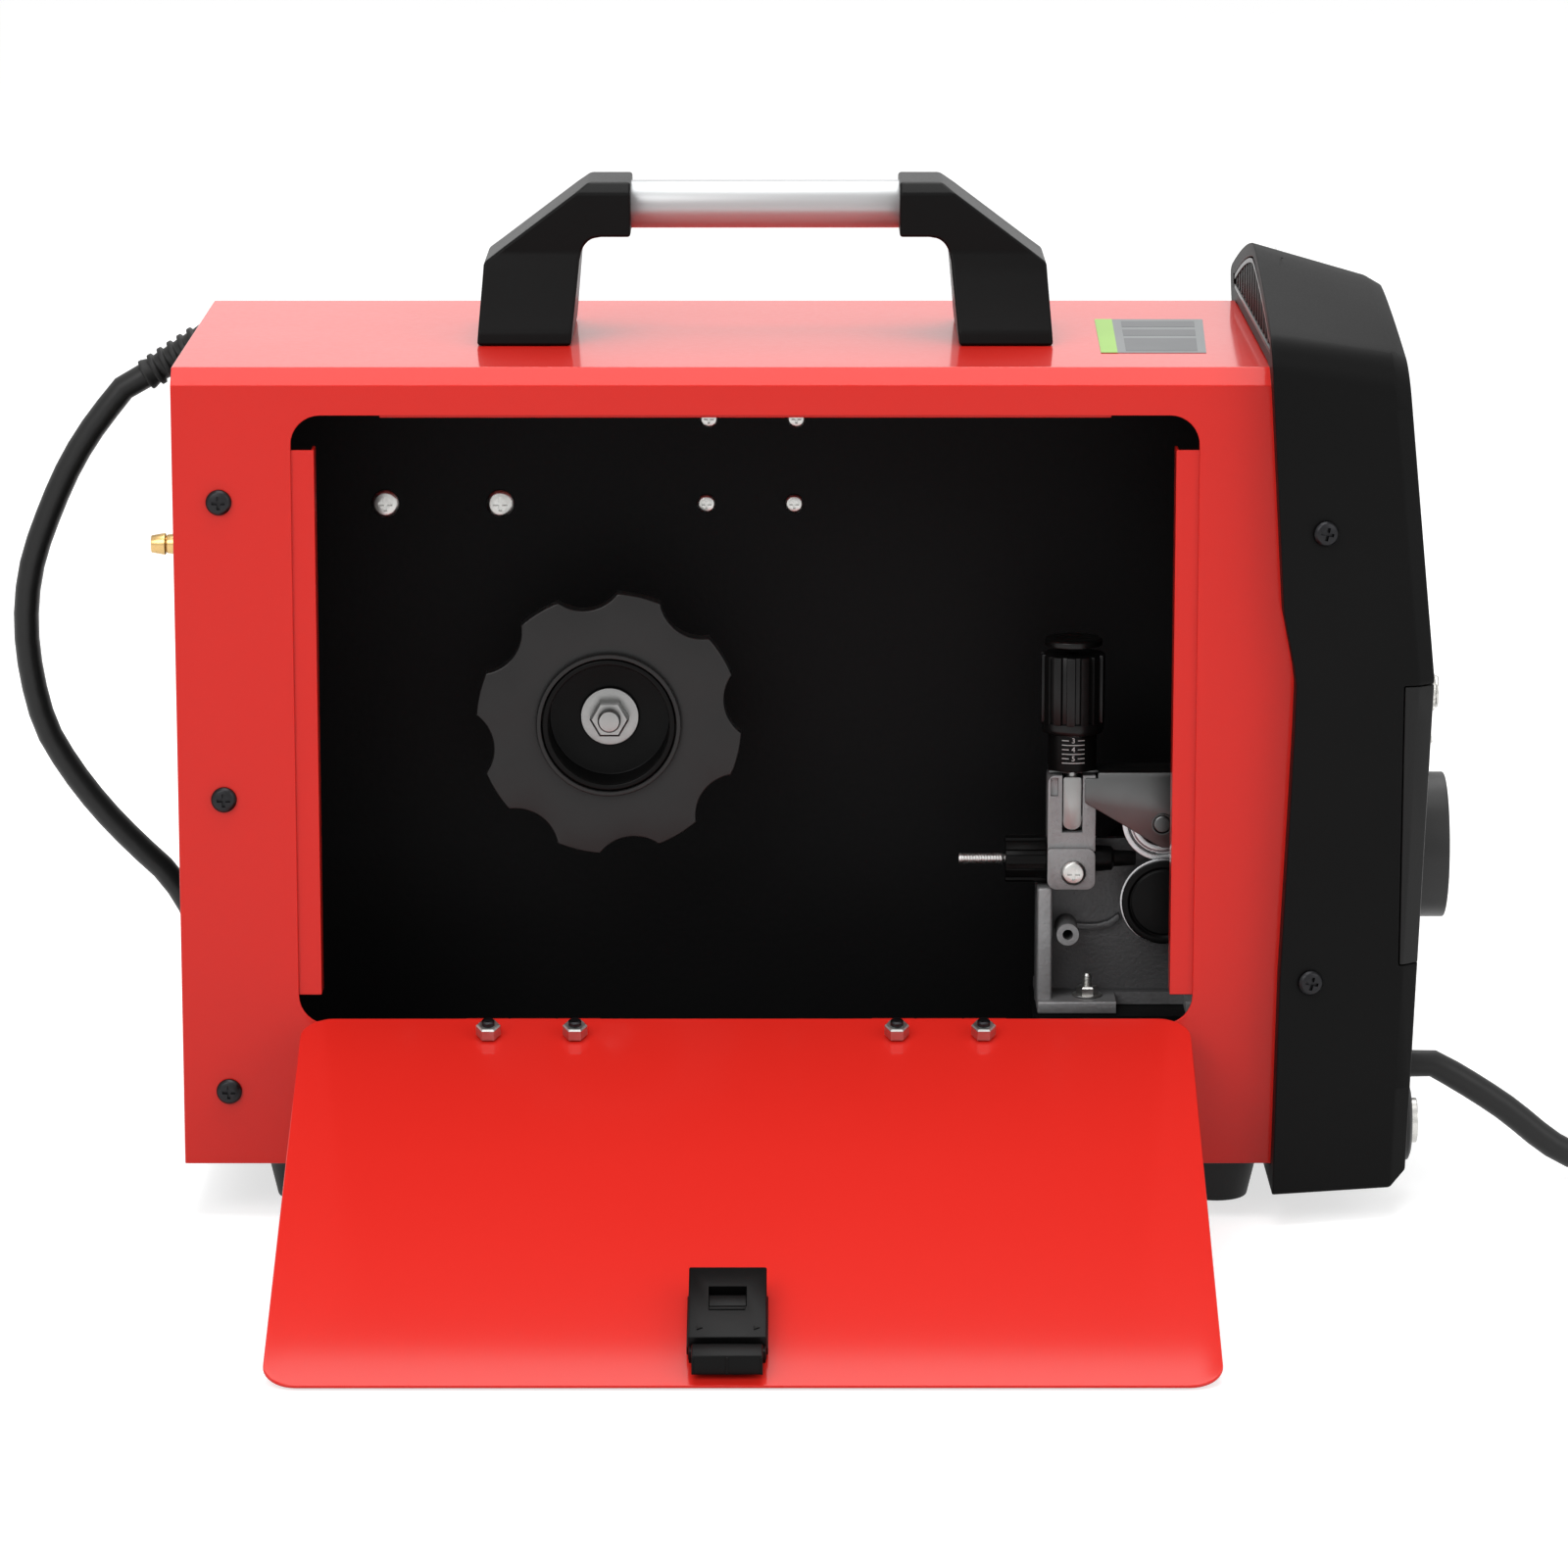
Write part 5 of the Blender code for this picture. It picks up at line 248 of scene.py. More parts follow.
def smooth_route(points, spacing):
    """Evenly spaced points on a Catmull-Rom curve through the given points."""
    knots = [Vector(p) for p in points]
    knots = [2 * knots[0] - knots[1]] + knots + [2 * knots[-1] - knots[-2]]
    fine = []
    for a, b, c, d in zip(knots, knots[1:], knots[2:], knots[3:]):
        for t in np.linspace(0, 1, 40, endpoint=False):
            fine.append(0.5 * (2 * b + (c - a) * t + (2 * a - 5 * b + 4 * c - d) * t * t
                               + (3 * b - a - 3 * c + d) * t ** 3))
    fine.append(knots[-2])
    reach = np.cumsum([0.0] + [(q - p).length for p, q in zip(fine, fine[1:])])
    along = np.linspace(0, reach[-1], max(2, round(reach[-1] / spacing)) + 1)
    columns = [np.interp(along, reach, [p[k] for p in fine]) for k in range(3)]
    return [Vector(p) for p in zip(*columns)]


def cord_curve(name, points, radius, material):
    """A round cord along points in the machine's coordinates."""
    line = bpy.data.curves.new(name, "CURVE")
    line.dimensions = "3D"
    line.bevel_depth, line.bevel_resolution, line.use_fill_caps = radius, 6, True
    spline = line.splines.new("POLY")
    spline.points.add(len(points) - 1)
    for point, co in zip(spline.points, points):
        point.co = (*(co + MACHINE), 1.0)
    spline.use_smooth = True
    line.materials.append(material)
    cord = bpy.data.objects.new(name, line)
    bpy.context.scene.collection.objects.link(cord)
    return cord


def rubber(name, tone, grain=900.0, roughness=0.5):
    """Matt black rubber with a fine moulded grain and a little dust."""
    made = Finish(name)
    dust = made.ramp(made.noise(9.0, 4.0), (0.45, 0.0), (0.8, 1.0))
    fine = made.noise(grain, 3.0)
    return made.set(
        Base_Color=made.mix(dust * 0.35, (tone, tone, tone), (tone * 2.2, tone * 2.1, tone * 2.0)),
        Roughness=fine * 0.12 + (roughness - 0.05), Specular_IOR_Level=0.3,
        Normal=made.bump(fine, 0.25, 0.0002))


CORD_RUBBER = rubber("cord_rubber", 0.008, 500.0, 0.42)
RUBBER = rubber("moulded_rubber", 0.009, 1100.0, 0.55)

relief_heading = Vector((-math.cos(RELIEF_TILT), 0, -math.sin(RELIEF_TILT)))
cord_exit = RELIEF_AT + relief_heading * (RELIEF_LENGTH + GAP)
coil_entry = Vector((COIL_AT.x - COIL_LEAD_IN - GAP, COIL_AT.y - COIL_OUTER_R, CORD_Z))
mains_points = [cord_exit] + smooth_route(
    [cord_exit + relief_heading * 2 * CORD_R, *CORD_ROUTE,
     coil_entry - Vector((2 * CORD_R, 0, 0))], 0.010) + [coil_entry]
for i in range(COIL_TURNS * TURN_POINTS + 1):
    turns = i / TURN_POINTS
    radius = COIL_OUTER_R - COIL_PITCH * (COIL_TURNS / 2 - abs(turns - COIL_TURNS / 2))
    climb = min(1, max(0, (turns - COIL_TURNS / 2) * 2 + 0.5))
    climb = climb * climb * (3 - 2 * climb)
    a = 2 * math.pi * turns - math.pi / 2
    mains_points.append(COIL_AT + Vector((radius * math.cos(a), radius * math.sin(a),
                                          CORD_Z + COIL_LIFT * climb)))
coil_top = mains_points[-1].copy()
tail = [coil_top + Vector((COIL_TAIL * share, 0, (PLUG_Z - coil_top.z) * rise))
        for share, rise in ((0.35, 0.12), (0.6, 0.62), (0.82, 1.0), (1.0, 1.0))]
mains_points += smooth_route([coil_top, *tail], 0.006)[1:]
mains_cord = cord_curve("mains_cord", mains_points, CORD_R, CORD_RUBBER)
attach(mains_cord, "case")
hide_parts("power_cord", "cord_coil")


# ---------------------------------------------------------------- mains plug
# Moulded rubber plug with a ribbed grip and two round plated pins.
def lathe(profile, at, facing, steps=48, ease=0.0004, ring=False):
    """A (radius, height) profile spun about the line from `at` along `facing`."""
    shape = bmesh.new()
    points = [shape.verts.new((r, 0, h)) for r, h in profile]
    for pair in zip(points, points[1:]):
        shape.edges.new(pair)
    if ring:
        shape.edges.new((points[-1], points[0]))
    corners = [v for v in points if len(v.link_edges) == 2 and v.co.x > 1e-6]
    if ease:
        bmesh.ops.bevel(shape, geom=corners, offset=ease, offset_type="OFFSET",
                        affect="VERTICES", segments=3, profile=0.5, material=-1,
                        clamp_overlap=True)
    bmesh.ops.spin(shape, geom=shape.verts[:] + shape.edges[:], axis=(0, 0, 1), cent=(0, 0, 0),
                   angle=2 * math.pi, steps=steps, use_merge=True)
    bmesh.ops.remove_doubles(shape, verts=shape.verts, dist=1e-6)
    bmesh.ops.recalc_face_normals(shape, faces=shape.faces)
    lean = Vector((0, 0, 1)).rotation_difference(Vector(facing)).to_matrix()
    bmesh.ops.rotate(shape, verts=shape.verts, matrix=lean)
    bmesh.ops.translate(shape, verts=shape.verts, vec=Vector(at))
    return shape


def box(low, high, ease=0.0, segments=3):
    """A block between two corners with eased edges."""
    low, high = Vector(low), Vector(high)
    shape = bmesh.new()
    bmesh.ops.create_cube(shape, size=1.0)
    bmesh.ops.scale(shape, vec=high - low, verts=shape.verts)
    bmesh.ops.translate(shape, vec=(low + high) / 2, verts=shape.verts)
    if ease:
        bmesh.ops.bevel(shape, geom=shape.edges[:], offset=ease, offset_type="OFFSET",
                        affect="EDGES", segments=segments, profile=0.5, material=-1,
                        clamp_overlap=True)
    return shape


def together(*shapes):
    """Several shapes in one mesh."""
    whole = bmesh.new()
    for shape in shapes:
        part = bpy.data.meshes.new("part")
        shape.to_mesh(part)
        shape.free()
        whole.from_mesh(part)
        bpy.data.meshes.remove(part)
    return whole


def piece(name, shape, material, body, stands_for=(), wall=0.0, ease=0.0, segments=2,
          angle=35.0):
    """Places a shape drawn in the machine's coordinates as a finished piece on a body."""
    bmesh.ops.translate(shape, verts=shape.verts, vec=MACHINE)
    mesh = bpy.data.meshes.new(name)
    shape.to_mesh(mesh)
    shape.free()
    mesh.materials.append(material)
    made = bpy.data.objects.new(name, mesh)
    bpy.context.scene.collection.objects.link(made)
    mesh.shade_smooth()
    if wall:
        sheet = made.modifiers.new("wall", "SOLIDIFY")
        sheet.thickness, sheet.offset, sheet.use_even_offset = wall, -1, True
    if ease:
        round_off = made.modifiers.new("eased", "BEVEL")
        round_off.width, round_off.segments = ease, segments
        round_off.limit_method, round_off.angle_limit = "ANGLE", math.radians(angle)
        round_off.use_clamp_overlap = False
        even = made.modifiers.new("flats", "WEIGHTED_NORMAL")
        even.keep_sharp = True
    else:
        mesh.set_sharp_from_angle(angle=math.radians(angle))
    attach(made, body)
    if stands_for:
        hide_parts(*([stands_for] if isinstance(stands_for, str) else stands_for))
    return made


def metal(name, colour, roughness, scratch=0.0, stretch=(1.0, 1.0, 1.0), turn=(0.0, 0.0, 0.0),
          scale=60.0):
    """Plated or bare metal: cloudy tone, uneven polish, and fine lines where it is brushed."""
    made = Finish(name)
    cloud = made.noise(28.0, 3.0)
    line = made.noise(scale, 4.0, made.place(stretch, turn))
    dark = tuple(c * 0.72 for c in colour)
    return made.set(Base_Color=made.mix(cloud, dark, colour), Metallic=1.0,
                    Roughness=made.noise(140.0, 3.0) * 0.16 + line * 0.12 + (roughness - 0.14),
                    Normal=made.bump(line, scratch, 0.00015))


NICKEL = metal("nickel_plate", (0.66, 0.65, 0.62), 0.26, 0.05, scale=200.0)
plug_start = COIL_AT.x + COIL_TAIL + GAP
plug_neck = plug_start + PLUG_NECK
plug_face = plug_neck + PLUG_LENGTH
plug_y = COIL_AT.y - COIL_OUTER_R
grip = []
for i in range(6):
    x = plug_neck + 0.006 + i * 0.0026
    r = PLUG_R * (0.70 + 0.026 * i)
    grip += [(r, x), (r, x + 0.0016), (r - 0.0009, x + 0.0018), (r - 0.0009, x + 0.0025)]
plug_profile = [(0, plug_start), (0.0062, plug_start), (0.0068, plug_start + 0.004),
                (0.0058, plug_start + 0.005), (0.0072, plug_start + 0.008),
                (0.0062, plug_start + 0.009), (0.0078, plug_neck), (0.0125, plug_neck + 0.004)]
plug_profile += grip + [(PLUG_R, plug_neck + 0.025), (PLUG_R, plug_face - 0.0015),
                        (PLUG_R - 0.002, plug_face), (0, plug_face)]
mains_plug = piece("mains_plug_body", lathe(plug_profile, (0, plug_y, PLUG_Z), (1, 0, 0), 56,
                                            0.0003), RUBBER, "case", "mains_plug")
pins = [lathe(((0, plug_face - 0.002), (0.0024, plug_face - 0.002), (0.0024, plug_face + 0.0185),
               (0, plug_face + 0.019)), (0, plug_y + side * 0.0095, PLUG_Z), (1, 0, 0), 24)
        for side in (-1, 1)]
plug_pins = piece("mains_plug_pins", together(*pins), NICKEL, "case")

# ---------------------------------------------------------------- polarity lead
# Thick welding lead: out of the front's lower grommet, over the floor, to its bayonet plug.
LEAD_R = 0.0052
LEAD_END = Vector((0.349, 0.120, 0.0128))
LEAD_EXIT = Vector((0.22999, -0.043, 0.0455))
LEAD_ROUTE = (
    (0.2520, -0.0430, 0.0392), (0.2690, -0.0430, 0.0280), (0.2823, -0.0428, 0.0171),
    (0.2925, -0.0422, 0.0103), (0.3040, -0.0405, 0.0067), (0.3265, -0.0345, 0.0056),
    (0.3430, -0.0180, 0.0056), (0.3490, 0.0045, 0.0056), (0.3490, 0.0400, 0.0057),
    (0.3490, 0.0700, 0.0068), (0.3490, 0.0950, 0.0100),
)
lead_low, lead_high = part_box("lead_grommet")
LEAD_EXIT.x = lead_high.x - MACHINE.x + GAP
lead_points = [LEAD_EXIT.copy()] + smooth_route(
    [LEAD_EXIT + Vector((2 * LEAD_R, 0, 0)), *LEAD_ROUTE, LEAD_END - Vector((0, 2 * LEAD_R, 0))],
    0.008) + [LEAD_END]
polarity_lead = cord_curve("polarity_lead_cable", lead_points, LEAD_R, CORD_RUBBER)
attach(polarity_lead, "case")
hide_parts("polarity_lead")
sleeve = LEAD_END.y + GAP
sleeve_end = sleeve + 0.052
sleeve_profile = [(0, sleeve), (0.0066, sleeve), (0.0070, sleeve + 0.003)]
for i in range(5):
    y = sleeve + 0.006 + i * 0.0036
    sleeve_profile += [(0.0086 + i * 0.0005, y), (0.0086 + i * 0.0005, y + 0.0022),
                       (0.0078 + i * 0.0005, y + 0.0026), (0.0078 + i * 0.0005, y + 0.0034)]
sleeve_profile += [(0.0125, sleeve_end - 0.024), (0.0125, sleeve_end), (0.0062, sleeve_end),
                   (0, sleeve_end)]
lead_sleeve = piece("polarity_plug_sleeve",
                    lathe(sleeve_profile, (LEAD_END.x, 0, LEAD_END.z), (0, 1, 0), 48, 0.0004),
                    RUBBER, "case", "polarity_plug")
BRASS = metal("brass", (0.72, 0.48, 0.20), 0.28, 0.05, scale=220.0)
lead_pin = together(
    lathe(((0, sleeve_end - 0.001), (0.0045, sleeve_end - 0.001), (0.0045, sleeve_end + 0.021),
           (0, sleeve_end + 0.021)), (LEAD_END.x, 0, LEAD_END.z), (0, 1, 0), 32, 0.0006),
    box((LEAD_END.x - 0.0058, sleeve_end + 0.013, LEAD_END.z - 0.0012),
        (LEAD_END.x, sleeve_end + 0.018, LEAD_END.z + 0.0012), 0.0003))
lead_pin = piece("polarity_plug_pin", lead_pin, BRASS, "case")


# ---------------------------------------------------------------- case cover
# One bent sheet of red powder-coated steel over both sides and the top, with the door's
# opening in the near side and pressed louvres in the far one.
HALF = 0.098
SHEET = 0.0012
FOOT_HEIGHT = 0.021
CASE_TOP = 0.320
CASE_REAR = -0.230
COVER_FRONT = 0.1863
EDGE_FOLD = 0.006
OPENING = (-0.1865, 0.0745, 0.1453, 0.303)
OPENING_R = 0.011
LOUVRES = 9


def rounded(u0, v0, u1, v1, radius, steps=8):
    """Corner points of a rectangle with round corners."""
    corners = ((u1 - radius, v1 - radius, 0), (u0 + radius, v1 - radius, 90),
               (u0 + radius, v0 + radius, 180), (u1 - radius, v0 + radius, 270))
    return [(u + radius * math.cos(math.radians(a + 90 * i / steps)),
             v + radius * math.sin(math.radians(a + 90 * i / steps)))
            for u, v, a in corners for i in range(steps + 1)]


def flat_sheet(outline, holes, at):
    """A filled outline with holes; `at` turns a (u, v) pair into a place."""
    shape = bmesh.new()
    edges = []
    for line in (outline, *holes):
        points = [shape.verts.new(at(u, v)) for u, v in line]
        edges += [shape.edges.new(pair) for pair in zip(points, points[1:] + points[:1])]
    bmesh.ops.triangle_fill(shape, use_beauty=True, use_dissolve=False, edges=edges)
    return shape


def paint(name, colour, roughness, peel, coat, specular=0.5, dust=0.10):
    """Powder coat: the orange-peel skin of stoved paint, slightly uneven in gloss and tone."""
    made = Finish(name)
    skin = made.noise(420.0, 2.0)
    cloud = made.noise(7.0, 5.0)
    film = made.ramp(cloud, (0.5, 0.0), (0.85, 1.0))
    darker = tuple(c * 0.88 for c in colour)
    dusty = tuple(c * 0.9 + 0.01 for c in colour)
    tone = made.mix(made.noise(3.0, 2.0), darker, colour)
    return made.set(Base_Color=made.mix(film * dust, tone, dusty),
                    Roughness=cloud * 0.14 + skin * 0.06 + (roughness - 0.10),
                    Coat_Weight=coat, Coat_Roughness=0.10, Coat_IOR=1.3,
                    Specular_IOR_Level=specular,
                    Normal=made.bump(skin, peel, 0.0003))


RED = paint("red_powder_coat", (0.68, 0.020, 0.013), 0.38, 0.05, 0.8, 0.06)
near_side = flat_sheet([(CASE_REAR, FOOT_HEIGHT), (COVER_FRONT, FOOT_HEIGHT),
                        (COVER_FRONT, CASE_TOP - EDGE_FOLD), (CASE_REAR, CASE_TOP - EDGE_FOLD)],
                       [rounded(*OPENING, OPENING_R)], lambda u, v: (u, -HALF, v))
slots = [[(0.060, z), (0.120, z), (0.120, z + 0.0032), (0.060, z + 0.0032)]
         for z in (0.080 + i * 0.011 for i in range(LOUVRES))]
far_side = flat_sheet([(CASE_REAR, FOOT_HEIGHT), (COVER_FRONT, FOOT_HEIGHT),
                       (COVER_FRONT, CASE_TOP - EDGE_FOLD), (CASE_REAR, CASE_TOP - EDGE_FOLD)],
                      slots, lambda u, v: (u, HALF, v))
cover = together(near_side, far_side)
ridge = cover.verts.new((CASE_REAR, -HALF, CASE_TOP - EDGE_FOLD))
strip = [(-HALF, CASE_TOP - EDGE_FOLD), (EDGE_FOLD - HALF, CASE_TOP),
         (HALF - EDGE_FOLD, CASE_TOP), (HALF, CASE_TOP - EDGE_FOLD)]
row = [ridge] + [cover.verts.new((CASE_REAR, y, z)) for y, z in strip[1:]]
spine = [cover.edges.new(pair) for pair in zip(row, row[1:])]
drawn = bmesh.ops.extrude_edge_only(cover, edges=spine)["geom"]
bmesh.ops.translate(cover, verts=[v for v in drawn if isinstance(v, bmesh.types.BMVert)],
                    vec=(COVER_FRONT - CASE_REAR, 0, 0))
bmesh.ops.remove_doubles(cover, verts=cover.verts, dist=1e-6)
bmesh.ops.recalc_face_normals(cover, faces=cover.faces)
cover.faces.ensure_lookup_table()
if next(f for f in cover.faces if f.normal.z ** 2 > 0.9).normal.z < 0:
    bmesh.ops.reverse_faces(cover, faces=cover.faces)
piece("case_cover_shell", cover, RED, "case", "case_cover", wall=SHEET, ease=0.0004)

hoods = []
for z in (0.080 + i * 0.011 for i in range(LOUVRES)):
    hood = box((0.0585, HALF - 0.0004, z - 0.0002), (0.1215, HALF + 0.0030, z + 0.0060))
    outer = [e for e in hood.edges if all(v.co.y > HALF + 0.001 for v in e.verts)
             and not all(v.co.z < z + 0.001 for v in e.verts)]
    bmesh.ops.bevel(hood, geom=outer, offset=0.0026, offset_type="OFFSET", affect="EDGES",
                    segments=4, profile=0.5, material=-1, clamp_overlap=True)
    bmesh.ops.delete(hood, geom=[f for f in hood.faces if f.normal.z < -0.9
                                 or f.normal.y < -0.9], context="FACES_ONLY")
    hoods.append(hood)
piece("louvre_hoods", together(*hoods), RED, "case", wall=0.0006, angle=40)


# ---------------------------------------------------------------- screws of the case
# Black pan-head screws with a cross recess; two columns of them hold the cover.
def carve(shape, cutter, operation="DIFFERENCE"):
    """The shape with another cut from it, joined to it or kept only where both are."""
    things = []
    for one in (shape, cutter):
        work = bpy.data.meshes.new("work")
        one.to_mesh(work)
        one.free()
        things.append(bpy.data.objects.new("work", work))
        bpy.context.scene.collection.objects.link(things[-1])
    step = things[0].modifiers.new("work", "BOOLEAN")
    step.operation, step.solver, step.object = operation, "EXACT", things[1]
    graph = bpy.context.evaluated_depsgraph_get()
    made = bpy.data.meshes.new_from_object(things[0].evaluated_get(graph))
    result = bmesh.new()
    result.from_mesh(made)
    for thing in things:
        mesh = thing.data
        bpy.data.objects.remove(thing, do_unlink=True)
        bpy.data.meshes.remove(mesh)
    bpy.data.meshes.remove(made)
    return result


def copies(shape, places):
    """The shape once at each (place, outward direction)."""
    template = bpy.data.meshes.new("template")
    shape.to_mesh(template)
    shape.free()
    whole = bmesh.new()
    for at, facing in places:
        before = set(whole.verts)
        whole.from_mesh(template)
        fresh = [v for v in whole.verts if v not in before]
        lean = Vector((0, 0, 1)).rotation_difference(Vector(facing)).to_matrix()
        bmesh.ops.rotate(whole, verts=fresh, matrix=lean)
        bmesh.ops.translate(whole, verts=fresh, vec=Vector(at))
    bpy.data.meshes.remove(template)
    return whole


def cross_head(radius, height):
    """A pan head with a cross recess, its seat at z = 0."""
    head = lathe(((0, -0.001), (radius * 0.5, -0.001), (radius, 0), (radius, height * 0.45),
                  (radius * 0.80, height * 0.86), (radius * 0.45, height), (0, height)),
                 (0, 0, 0), (0, 0, 1), 32, 0.0003)
    arm, thick, deep = radius * 0.52, radius * 0.13, height * 0.45
    cross = carve(box((-arm, -thick, deep), (arm, thick, height + 0.001)),
                  box((-thick, -arm, deep - 0.0001), (thick, arm, height + 0.0012)), "UNION")
    return carve(head, cross)


BLACK_SCREW = metal("blackened_screw", (0.030, 0.030, 0.032), 0.36, 0.1, scale=400.0)
SCREW_HEAD_R = 0.00475
SCREW_HEAD = 0.0026
cover_places = [((-0.213, side * HALF, z), (0, side, 0)) for side in (-1, 1)
                for z in (0.271, 0.160, 0.049)]
piece("cover_screws", copies(cross_head(SCREW_HEAD_R, SCREW_HEAD), cover_places), BLACK_SCREW,
      "case", angle=40)

# ---------------------------------------------------------------- chassis sheets
# The base pan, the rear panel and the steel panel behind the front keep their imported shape;
# they are bent sheet with a fine black texture coat.
BLACK_COAT = paint("black_texture_coat", (0.0034, 0.0034, 0.0036), 0.55, 0.30, 0.0, 0.08, 0.1)


def dress(node, material):
    """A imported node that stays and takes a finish."""
    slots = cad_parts[node].data.materials
    slots.clear()
    slots.append(material)


for sheet_node in ("base_pan", "rear_panel", "front_bulkhead", "feeder_bracket"):
    dress(sheet_node, BLACK_COAT)

# ---------------------------------------------------------------- middle wall
# Folded black sheet between the wire bay and the electronics, with the boards' screws in it.
WALL_Y = 0.015
wall = bmesh.new()
line = [wall.verts.new((-0.2278, y, z)) for y, z in
        ((WALL_Y + 0.014, 0.3185), (WALL_Y, 0.3185), (WALL_Y, 0.0225), (WALL_Y + 0.014, 0.0225))]
edges = [wall.edges.new(pair) for pair in zip(line, line[1:])]
drawn = bmesh.ops.extrude_edge_only(wall, edges=edges)["geom"]
bmesh.ops.translate(wall, verts=[v for v in drawn if isinstance(v, bmesh.types.BMVert)],
                    vec=(0.4138, 0, 0))
bmesh.ops.recalc_face_normals(wall, faces=wall.faces)
if next(f for f in wall.faces if abs(f.normal.y) > 0.9).normal.y > 0:
    bmesh.ops.reverse_faces(wall, faces=wall.faces)
piece("middle_wall", wall, BLACK_COAT, "case", "divider_plate", wall=SHEET,
      ease=0.0004)
wide_places = [((x, WALL_Y, z), (0, -1, 0)) for x, z in ((-0.159, 0.252), (-0.115, 0.252))]
small_places = [((x, WALL_Y, z), (0, -1, 0)) for x, z in
                ((-0.036, 0.252), (-0.0024, 0.252), (-0.035, 0.285), (-0.0016, 0.285))]
ZINC = metal("zinc_plate", (0.62, 0.62, 0.60), 0.34, 0.08, scale=180.0)
piece("wall_screws_wide", copies(cross_head(0.0053, 0.0020), wide_places), ZINC, "case",
      angle=40)
piece("wall_screws_small", copies(cross_head(0.0036, 0.0020), small_places), ZINC, "case",
      angle=40)

# ---------------------------------------------------------------- feet
# Four tapered rubber feet under the base pan, each with a recessed screw.
foot_shapes = []
for x in (-0.186, 0.157):
    for y in (-0.063, 0.063):
        foot_shapes.append(lathe(((0, 0.0207), (0.016, 0.0207), (0.016, 0.0172), (0.012, 0.0),
                                  (0.0052, 0.0), (0.0052, 0.006), (0, 0.006)), (x, y, 0),
                                 (0, 0, 1), 48, 0.0007))
for shape, node in zip(foot_shapes, ("foot_rear_near", "foot_rear_far", "foot_front_near",
                                     "foot_front_far")):
    piece(node + "_rubber", shape, RUBBER, "case", node)

# ---------------------------------------------------------------- door frame
# Three folded red strips behind the opening's edge, welded at the upper corners.
FRAME_Y = -HALF + SHEET + GAP


def bent(path, start, end, at):
    """A path of (u, v) pairs drawn out between two values; `at` places (u, v, w)."""
    shape = bmesh.new()
    points = [shape.verts.new(at(u, v, start)) for u, v in path]
    far = [shape.verts.new(at(u, v, end)) for u, v in path]
    first = [shape.edges.new(pair) for pair in zip(points, points[1:])]
    last = [shape.edges.new(pair) for pair in zip(far, far[1:])]
    bmesh.ops.bridge_loops(shape, edges=first + last)
    bmesh.ops.recalc_face_normals(shape, faces=shape.faces)
    return shape


def turn_to(shape, direction):
    """Turns all faces so that the first that lies across the direction looks along it."""
    direction = Vector(direction)
    shape.normal_update()
    face = max(shape.faces, key=lambda f: abs(f.normal.dot(direction)) * f.calc_area())
    if face.normal.dot(direction) < 0:
        bmesh.ops.reverse_faces(shape, faces=shape.faces)
    return shape


header_low = OPENING[3] - 0.001
strips = [turn_to(bent(((FRAME_Y, header_low + 0.008), (FRAME_Y, header_low),
                        (FRAME_Y + 0.0105, header_low)), -0.154, 0.113,
                       lambda u, v, w: (w, u, v)), (0, -1, 0))]
for outer, inner in ((OPENING[0] - 0.0055, OPENING[0] + 0.0084),
                     (OPENING[2] + 0.0055, OPENING[2] - 0.0084)):
    strips.append(turn_to(bent(((outer, FRAME_Y), (inner, FRAME_Y), (inner, FRAME_Y + 0.0105)),
                               0.0855, 0.290, lambda u, v, w: (u, v, w)), (0, -1, 0)))
    corner = (-0.154, outer, inner) if outer < 0 else (0.113, outer, inner)
    tab = flat_sheet([(corner[1], header_low + 0.0012), (corner[0], header_low + 0.0012),
                      (corner[0], header_low + 0.008), (corner[1], header_low + 0.008)], [],
                     lambda u, v: (u, FRAME_Y + 0.0001, v))
    strips.append(turn_to(tab, (0, -1, 0)))
    side = OPENING[0] if outer < 0 else OPENING[2]
    tab = flat_sheet([(corner[1], 0.289), (side, 0.289), (side, header_low + 0.004),
                      (corner[1], header_low + 0.004)], [],
                     lambda u, v: (u, FRAME_Y + 0.0002, v))
    strips.append(turn_to(tab, (0, -1, 0)))
piece("door_frame_strips", together(*strips), RED, "case", "door_frame",
      wall=SHEET, ease=0.0003)

# ---------------------------------------------------------------- side door
# Red sheet with round corners, hung at its lower edge and laid open.
HINGE_Y = -0.1008
HINGE_Z = 0.075
DOOR_OPEN = math.radians(109.8)
DOOR_START = 0.0015
DOOR_LENGTH = 0.2255


def opened(shape):
    """Turns a shape drawn on the closed door to the door's open place."""
    bmesh.ops.rotate(shape, verts=shape.verts, cent=(0, HINGE_Y, HINGE_Z),
                     matrix=Matrix.Rotation(DOOR_OPEN, 3, "X"))
    return shape


door = flat_sheet(rounded(OPENING[0] + 0.0014, HINGE_Z + DOOR_START, OPENING[2] - 0.0014,
                          HINGE_Z + DOOR_START + DOOR_LENGTH, 0.012, 10), [],
                  lambda u, v: (u, -HALF, v))
piece("side_door_panel", opened(turn_to(door, (0, -1, 0))), RED, "door",
      "side_door", wall=SHEET, ease=0.0004)

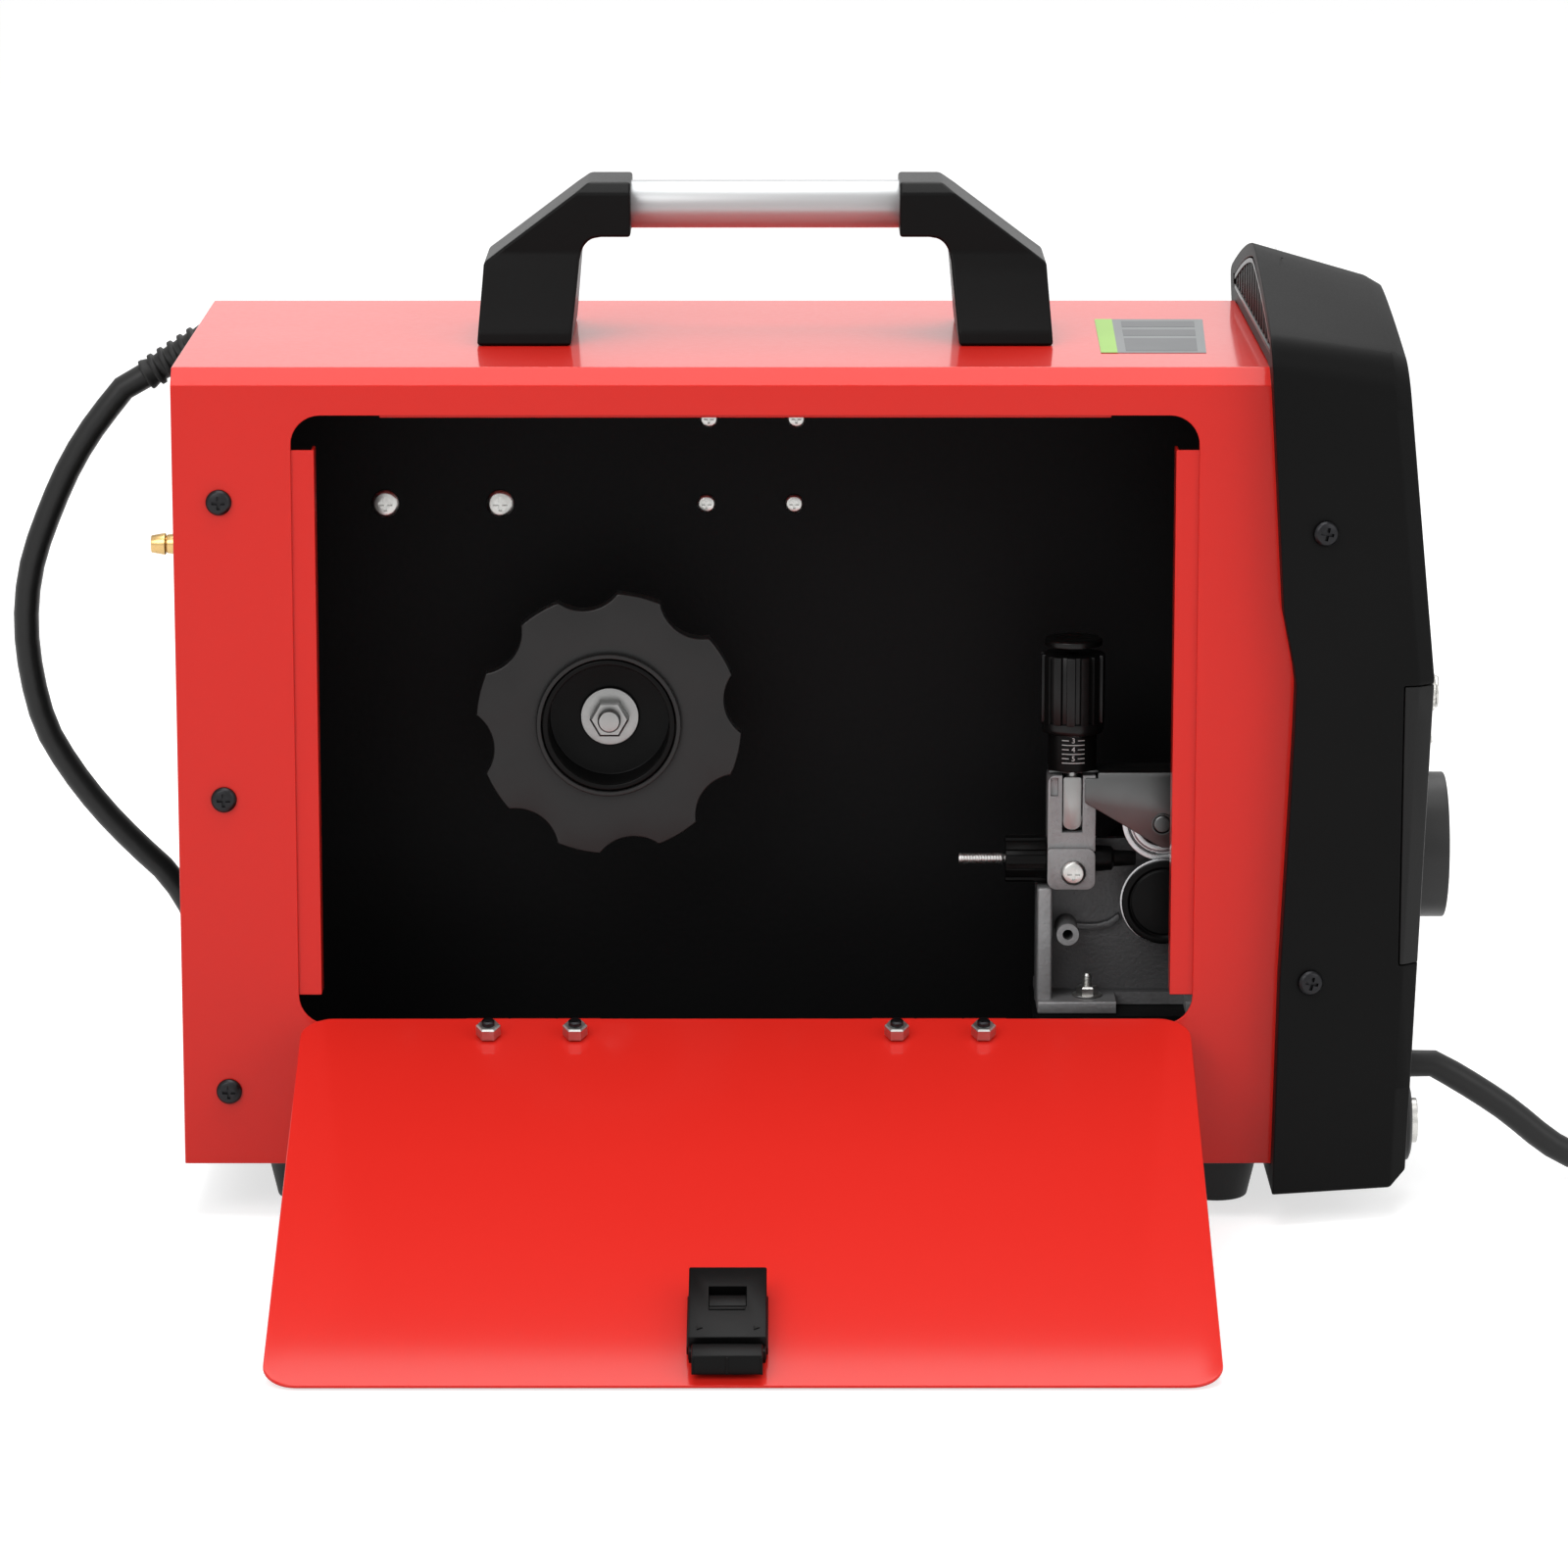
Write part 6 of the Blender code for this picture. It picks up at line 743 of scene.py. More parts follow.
# ---------------------------------------------------------------- hinges
# Two strap hinges: red leaves, rolled knuckles and a pin; screws hold the fixed leaf, and the
# door's leaf has bolts with plated hexagon nuts inside.
HINGE_XS = (-0.0995, 0.0512)
HINGE_R = 0.0025
LEAF_Y = -HALF - GAP
hex_profile = ((0, 0), (0.0040, 0), (0.0046, 0.0006), (0.0046, 0.0044), (0.0040, 0.0050),
               (0.0024, 0.0050), (0.0024, 0.0042), (0, 0.0042))
door_bolts, door_nuts = [], []
for place_name, middle in zip(("rear", "front"), HINGE_XS):
    fixed = [box((middle - 0.025, LEAF_Y - SHEET, HINGE_Z - 0.0175),
                 (middle + 0.025, LEAF_Y, HINGE_Z - 0.0029), 0.0004)]
    moving = [box((middle - 0.025, LEAF_Y - SHEET, HINGE_Z + 0.0029),
                  (middle + 0.025, LEAF_Y, HINGE_Z + 0.0175), 0.0004)]
    for group, low, high in ((fixed, -0.025, -0.009), (moving, -0.0086, 0.0086),
                             (fixed, 0.009, 0.025)):
        side = -1 if group is fixed else 1
        group.append(lathe(((0, low), (HINGE_R, low), (HINGE_R, high), (0, high)),
                           (middle, HINGE_Y, HINGE_Z), (1, 0, 0), 28, 0.0003))
        zs = sorted((HINGE_Z, HINGE_Z + side * 0.0040))
        group.append(box((middle + low, LEAF_Y - SHEET + 0.00005, zs[0]),
                         (middle + high, LEAF_Y - 0.00005, zs[1])))
    piece(f"hinge_fixed_{place_name}", together(*fixed), RED, "case",
          f"hinge_leaf_{place_name}")
    piece(f"hinge_moving_{place_name}", opened(together(*moving)), RED, "door",
          f"door_leaf_{place_name}")
    xs = (middle - 0.016, middle + 0.016)
    piece(f"hinge_screws_{place_name}",
          copies(cross_head(SCREW_HEAD_R, SCREW_HEAD),
                 [((x, LEAF_Y - SHEET, HINGE_Z - 0.0115), (0, -1, 0)) for x in xs]),
          BLACK_SCREW, "case", angle=40)
    door_bolts += xs
heads = copies(cross_head(0.0044, 0.0028),
               [((x, LEAF_Y - SHEET, HINGE_Z + 0.0135), (0, -1, 0)) for x in door_bolts])
ends = [lathe(((0, 0.0), (0.0024, 0.0), (0.0024, 0.0068), (0.0016, 0.0072), (0, 0.0072)),
              (x, -HALF + SHEET, HINGE_Z + 0.0135), (0, 1, 0), 24, 0.0002) for x in door_bolts]
piece("door_bolts", opened(together(heads, *ends)), BLACK_SCREW, "door",
      angle=40)
nuts = [lathe(hex_profile, (x, -HALF + SHEET + GAP, HINGE_Z + 0.0135), (0, 1, 0), 6, 0)
        for x in door_bolts]
piece("door_nuts", opened(together(*nuts)), ZINC, "door", angle=20)

# ---------------------------------------------------------------- slide latch
# Black moulded latch set through the door: a body with a window, and a sprung slide whose
# ribbed end hooks behind the header.
LATCH_X = -0.026
LATCH_HALF = 0.0135
LATCH_Z = HINGE_Z + 0.1724
SPLIT_Z = HINGE_Z + 0.2133
LATCH_END_Z = HINGE_Z + 0.224
INNER_Y = -HALF + SHEET


def plastic(name, tone, roughness=0.45, grain=1400.0, specular=0.2):
    """Moulded black plastic: a fine eroded grain, a little uneven in gloss."""
    made = Finish(name)
    fine = made.noise(grain, 2.0)
    cloud = made.noise(11.0, 4.0)
    return made.set(Base_Color=made.mix(cloud, (tone * 0.7,) * 3, (tone * 1.35,) * 3),
                    Roughness=cloud * 0.14 + fine * 0.10 + (roughness - 0.10),
                    Specular_IOR_Level=specular, Normal=made.bump(fine, 0.22, 0.00012))


BLACK_PLASTIC = plastic("black_plastic", 0.0040, 0.46, 1400.0, 0.07)
SATIN_PLASTIC = plastic("satin_black_plastic", 0.0036, 0.32, 900.0, 0.08)
latch_low = INNER_Y + GAP
latch_roof = latch_low + 0.0102
latch_shape = together(
    box((LATCH_X - LATCH_HALF, latch_low, LATCH_Z), (LATCH_X + LATCH_HALF, latch_roof, SPLIT_Z),
        0.0006),
    box((LATCH_X - 0.011, -HALF - 0.001, LATCH_Z + 0.004),
        (LATCH_X + 0.011, INNER_Y + 0.001, SPLIT_Z - 0.004)),
    box((LATCH_X - LATCH_HALF - 0.0016, -HALF - 0.0017, LATCH_Z - 0.0016),
        (LATCH_X + LATCH_HALF + 0.0016, -HALF - GAP, SPLIT_Z + 0.0016), 0.0006))
window = (HINGE_Z + 0.1839, HINGE_Z + 0.1957)
latch_shape = carve(latch_shape, box((LATCH_X - 0.0066, latch_roof - 0.0064, window[0]),
                                     (LATCH_X + 0.0066, latch_roof + 0.001, window[1])))
piece("latch_housing", opened(latch_shape), SATIN_PLASTIC, "door",
      "latch_body", angle=25)
latch_marks = [box((LATCH_X - 0.0066, latch_roof - 0.0030, window[0] + 0.0042),
                   (LATCH_X + 0.0066, latch_roof - 0.0006, window[1] - 0.0012), 0.0004),
               box((LATCH_X - 0.0066, latch_roof - 0.0004, window[1] + 0.0004),
                   (LATCH_X + 0.0062, latch_roof + 0.0005, window[1] + 0.0020), 0.0004)]
for end in (-1, 1):
    mark = lathe(((0, -0.0005), (0.0018, -0.0005), (0.0012, 0.0004), (0, 0.0004)),
                 (LATCH_X + end * 0.0098, latch_roof, SPLIT_Z - 0.0052), (0, 1, 0), 3, 0)
    latch_marks.append(mark)
    latch_marks.append(box(
        (LATCH_X + end * (LATCH_HALF + 0.0002) - 0.0003, latch_low + 0.0012, LATCH_Z + 0.009),
        (LATCH_X + end * (LATCH_HALF + 0.0002) + 0.0003, latch_low + 0.0042, SPLIT_Z - 0.002),
        0.0002))
piece("latch_details", opened(together(*latch_marks)), SATIN_PLASTIC, "door")
slide = [box((LATCH_X - 0.0122, INNER_Y + 0.0022, SPLIT_Z + 0.0034),
             (LATCH_X + 0.0122, latch_roof - 0.0001, LATCH_END_Z), 0.0006),
         box((LATCH_X - LATCH_HALF + GAP, INNER_Y + 0.0022, SPLIT_Z + GAP),
             (LATCH_X + LATCH_HALF - GAP, latch_roof - 0.0032, SPLIT_Z + 0.0040), 0.0004),
         box((LATCH_X - 0.006, INNER_Y + 0.0044, HINGE_Z + 0.190),
             (LATCH_X + 0.006, INNER_Y + 0.0079, SPLIT_Z + 0.003), 0.0003),
         box((LATCH_X - 0.0004, INNER_Y + 0.0026, LATCH_END_Z - 0.0010),
             (LATCH_X + 0.0004, latch_roof - 0.0006, LATCH_END_Z + 0.0004), 0.0002)]
for end in (-1, 1):
    slide.append(box((LATCH_X + end * 0.0118 - 0.0004, INNER_Y + 0.0026, LATCH_END_Z - 0.0010),
                     (LATCH_X + end * 0.0118 + 0.0004, latch_roof - 0.0006,
                      LATCH_END_Z + 0.0003), 0.0002))
piece("latch_tongue", opened(together(*slide)), SATIN_PLASTIC, "latch",
      "latch_slide", angle=25)

# ---------------------------------------------------------------- front bezel
# Black moulded shell over the case's front end: side walls that taper forwards, a sloped
# corner, an arched hood with an air outlet, and a separate panel for the torch and controls.
BEZEL_WALL = 0.0025
REAR_HALF = 0.111
SIDE_HALF = 0.1005
FACE_HALF = 0.096
BEZEL_LOW = 0.0123
SHOULDER = 0.331
CROWN = 0.354
FACE_LOW, FACE_BREAK, FACE_CROWN = 0.018, 0.205, 0.338
FACE_XS = (0.2258, 0.233, 0.2197)
CORNER = 0.006
STATIONS = (0.050, 0.095, 0.149, 0.175, 0.189, 0.198, 0.205, 0.212, 0.232, 0.285, 0.305)
RIM = ((0.0123, 0.175), (0.095, 0.1766), (0.149, 0.179), (0.189, 0.1806), (0.207, 0.181),
       (0.232, 0.176), (0.331, 0.170), (0.354, 0.1708))
ARCH_SHARES = (0.84, 0.76, 0.68, 0.6, 0.52, 0.44, 0.36, 0.28, 0.19, 0.1)
SHOULDER_R = 0.014
ARCH_POWER = 1.35


def rim_x(z):
    """Fore and aft place of the bezel's rear rim."""
    return float(np.interp(z, [p[0] for p in RIM], [p[1] for p in RIM]))


def face_x(z):
    """Fore and aft place of the bezel's front face."""
    return float(np.interp(z, (FACE_LOW, FACE_BREAK, FACE_CROWN), FACE_XS))


def arch(y, inset=0.0):
    """Height of the hood's top at its rear rim."""
    return SHOULDER + (CROWN - SHOULDER) * (1 - (abs(y) / REAR_HALF) ** ARCH_POWER) - inset


def bezel_ring(shape, half, low, shoulder, crown, x_at, flat_top=False):
    """One closed section of the bezel as edges."""
    right = [(0, low), (half, low)] + [(half, z) for z in STATIONS]
    slope = 0.0 if flat_top else ARCH_POWER * (crown - shoulder) / half
    turn = math.pi / 2 - math.atan(slope)
    r = 0.002 if flat_top else SHOULDER_R
    start = shoulder - r * math.tan(turn / 2)
    right += [(half - r + r * math.cos(turn * i / 6), start + r * math.sin(turn * i / 6))
              for i in range(7)]
    for share in ARCH_SHARES:
        rise = 1.0 if flat_top else 1 - share ** ARCH_POWER
        right.append((half * share, shoulder + (crown - shoulder) * rise))
    right.append((0, crown))
    loop = [shape.verts.new((x_at(z), y, z)) for y, z in
            right + [(-y, z) for y, z in reversed(right[1:-1])]]
    return [shape.edges.new(pair) for pair in zip(loop, loop[1:] + loop[:1])]


def walled(shape, thickness):
    """The shape with a wall of one thickness on its inner side."""
    work = bpy.data.meshes.new("work")
    shape.to_mesh(work)
    shape.free()
    thing = bpy.data.objects.new("work", work)
    bpy.context.scene.collection.objects.link(thing)
    sheet = thing.modifiers.new("wall", "SOLIDIFY")
    sheet.thickness, sheet.offset, sheet.use_even_offset = thickness, -1, True
    made = bpy.data.meshes.new_from_object(
        thing.evaluated_get(bpy.context.evaluated_depsgraph_get()))
    result = bmesh.new()
    result.from_mesh(made)
    bpy.data.objects.remove(thing, do_unlink=True)
    bpy.data.meshes.remove(work)
    bpy.data.meshes.remove(made)
    return result


def bezel_shell():
    shape = bmesh.new()
    rings = [bezel_ring(shape, HALF + 0.0004, FOOT_HEIGHT - 0.0004, CASE_TOP - EDGE_FOLD,
                        CASE_TOP + 0.0004, rim_x, True),
             bezel_ring(shape, REAR_HALF, BEZEL_LOW, SHOULDER, CROWN, rim_x),
             bezel_ring(shape, SIDE_HALF, BEZEL_LOW, CASE_TOP + 0.0035, FACE_CROWN + 0.0035,
                        lambda z: face_x(z) - CORNER),
             bezel_ring(shape, FACE_HALF, FACE_LOW, CASE_TOP, FACE_CROWN, face_x)]
    for back, front in zip(rings, rings[1:]):
        bmesh.ops.bridge_loops(shape, edges=back + front)
    face_verts = [e.verts[0] for e in rings[-1]]
    breaks = [v for v in face_verts if abs(v.co.z - FACE_BREAK) < 1e-6]
    bmesh.ops.contextual_create(shape, geom=rings[-1])
    bmesh.ops.connect_verts(shape, verts=breaks)
    bmesh.ops.recalc_face_normals(shape, faces=shape.faces)
    shape.normal_update()
    front = max(shape.faces, key=lambda f: f.calc_center_median().x)
    if front.normal.x < 0:
        bmesh.ops.reverse_faces(shape, faces=shape.faces)
    return walled(shape, BEZEL_WALL)


def rod(start, end, radius, steps=48):
    """A plain round bar between two points, for holes."""
    start, end = Vector(start), Vector(end)
    return lathe(((0, 0), (radius, 0), (radius, (end - start).length),
                  (0, (end - start).length)), start, end - start, steps, 0)


TORCH_AT = (-0.038, 0.130)
TORCH_R = 0.0275
OUTPUT_AT = ((-0.065, 0.029), (0.065, 0.029))
KNOB_AT = (-0.008, 0.183)
TOGGLE_AT = (-0.008, 0.1635)
CONTROL_AT = (0.010, 0.084)
LEAD_AT = (-0.043, 0.0455)
INSERT_X = 0.2214
INSERT_LOW, INSERT_HIGH = 0.0975, 0.203
bezel = carve(bezel_shell(), box((INSERT_X, -0.12, INSERT_LOW), (0.25, 0.12, INSERT_HIGH)))
vent_top = [(y, arch(y, 0.0055)) for y in np.linspace(0.094, -0.094, 25)]
vent = flat_sheet([(-0.094, CASE_TOP + 0.0052), (0.094, CASE_TOP + 0.0052)] + vent_top, [],
                  lambda u, v: (rim_x(CASE_TOP) - 0.010, u, v))
drawn = bmesh.ops.extrude_face_region(vent, geom=vent.faces[:])["geom"]
bmesh.ops.translate(vent, verts=[v for v in drawn if isinstance(v, bmesh.types.BMVert)],
                    vec=(0.020, 0, 0))
bmesh.ops.recalc_face_normals(vent, faces=vent.faces)
bezel = carve(bezel, vent)
for (y, z), r in ((OUTPUT_AT[0], 0.0123), (OUTPUT_AT[1], 0.0123), (LEAD_AT, 0.0081),
                  (CONTROL_AT, 0.0081)):
    bezel = carve(bezel, rod((0.205, y, z), (0.245, y, z), r))
piece("bezel_shell", bezel, BLACK_PLASTIC, "case", "front_bezel",
      ease=0.0007, segments=2, angle=24)

insert = carve(bezel_shell(), box((INSERT_X + GAP, -0.12, INSERT_LOW + GAP),
                                  (0.25, 0.12, INSERT_HIGH - GAP)), "INTERSECT")
for (y, z), r in ((TORCH_AT, TORCH_R + GAP), (KNOB_AT, 0.0034), (TOGGLE_AT, 0.0046)):
    insert = carve(insert, rod((0.205, y, z), (0.245, y, z), r))
PANEL_PLASTIC = plastic("panel_plastic", 0.0100, 0.38, 900.0, 0.16)
piece("control_panel", insert, PANEL_PLASTIC, "case", "control_insert",
      ease=0.0005, segments=2, angle=24)

# The outlet's frame and its upright fins, moulded in one with the hood.
rim = rim_x(CASE_TOP)
fins = []
for i in range(-7, 8):
    y = i * 0.0125
    fins.append(box((rim + 0.0005, y - 0.0007, CASE_TOP + 0.0060),
                    (rim + 0.0075, y + 0.0007, arch(y, 0.0062)), 0.0003, 2))
for z in (CASE_TOP + 0.0056, ):
    fins.append(box((rim, -0.094, z - 0.0010), (rim + 0.008, 0.094, z + 0.0010), 0.0004, 2))
top_rail = bent([(y, arch(y, 0.0060)) for y in np.linspace(0.0936, -0.0936, 25)],
                rim, rim + 0.008, lambda u, v, w: (w, u, v))
fins.append(walled(turn_to(top_rail, (0, 0, 1)), 0.0016))
VENT_PLASTIC = plastic("vent_plastic", 0.0075, 0.30, 900.0, 0.5)
piece("vent_fins", together(*fins), VENT_PLASTIC, "case", angle=30)

bezel_places = []
for x, z in ((0.191, 0.261), (0.188, 0.093)):
    reach = (x - rim_x(z)) / (face_x(z) - CORNER - rim_x(z))
    slope = (REAR_HALF - SIDE_HALF) / (face_x(z) - CORNER - rim_x(z))
    side_y = REAR_HALF + (SIDE_HALF - REAR_HALF) * reach
    bezel_places += [((x, s * side_y, z), (slope, s, 0)) for s in (-1, 1)]
piece("bezel_screws", copies(cross_head(SCREW_HEAD_R, SCREW_HEAD), bezel_places), BLACK_SCREW,
      "case", angle=40)

# ---------------------------------------------------------------- display window
# Smoked acrylic window over the display, with a thin moulded frame.
WINDOW_AT = 0.262
window_lean = math.atan2(FACE_XS[1] - FACE_XS[2], FACE_CROWN - FACE_BREAK)
smoked = Finish("smoked_window")
haze = smoked.noise(35.0, 3.0)
smoked.set(Base_Color=(0.004, 0.005, 0.007), Roughness=haze * 0.06 + 0.03,
           Specular_IOR_Level=0.4, Coat_Weight=0.4)


def on_face(shape, z):
    """Leans a shape drawn round the origin, with its outer side to +X, onto the upper face."""
    bmesh.ops.rotate(shape, verts=shape.verts, matrix=Matrix.Rotation(-window_lean, 3, "Y"))
    bmesh.ops.translate(shape, verts=shape.verts, vec=(face_x(z), 0, z))
    return shape


pane = on_face(box((GAP, -0.056, -0.030), (0.0017, 0.056, 0.030), 0.0006), WINDOW_AT)
piece("display_pane", pane, smoked.material, "case", "display_window")
surround = carve(box((-0.0005, -0.0600, -0.0340), (0.0021, 0.0600, 0.0340), 0.0008),
                 box((-0.002, -0.0563, -0.0303), (0.004, 0.0563, 0.0303)))
piece("display_surround", on_face(surround, WINDOW_AT), SATIN_PLASTIC, "case",
      angle=25)

# ---------------------------------------------------------------- torch socket
# Glass-filled collar with a keyed groove and a plated core for the torch plug.
SEAT_X = 0.1881
DARK_PLASTIC = plastic("dark_nylon", 0.016, 0.42, 1000.0, 0.35)
front = 0.2434
collar = ((0.0210, front), (TORCH_R, front), (TORCH_R, SEAT_X), (0.008, SEAT_X),
          (0.008, 0.1723), (0.0016, 0.1723), (0.0016, front - 0.026), (0.006, front - 0.026),
          (0.006, front - 0.005), (0.017, front - 0.005), (0.017, front - 0.011),
          (0.0210, front - 0.011))
piece("torch_collar", lathe(collar, (0, *TORCH_AT), (1, 0, 0), 72, 0.0007, True), DARK_PLASTIC,
      "case", "torch_socket")
core = [lathe(((0.0061, front - 0.0049), (0.0105, front - 0.0049), (0.0105, front - 0.0041),
               (0.0061, front - 0.0041)), (0, *TORCH_AT), (1, 0, 0), 48, 0.0002, True)]
for degrees in (35, 80, 145, 215, 270, 325):
    a = math.radians(degrees)
    core.append(lathe(((0, front - 0.0055), (0.0012, front - 0.0055), (0.0012, front - 0.0020),
                       (0, front - 0.0020)), (0, TORCH_AT[0] + 0.0135 * math.cos(a),
                                              TORCH_AT[1] + 0.0135 * math.sin(a)),
                      (1, 0, 0), 16, 0.0003))
piece("torch_contacts", together(*core), BRASS, "case")

# ---------------------------------------------------------------- output sockets
# Two bayonet sockets: a ribbed black ring in the bezel and a plated threaded sleeve.
for side, (y, z) in zip(("near", "far"), OUTPUT_AT):
    collar_x = face_x(z) + 0.001
    tip = collar_x + 0.0055
    socket = ((0, tip - 0.024), (0.0048, tip - 0.024), (0.0048, tip), (0.0085, tip),
              (0.0085, collar_x), (0.012, collar_x), (0.012, SEAT_X), (0, SEAT_X))
    piece(f"output_socket_{side}_sleeve", lathe(socket, (0, y, z), (1, 0, 0), 56, 0.0004),
          NICKEL, "case", f"output_socket_{side}")
    ring = lathe(((0.0088, collar_x - 0.0002), (0.0150, collar_x - 0.0002),
                  (0.0150, collar_x + 0.0020), (0.0125, collar_x + 0.0030),
                  (0.0088, collar_x + 0.0030)), (0, y, z), (1, 0, 0), 64, 0.0005, True)
    piece(f"output_socket_{side}_ring", ring, DARK_PLASTIC, "case")

# ---------------------------------------------------------------- small controls
# Plated remote socket, knurled knob, ball-ended toggle and the lead's rubber grommet.
y, z = CONTROL_AT
tip = face_x(z) + 0.0105
control = [(0, tip - 0.006), (0.0064, tip - 0.006), (0.0064, tip), (0.0078, tip)]
for i in range(5):
    control += [(0.0078, tip - 0.0012 - i * 0.0014), (0.0073, tip - 0.0016 - i * 0.0014),
                (0.0073, tip - 0.0022 - i * 0.0014), (0.0078, tip - 0.0026 - i * 0.0014)]
control += [(0.0078, SEAT_X), (0, SEAT_X)]
nut = lathe(((0.0079, face_x(z) + 0.0003), (0.0105, face_x(z) + 0.0003),
             (0.0105, face_x(z) + 0.0025), (0.0079, face_x(z) + 0.0025)), (0, y, z), (1, 0, 0),
            6, 0, True)
piece("control_socket_shell", together(lathe(control, (0, y, z), (1, 0, 0), 48, 0.0001), nut),
      NICKEL, "case", "control_socket", angle=30)
pins = [rod((tip - 0.0062, y + 0.0032 * math.cos(a), z + 0.0032 * math.sin(a)),
            (tip - 0.0025, y + 0.0032 * math.cos(a), z + 0.0032 * math.sin(a)), 0.0006, 12)
        for a in np.linspace(0, 2 * math.pi, 6)[:-1]]
piece("control_socket_pins", together(*pins), BRASS, "case")


def ribbed_bar(radius, depth, ribs, low, high, ease=0.0003):
    """A round bar along Z with square-topped ribs, its edges eased."""
    line = []
    for i in range(ribs):
        for share, r in ((0.0, radius), (0.28, radius), (0.55, radius), (0.63, radius - depth),
                         (0.92, radius - depth)):
            a = 2 * math.pi * (i + share) / ribs
            line.append((r * math.cos(a), r * math.sin(a)))
    shape = flat_sheet(line, [], lambda u, v: (u, v, low))
    drawn = bmesh.ops.extrude_face_region(shape, geom=shape.faces[:])["geom"]
    bmesh.ops.translate(shape, verts=[v for v in drawn if isinstance(v, bmesh.types.BMVert)],
                        vec=(0, 0, high - low))
    bmesh.ops.recalc_face_normals(shape, faces=shape.faces)
    ends = [e for e in shape.edges if len(e.link_faces) == 2
            and abs(e.verts[0].co.z - e.verts[1].co.z) < 1e-7 and e.calc_face_angle(0) > 1.0]
    bmesh.ops.bevel(shape, geom=ends, offset=ease, offset_type="OFFSET", affect="EDGES",
                    segments=2, profile=0.5, material=-1, clamp_overlap=True)
    return shape


def stood(shape, at, facing):
    """A shape drawn along Z, put at a place and turned along a direction."""
    lean = Vector((0, 0, 1)).rotation_difference(Vector(facing)).to_matrix()
    bmesh.ops.rotate(shape, verts=shape.verts, matrix=lean)
    bmesh.ops.translate(shape, verts=shape.verts, vec=Vector(at))
    return shape


back = face_x(KNOB_AT[1]) + 0.0012
knob = together(stood(ribbed_bar(0.0075, 0.0004, 24, 0, 0.0085), (back, *KNOB_AT), (1, 0, 0)),
                lathe(((0, 0.0084), (0.0062, 0.0084), (0.0062, 0.010), (0, 0.010)),
                      (back, *KNOB_AT), (1, 0, 0), 40, 0.0005),
                rod((back - 0.009, *KNOB_AT), (back + 0.001, *KNOB_AT), 0.003, 24),
                box((back + 0.0099, KNOB_AT[0] - 0.0005, KNOB_AT[1] + 0.001),
                    (back + 0.0104, KNOB_AT[0] + 0.0005, KNOB_AT[1] + 0.0058), 0.0001))
piece("control_knob_body", knob, NICKEL, "control_knob", "control_knob", angle=30)
lever = [(0, 0.0125), (0.0026, 0.0125), (0.0028, 0.0110), (0.0022, 0.0085)]
lever += [(0.0042 * math.cos(math.radians(a)), 0.0042 * math.sin(math.radians(a)))
          for a in (58, 40, 20, 0, -20, -40, -60, -80)] + [(0, -0.0042)]
toggle_heading = (math.cos(math.radians(10)), 0, math.sin(math.radians(10)))
piece("toggle_lever", lathe(lever, (FACE_XS[1] - 0.004, *TOGGLE_AT), toggle_heading, 40, 0.0001),
      NICKEL, "toggle", "toggle_switch")
y, z = LEAD_AT
lip = face_x(z) + 0.0008
piece("lead_grommet_rubber",
      lathe(((0, lip + 0.0025), (0.0098, lip + 0.0025), (0.0098, lip), (0.0078, lip),
             (0.0078, lip - 0.007), (0, lip - 0.007)), (0, y, z), (1, 0, 0), 48, 0.0007),
      RUBBER, "case", "lead_grommet")

# ---------------------------------------------------------------- handle legs
# Two moulded black legs on the case top, wide at the foot and narrower at the grip, each
# held by two studs from below.
HANDLE_Z = CASE_TOP + GAP
LEG_SIDE = ((0.1075, 0), (0.1054, 0.0292), (0.0661, 0.0588), (0.0504, 0.0588),
            (0.0504, 0.0385), (0.0615, 0.0385), (0.0650, 0.0379), (0.0672, 0.0362),
            (0.0686, 0.0339), (0.0695, 0.0298), (0.0724, 0))
LEG_LEVELS = (-0.001, 0.0, 0.005, 0.024, 0.033, 0.0548, 0.0588)
LEG_HALVES = (0.038, 0.038, 0.037, 0.025, 0.0215, 0.0215, 0.0175)
for node, end in (("handle_leg_rear", -1), ("handle_leg_front", 1)):
    leg = flat_sheet([(HANDLE_MIDDLE_X + end * x, z) for x, z in LEG_SIDE], [],
                     lambda u, v: (u, -1.0, v))
    bmesh.ops.dissolve_limit(leg, angle_limit=0.02, verts=leg.verts, edges=leg.edges)
    drawn = bmesh.ops.extrude_face_region(leg, geom=leg.faces[:])["geom"]
    bmesh.ops.translate(leg, verts=[v for v in drawn if isinstance(v, bmesh.types.BMVert)],
                        vec=(0, 2.0, 0))
    for level in LEG_LEVELS[2:-1]:
        bmesh.ops.bisect_plane(leg, geom=leg.verts[:] + leg.edges[:] + leg.faces[:],
                               plane_co=(0, 0, level), plane_no=(0, 0, 1), dist=1e-6)
    for v in leg.verts:
        v.co.y *= float(np.interp(v.co.z, LEG_LEVELS, LEG_HALVES))
        v.co.z += HANDLE_Z
    bmesh.ops.recalc_face_normals(leg, faces=leg.faces)
    piece(node + "_moulding", leg, SATIN_PLASTIC, "case", node, ease=0.0011,
          segments=3, angle=16)

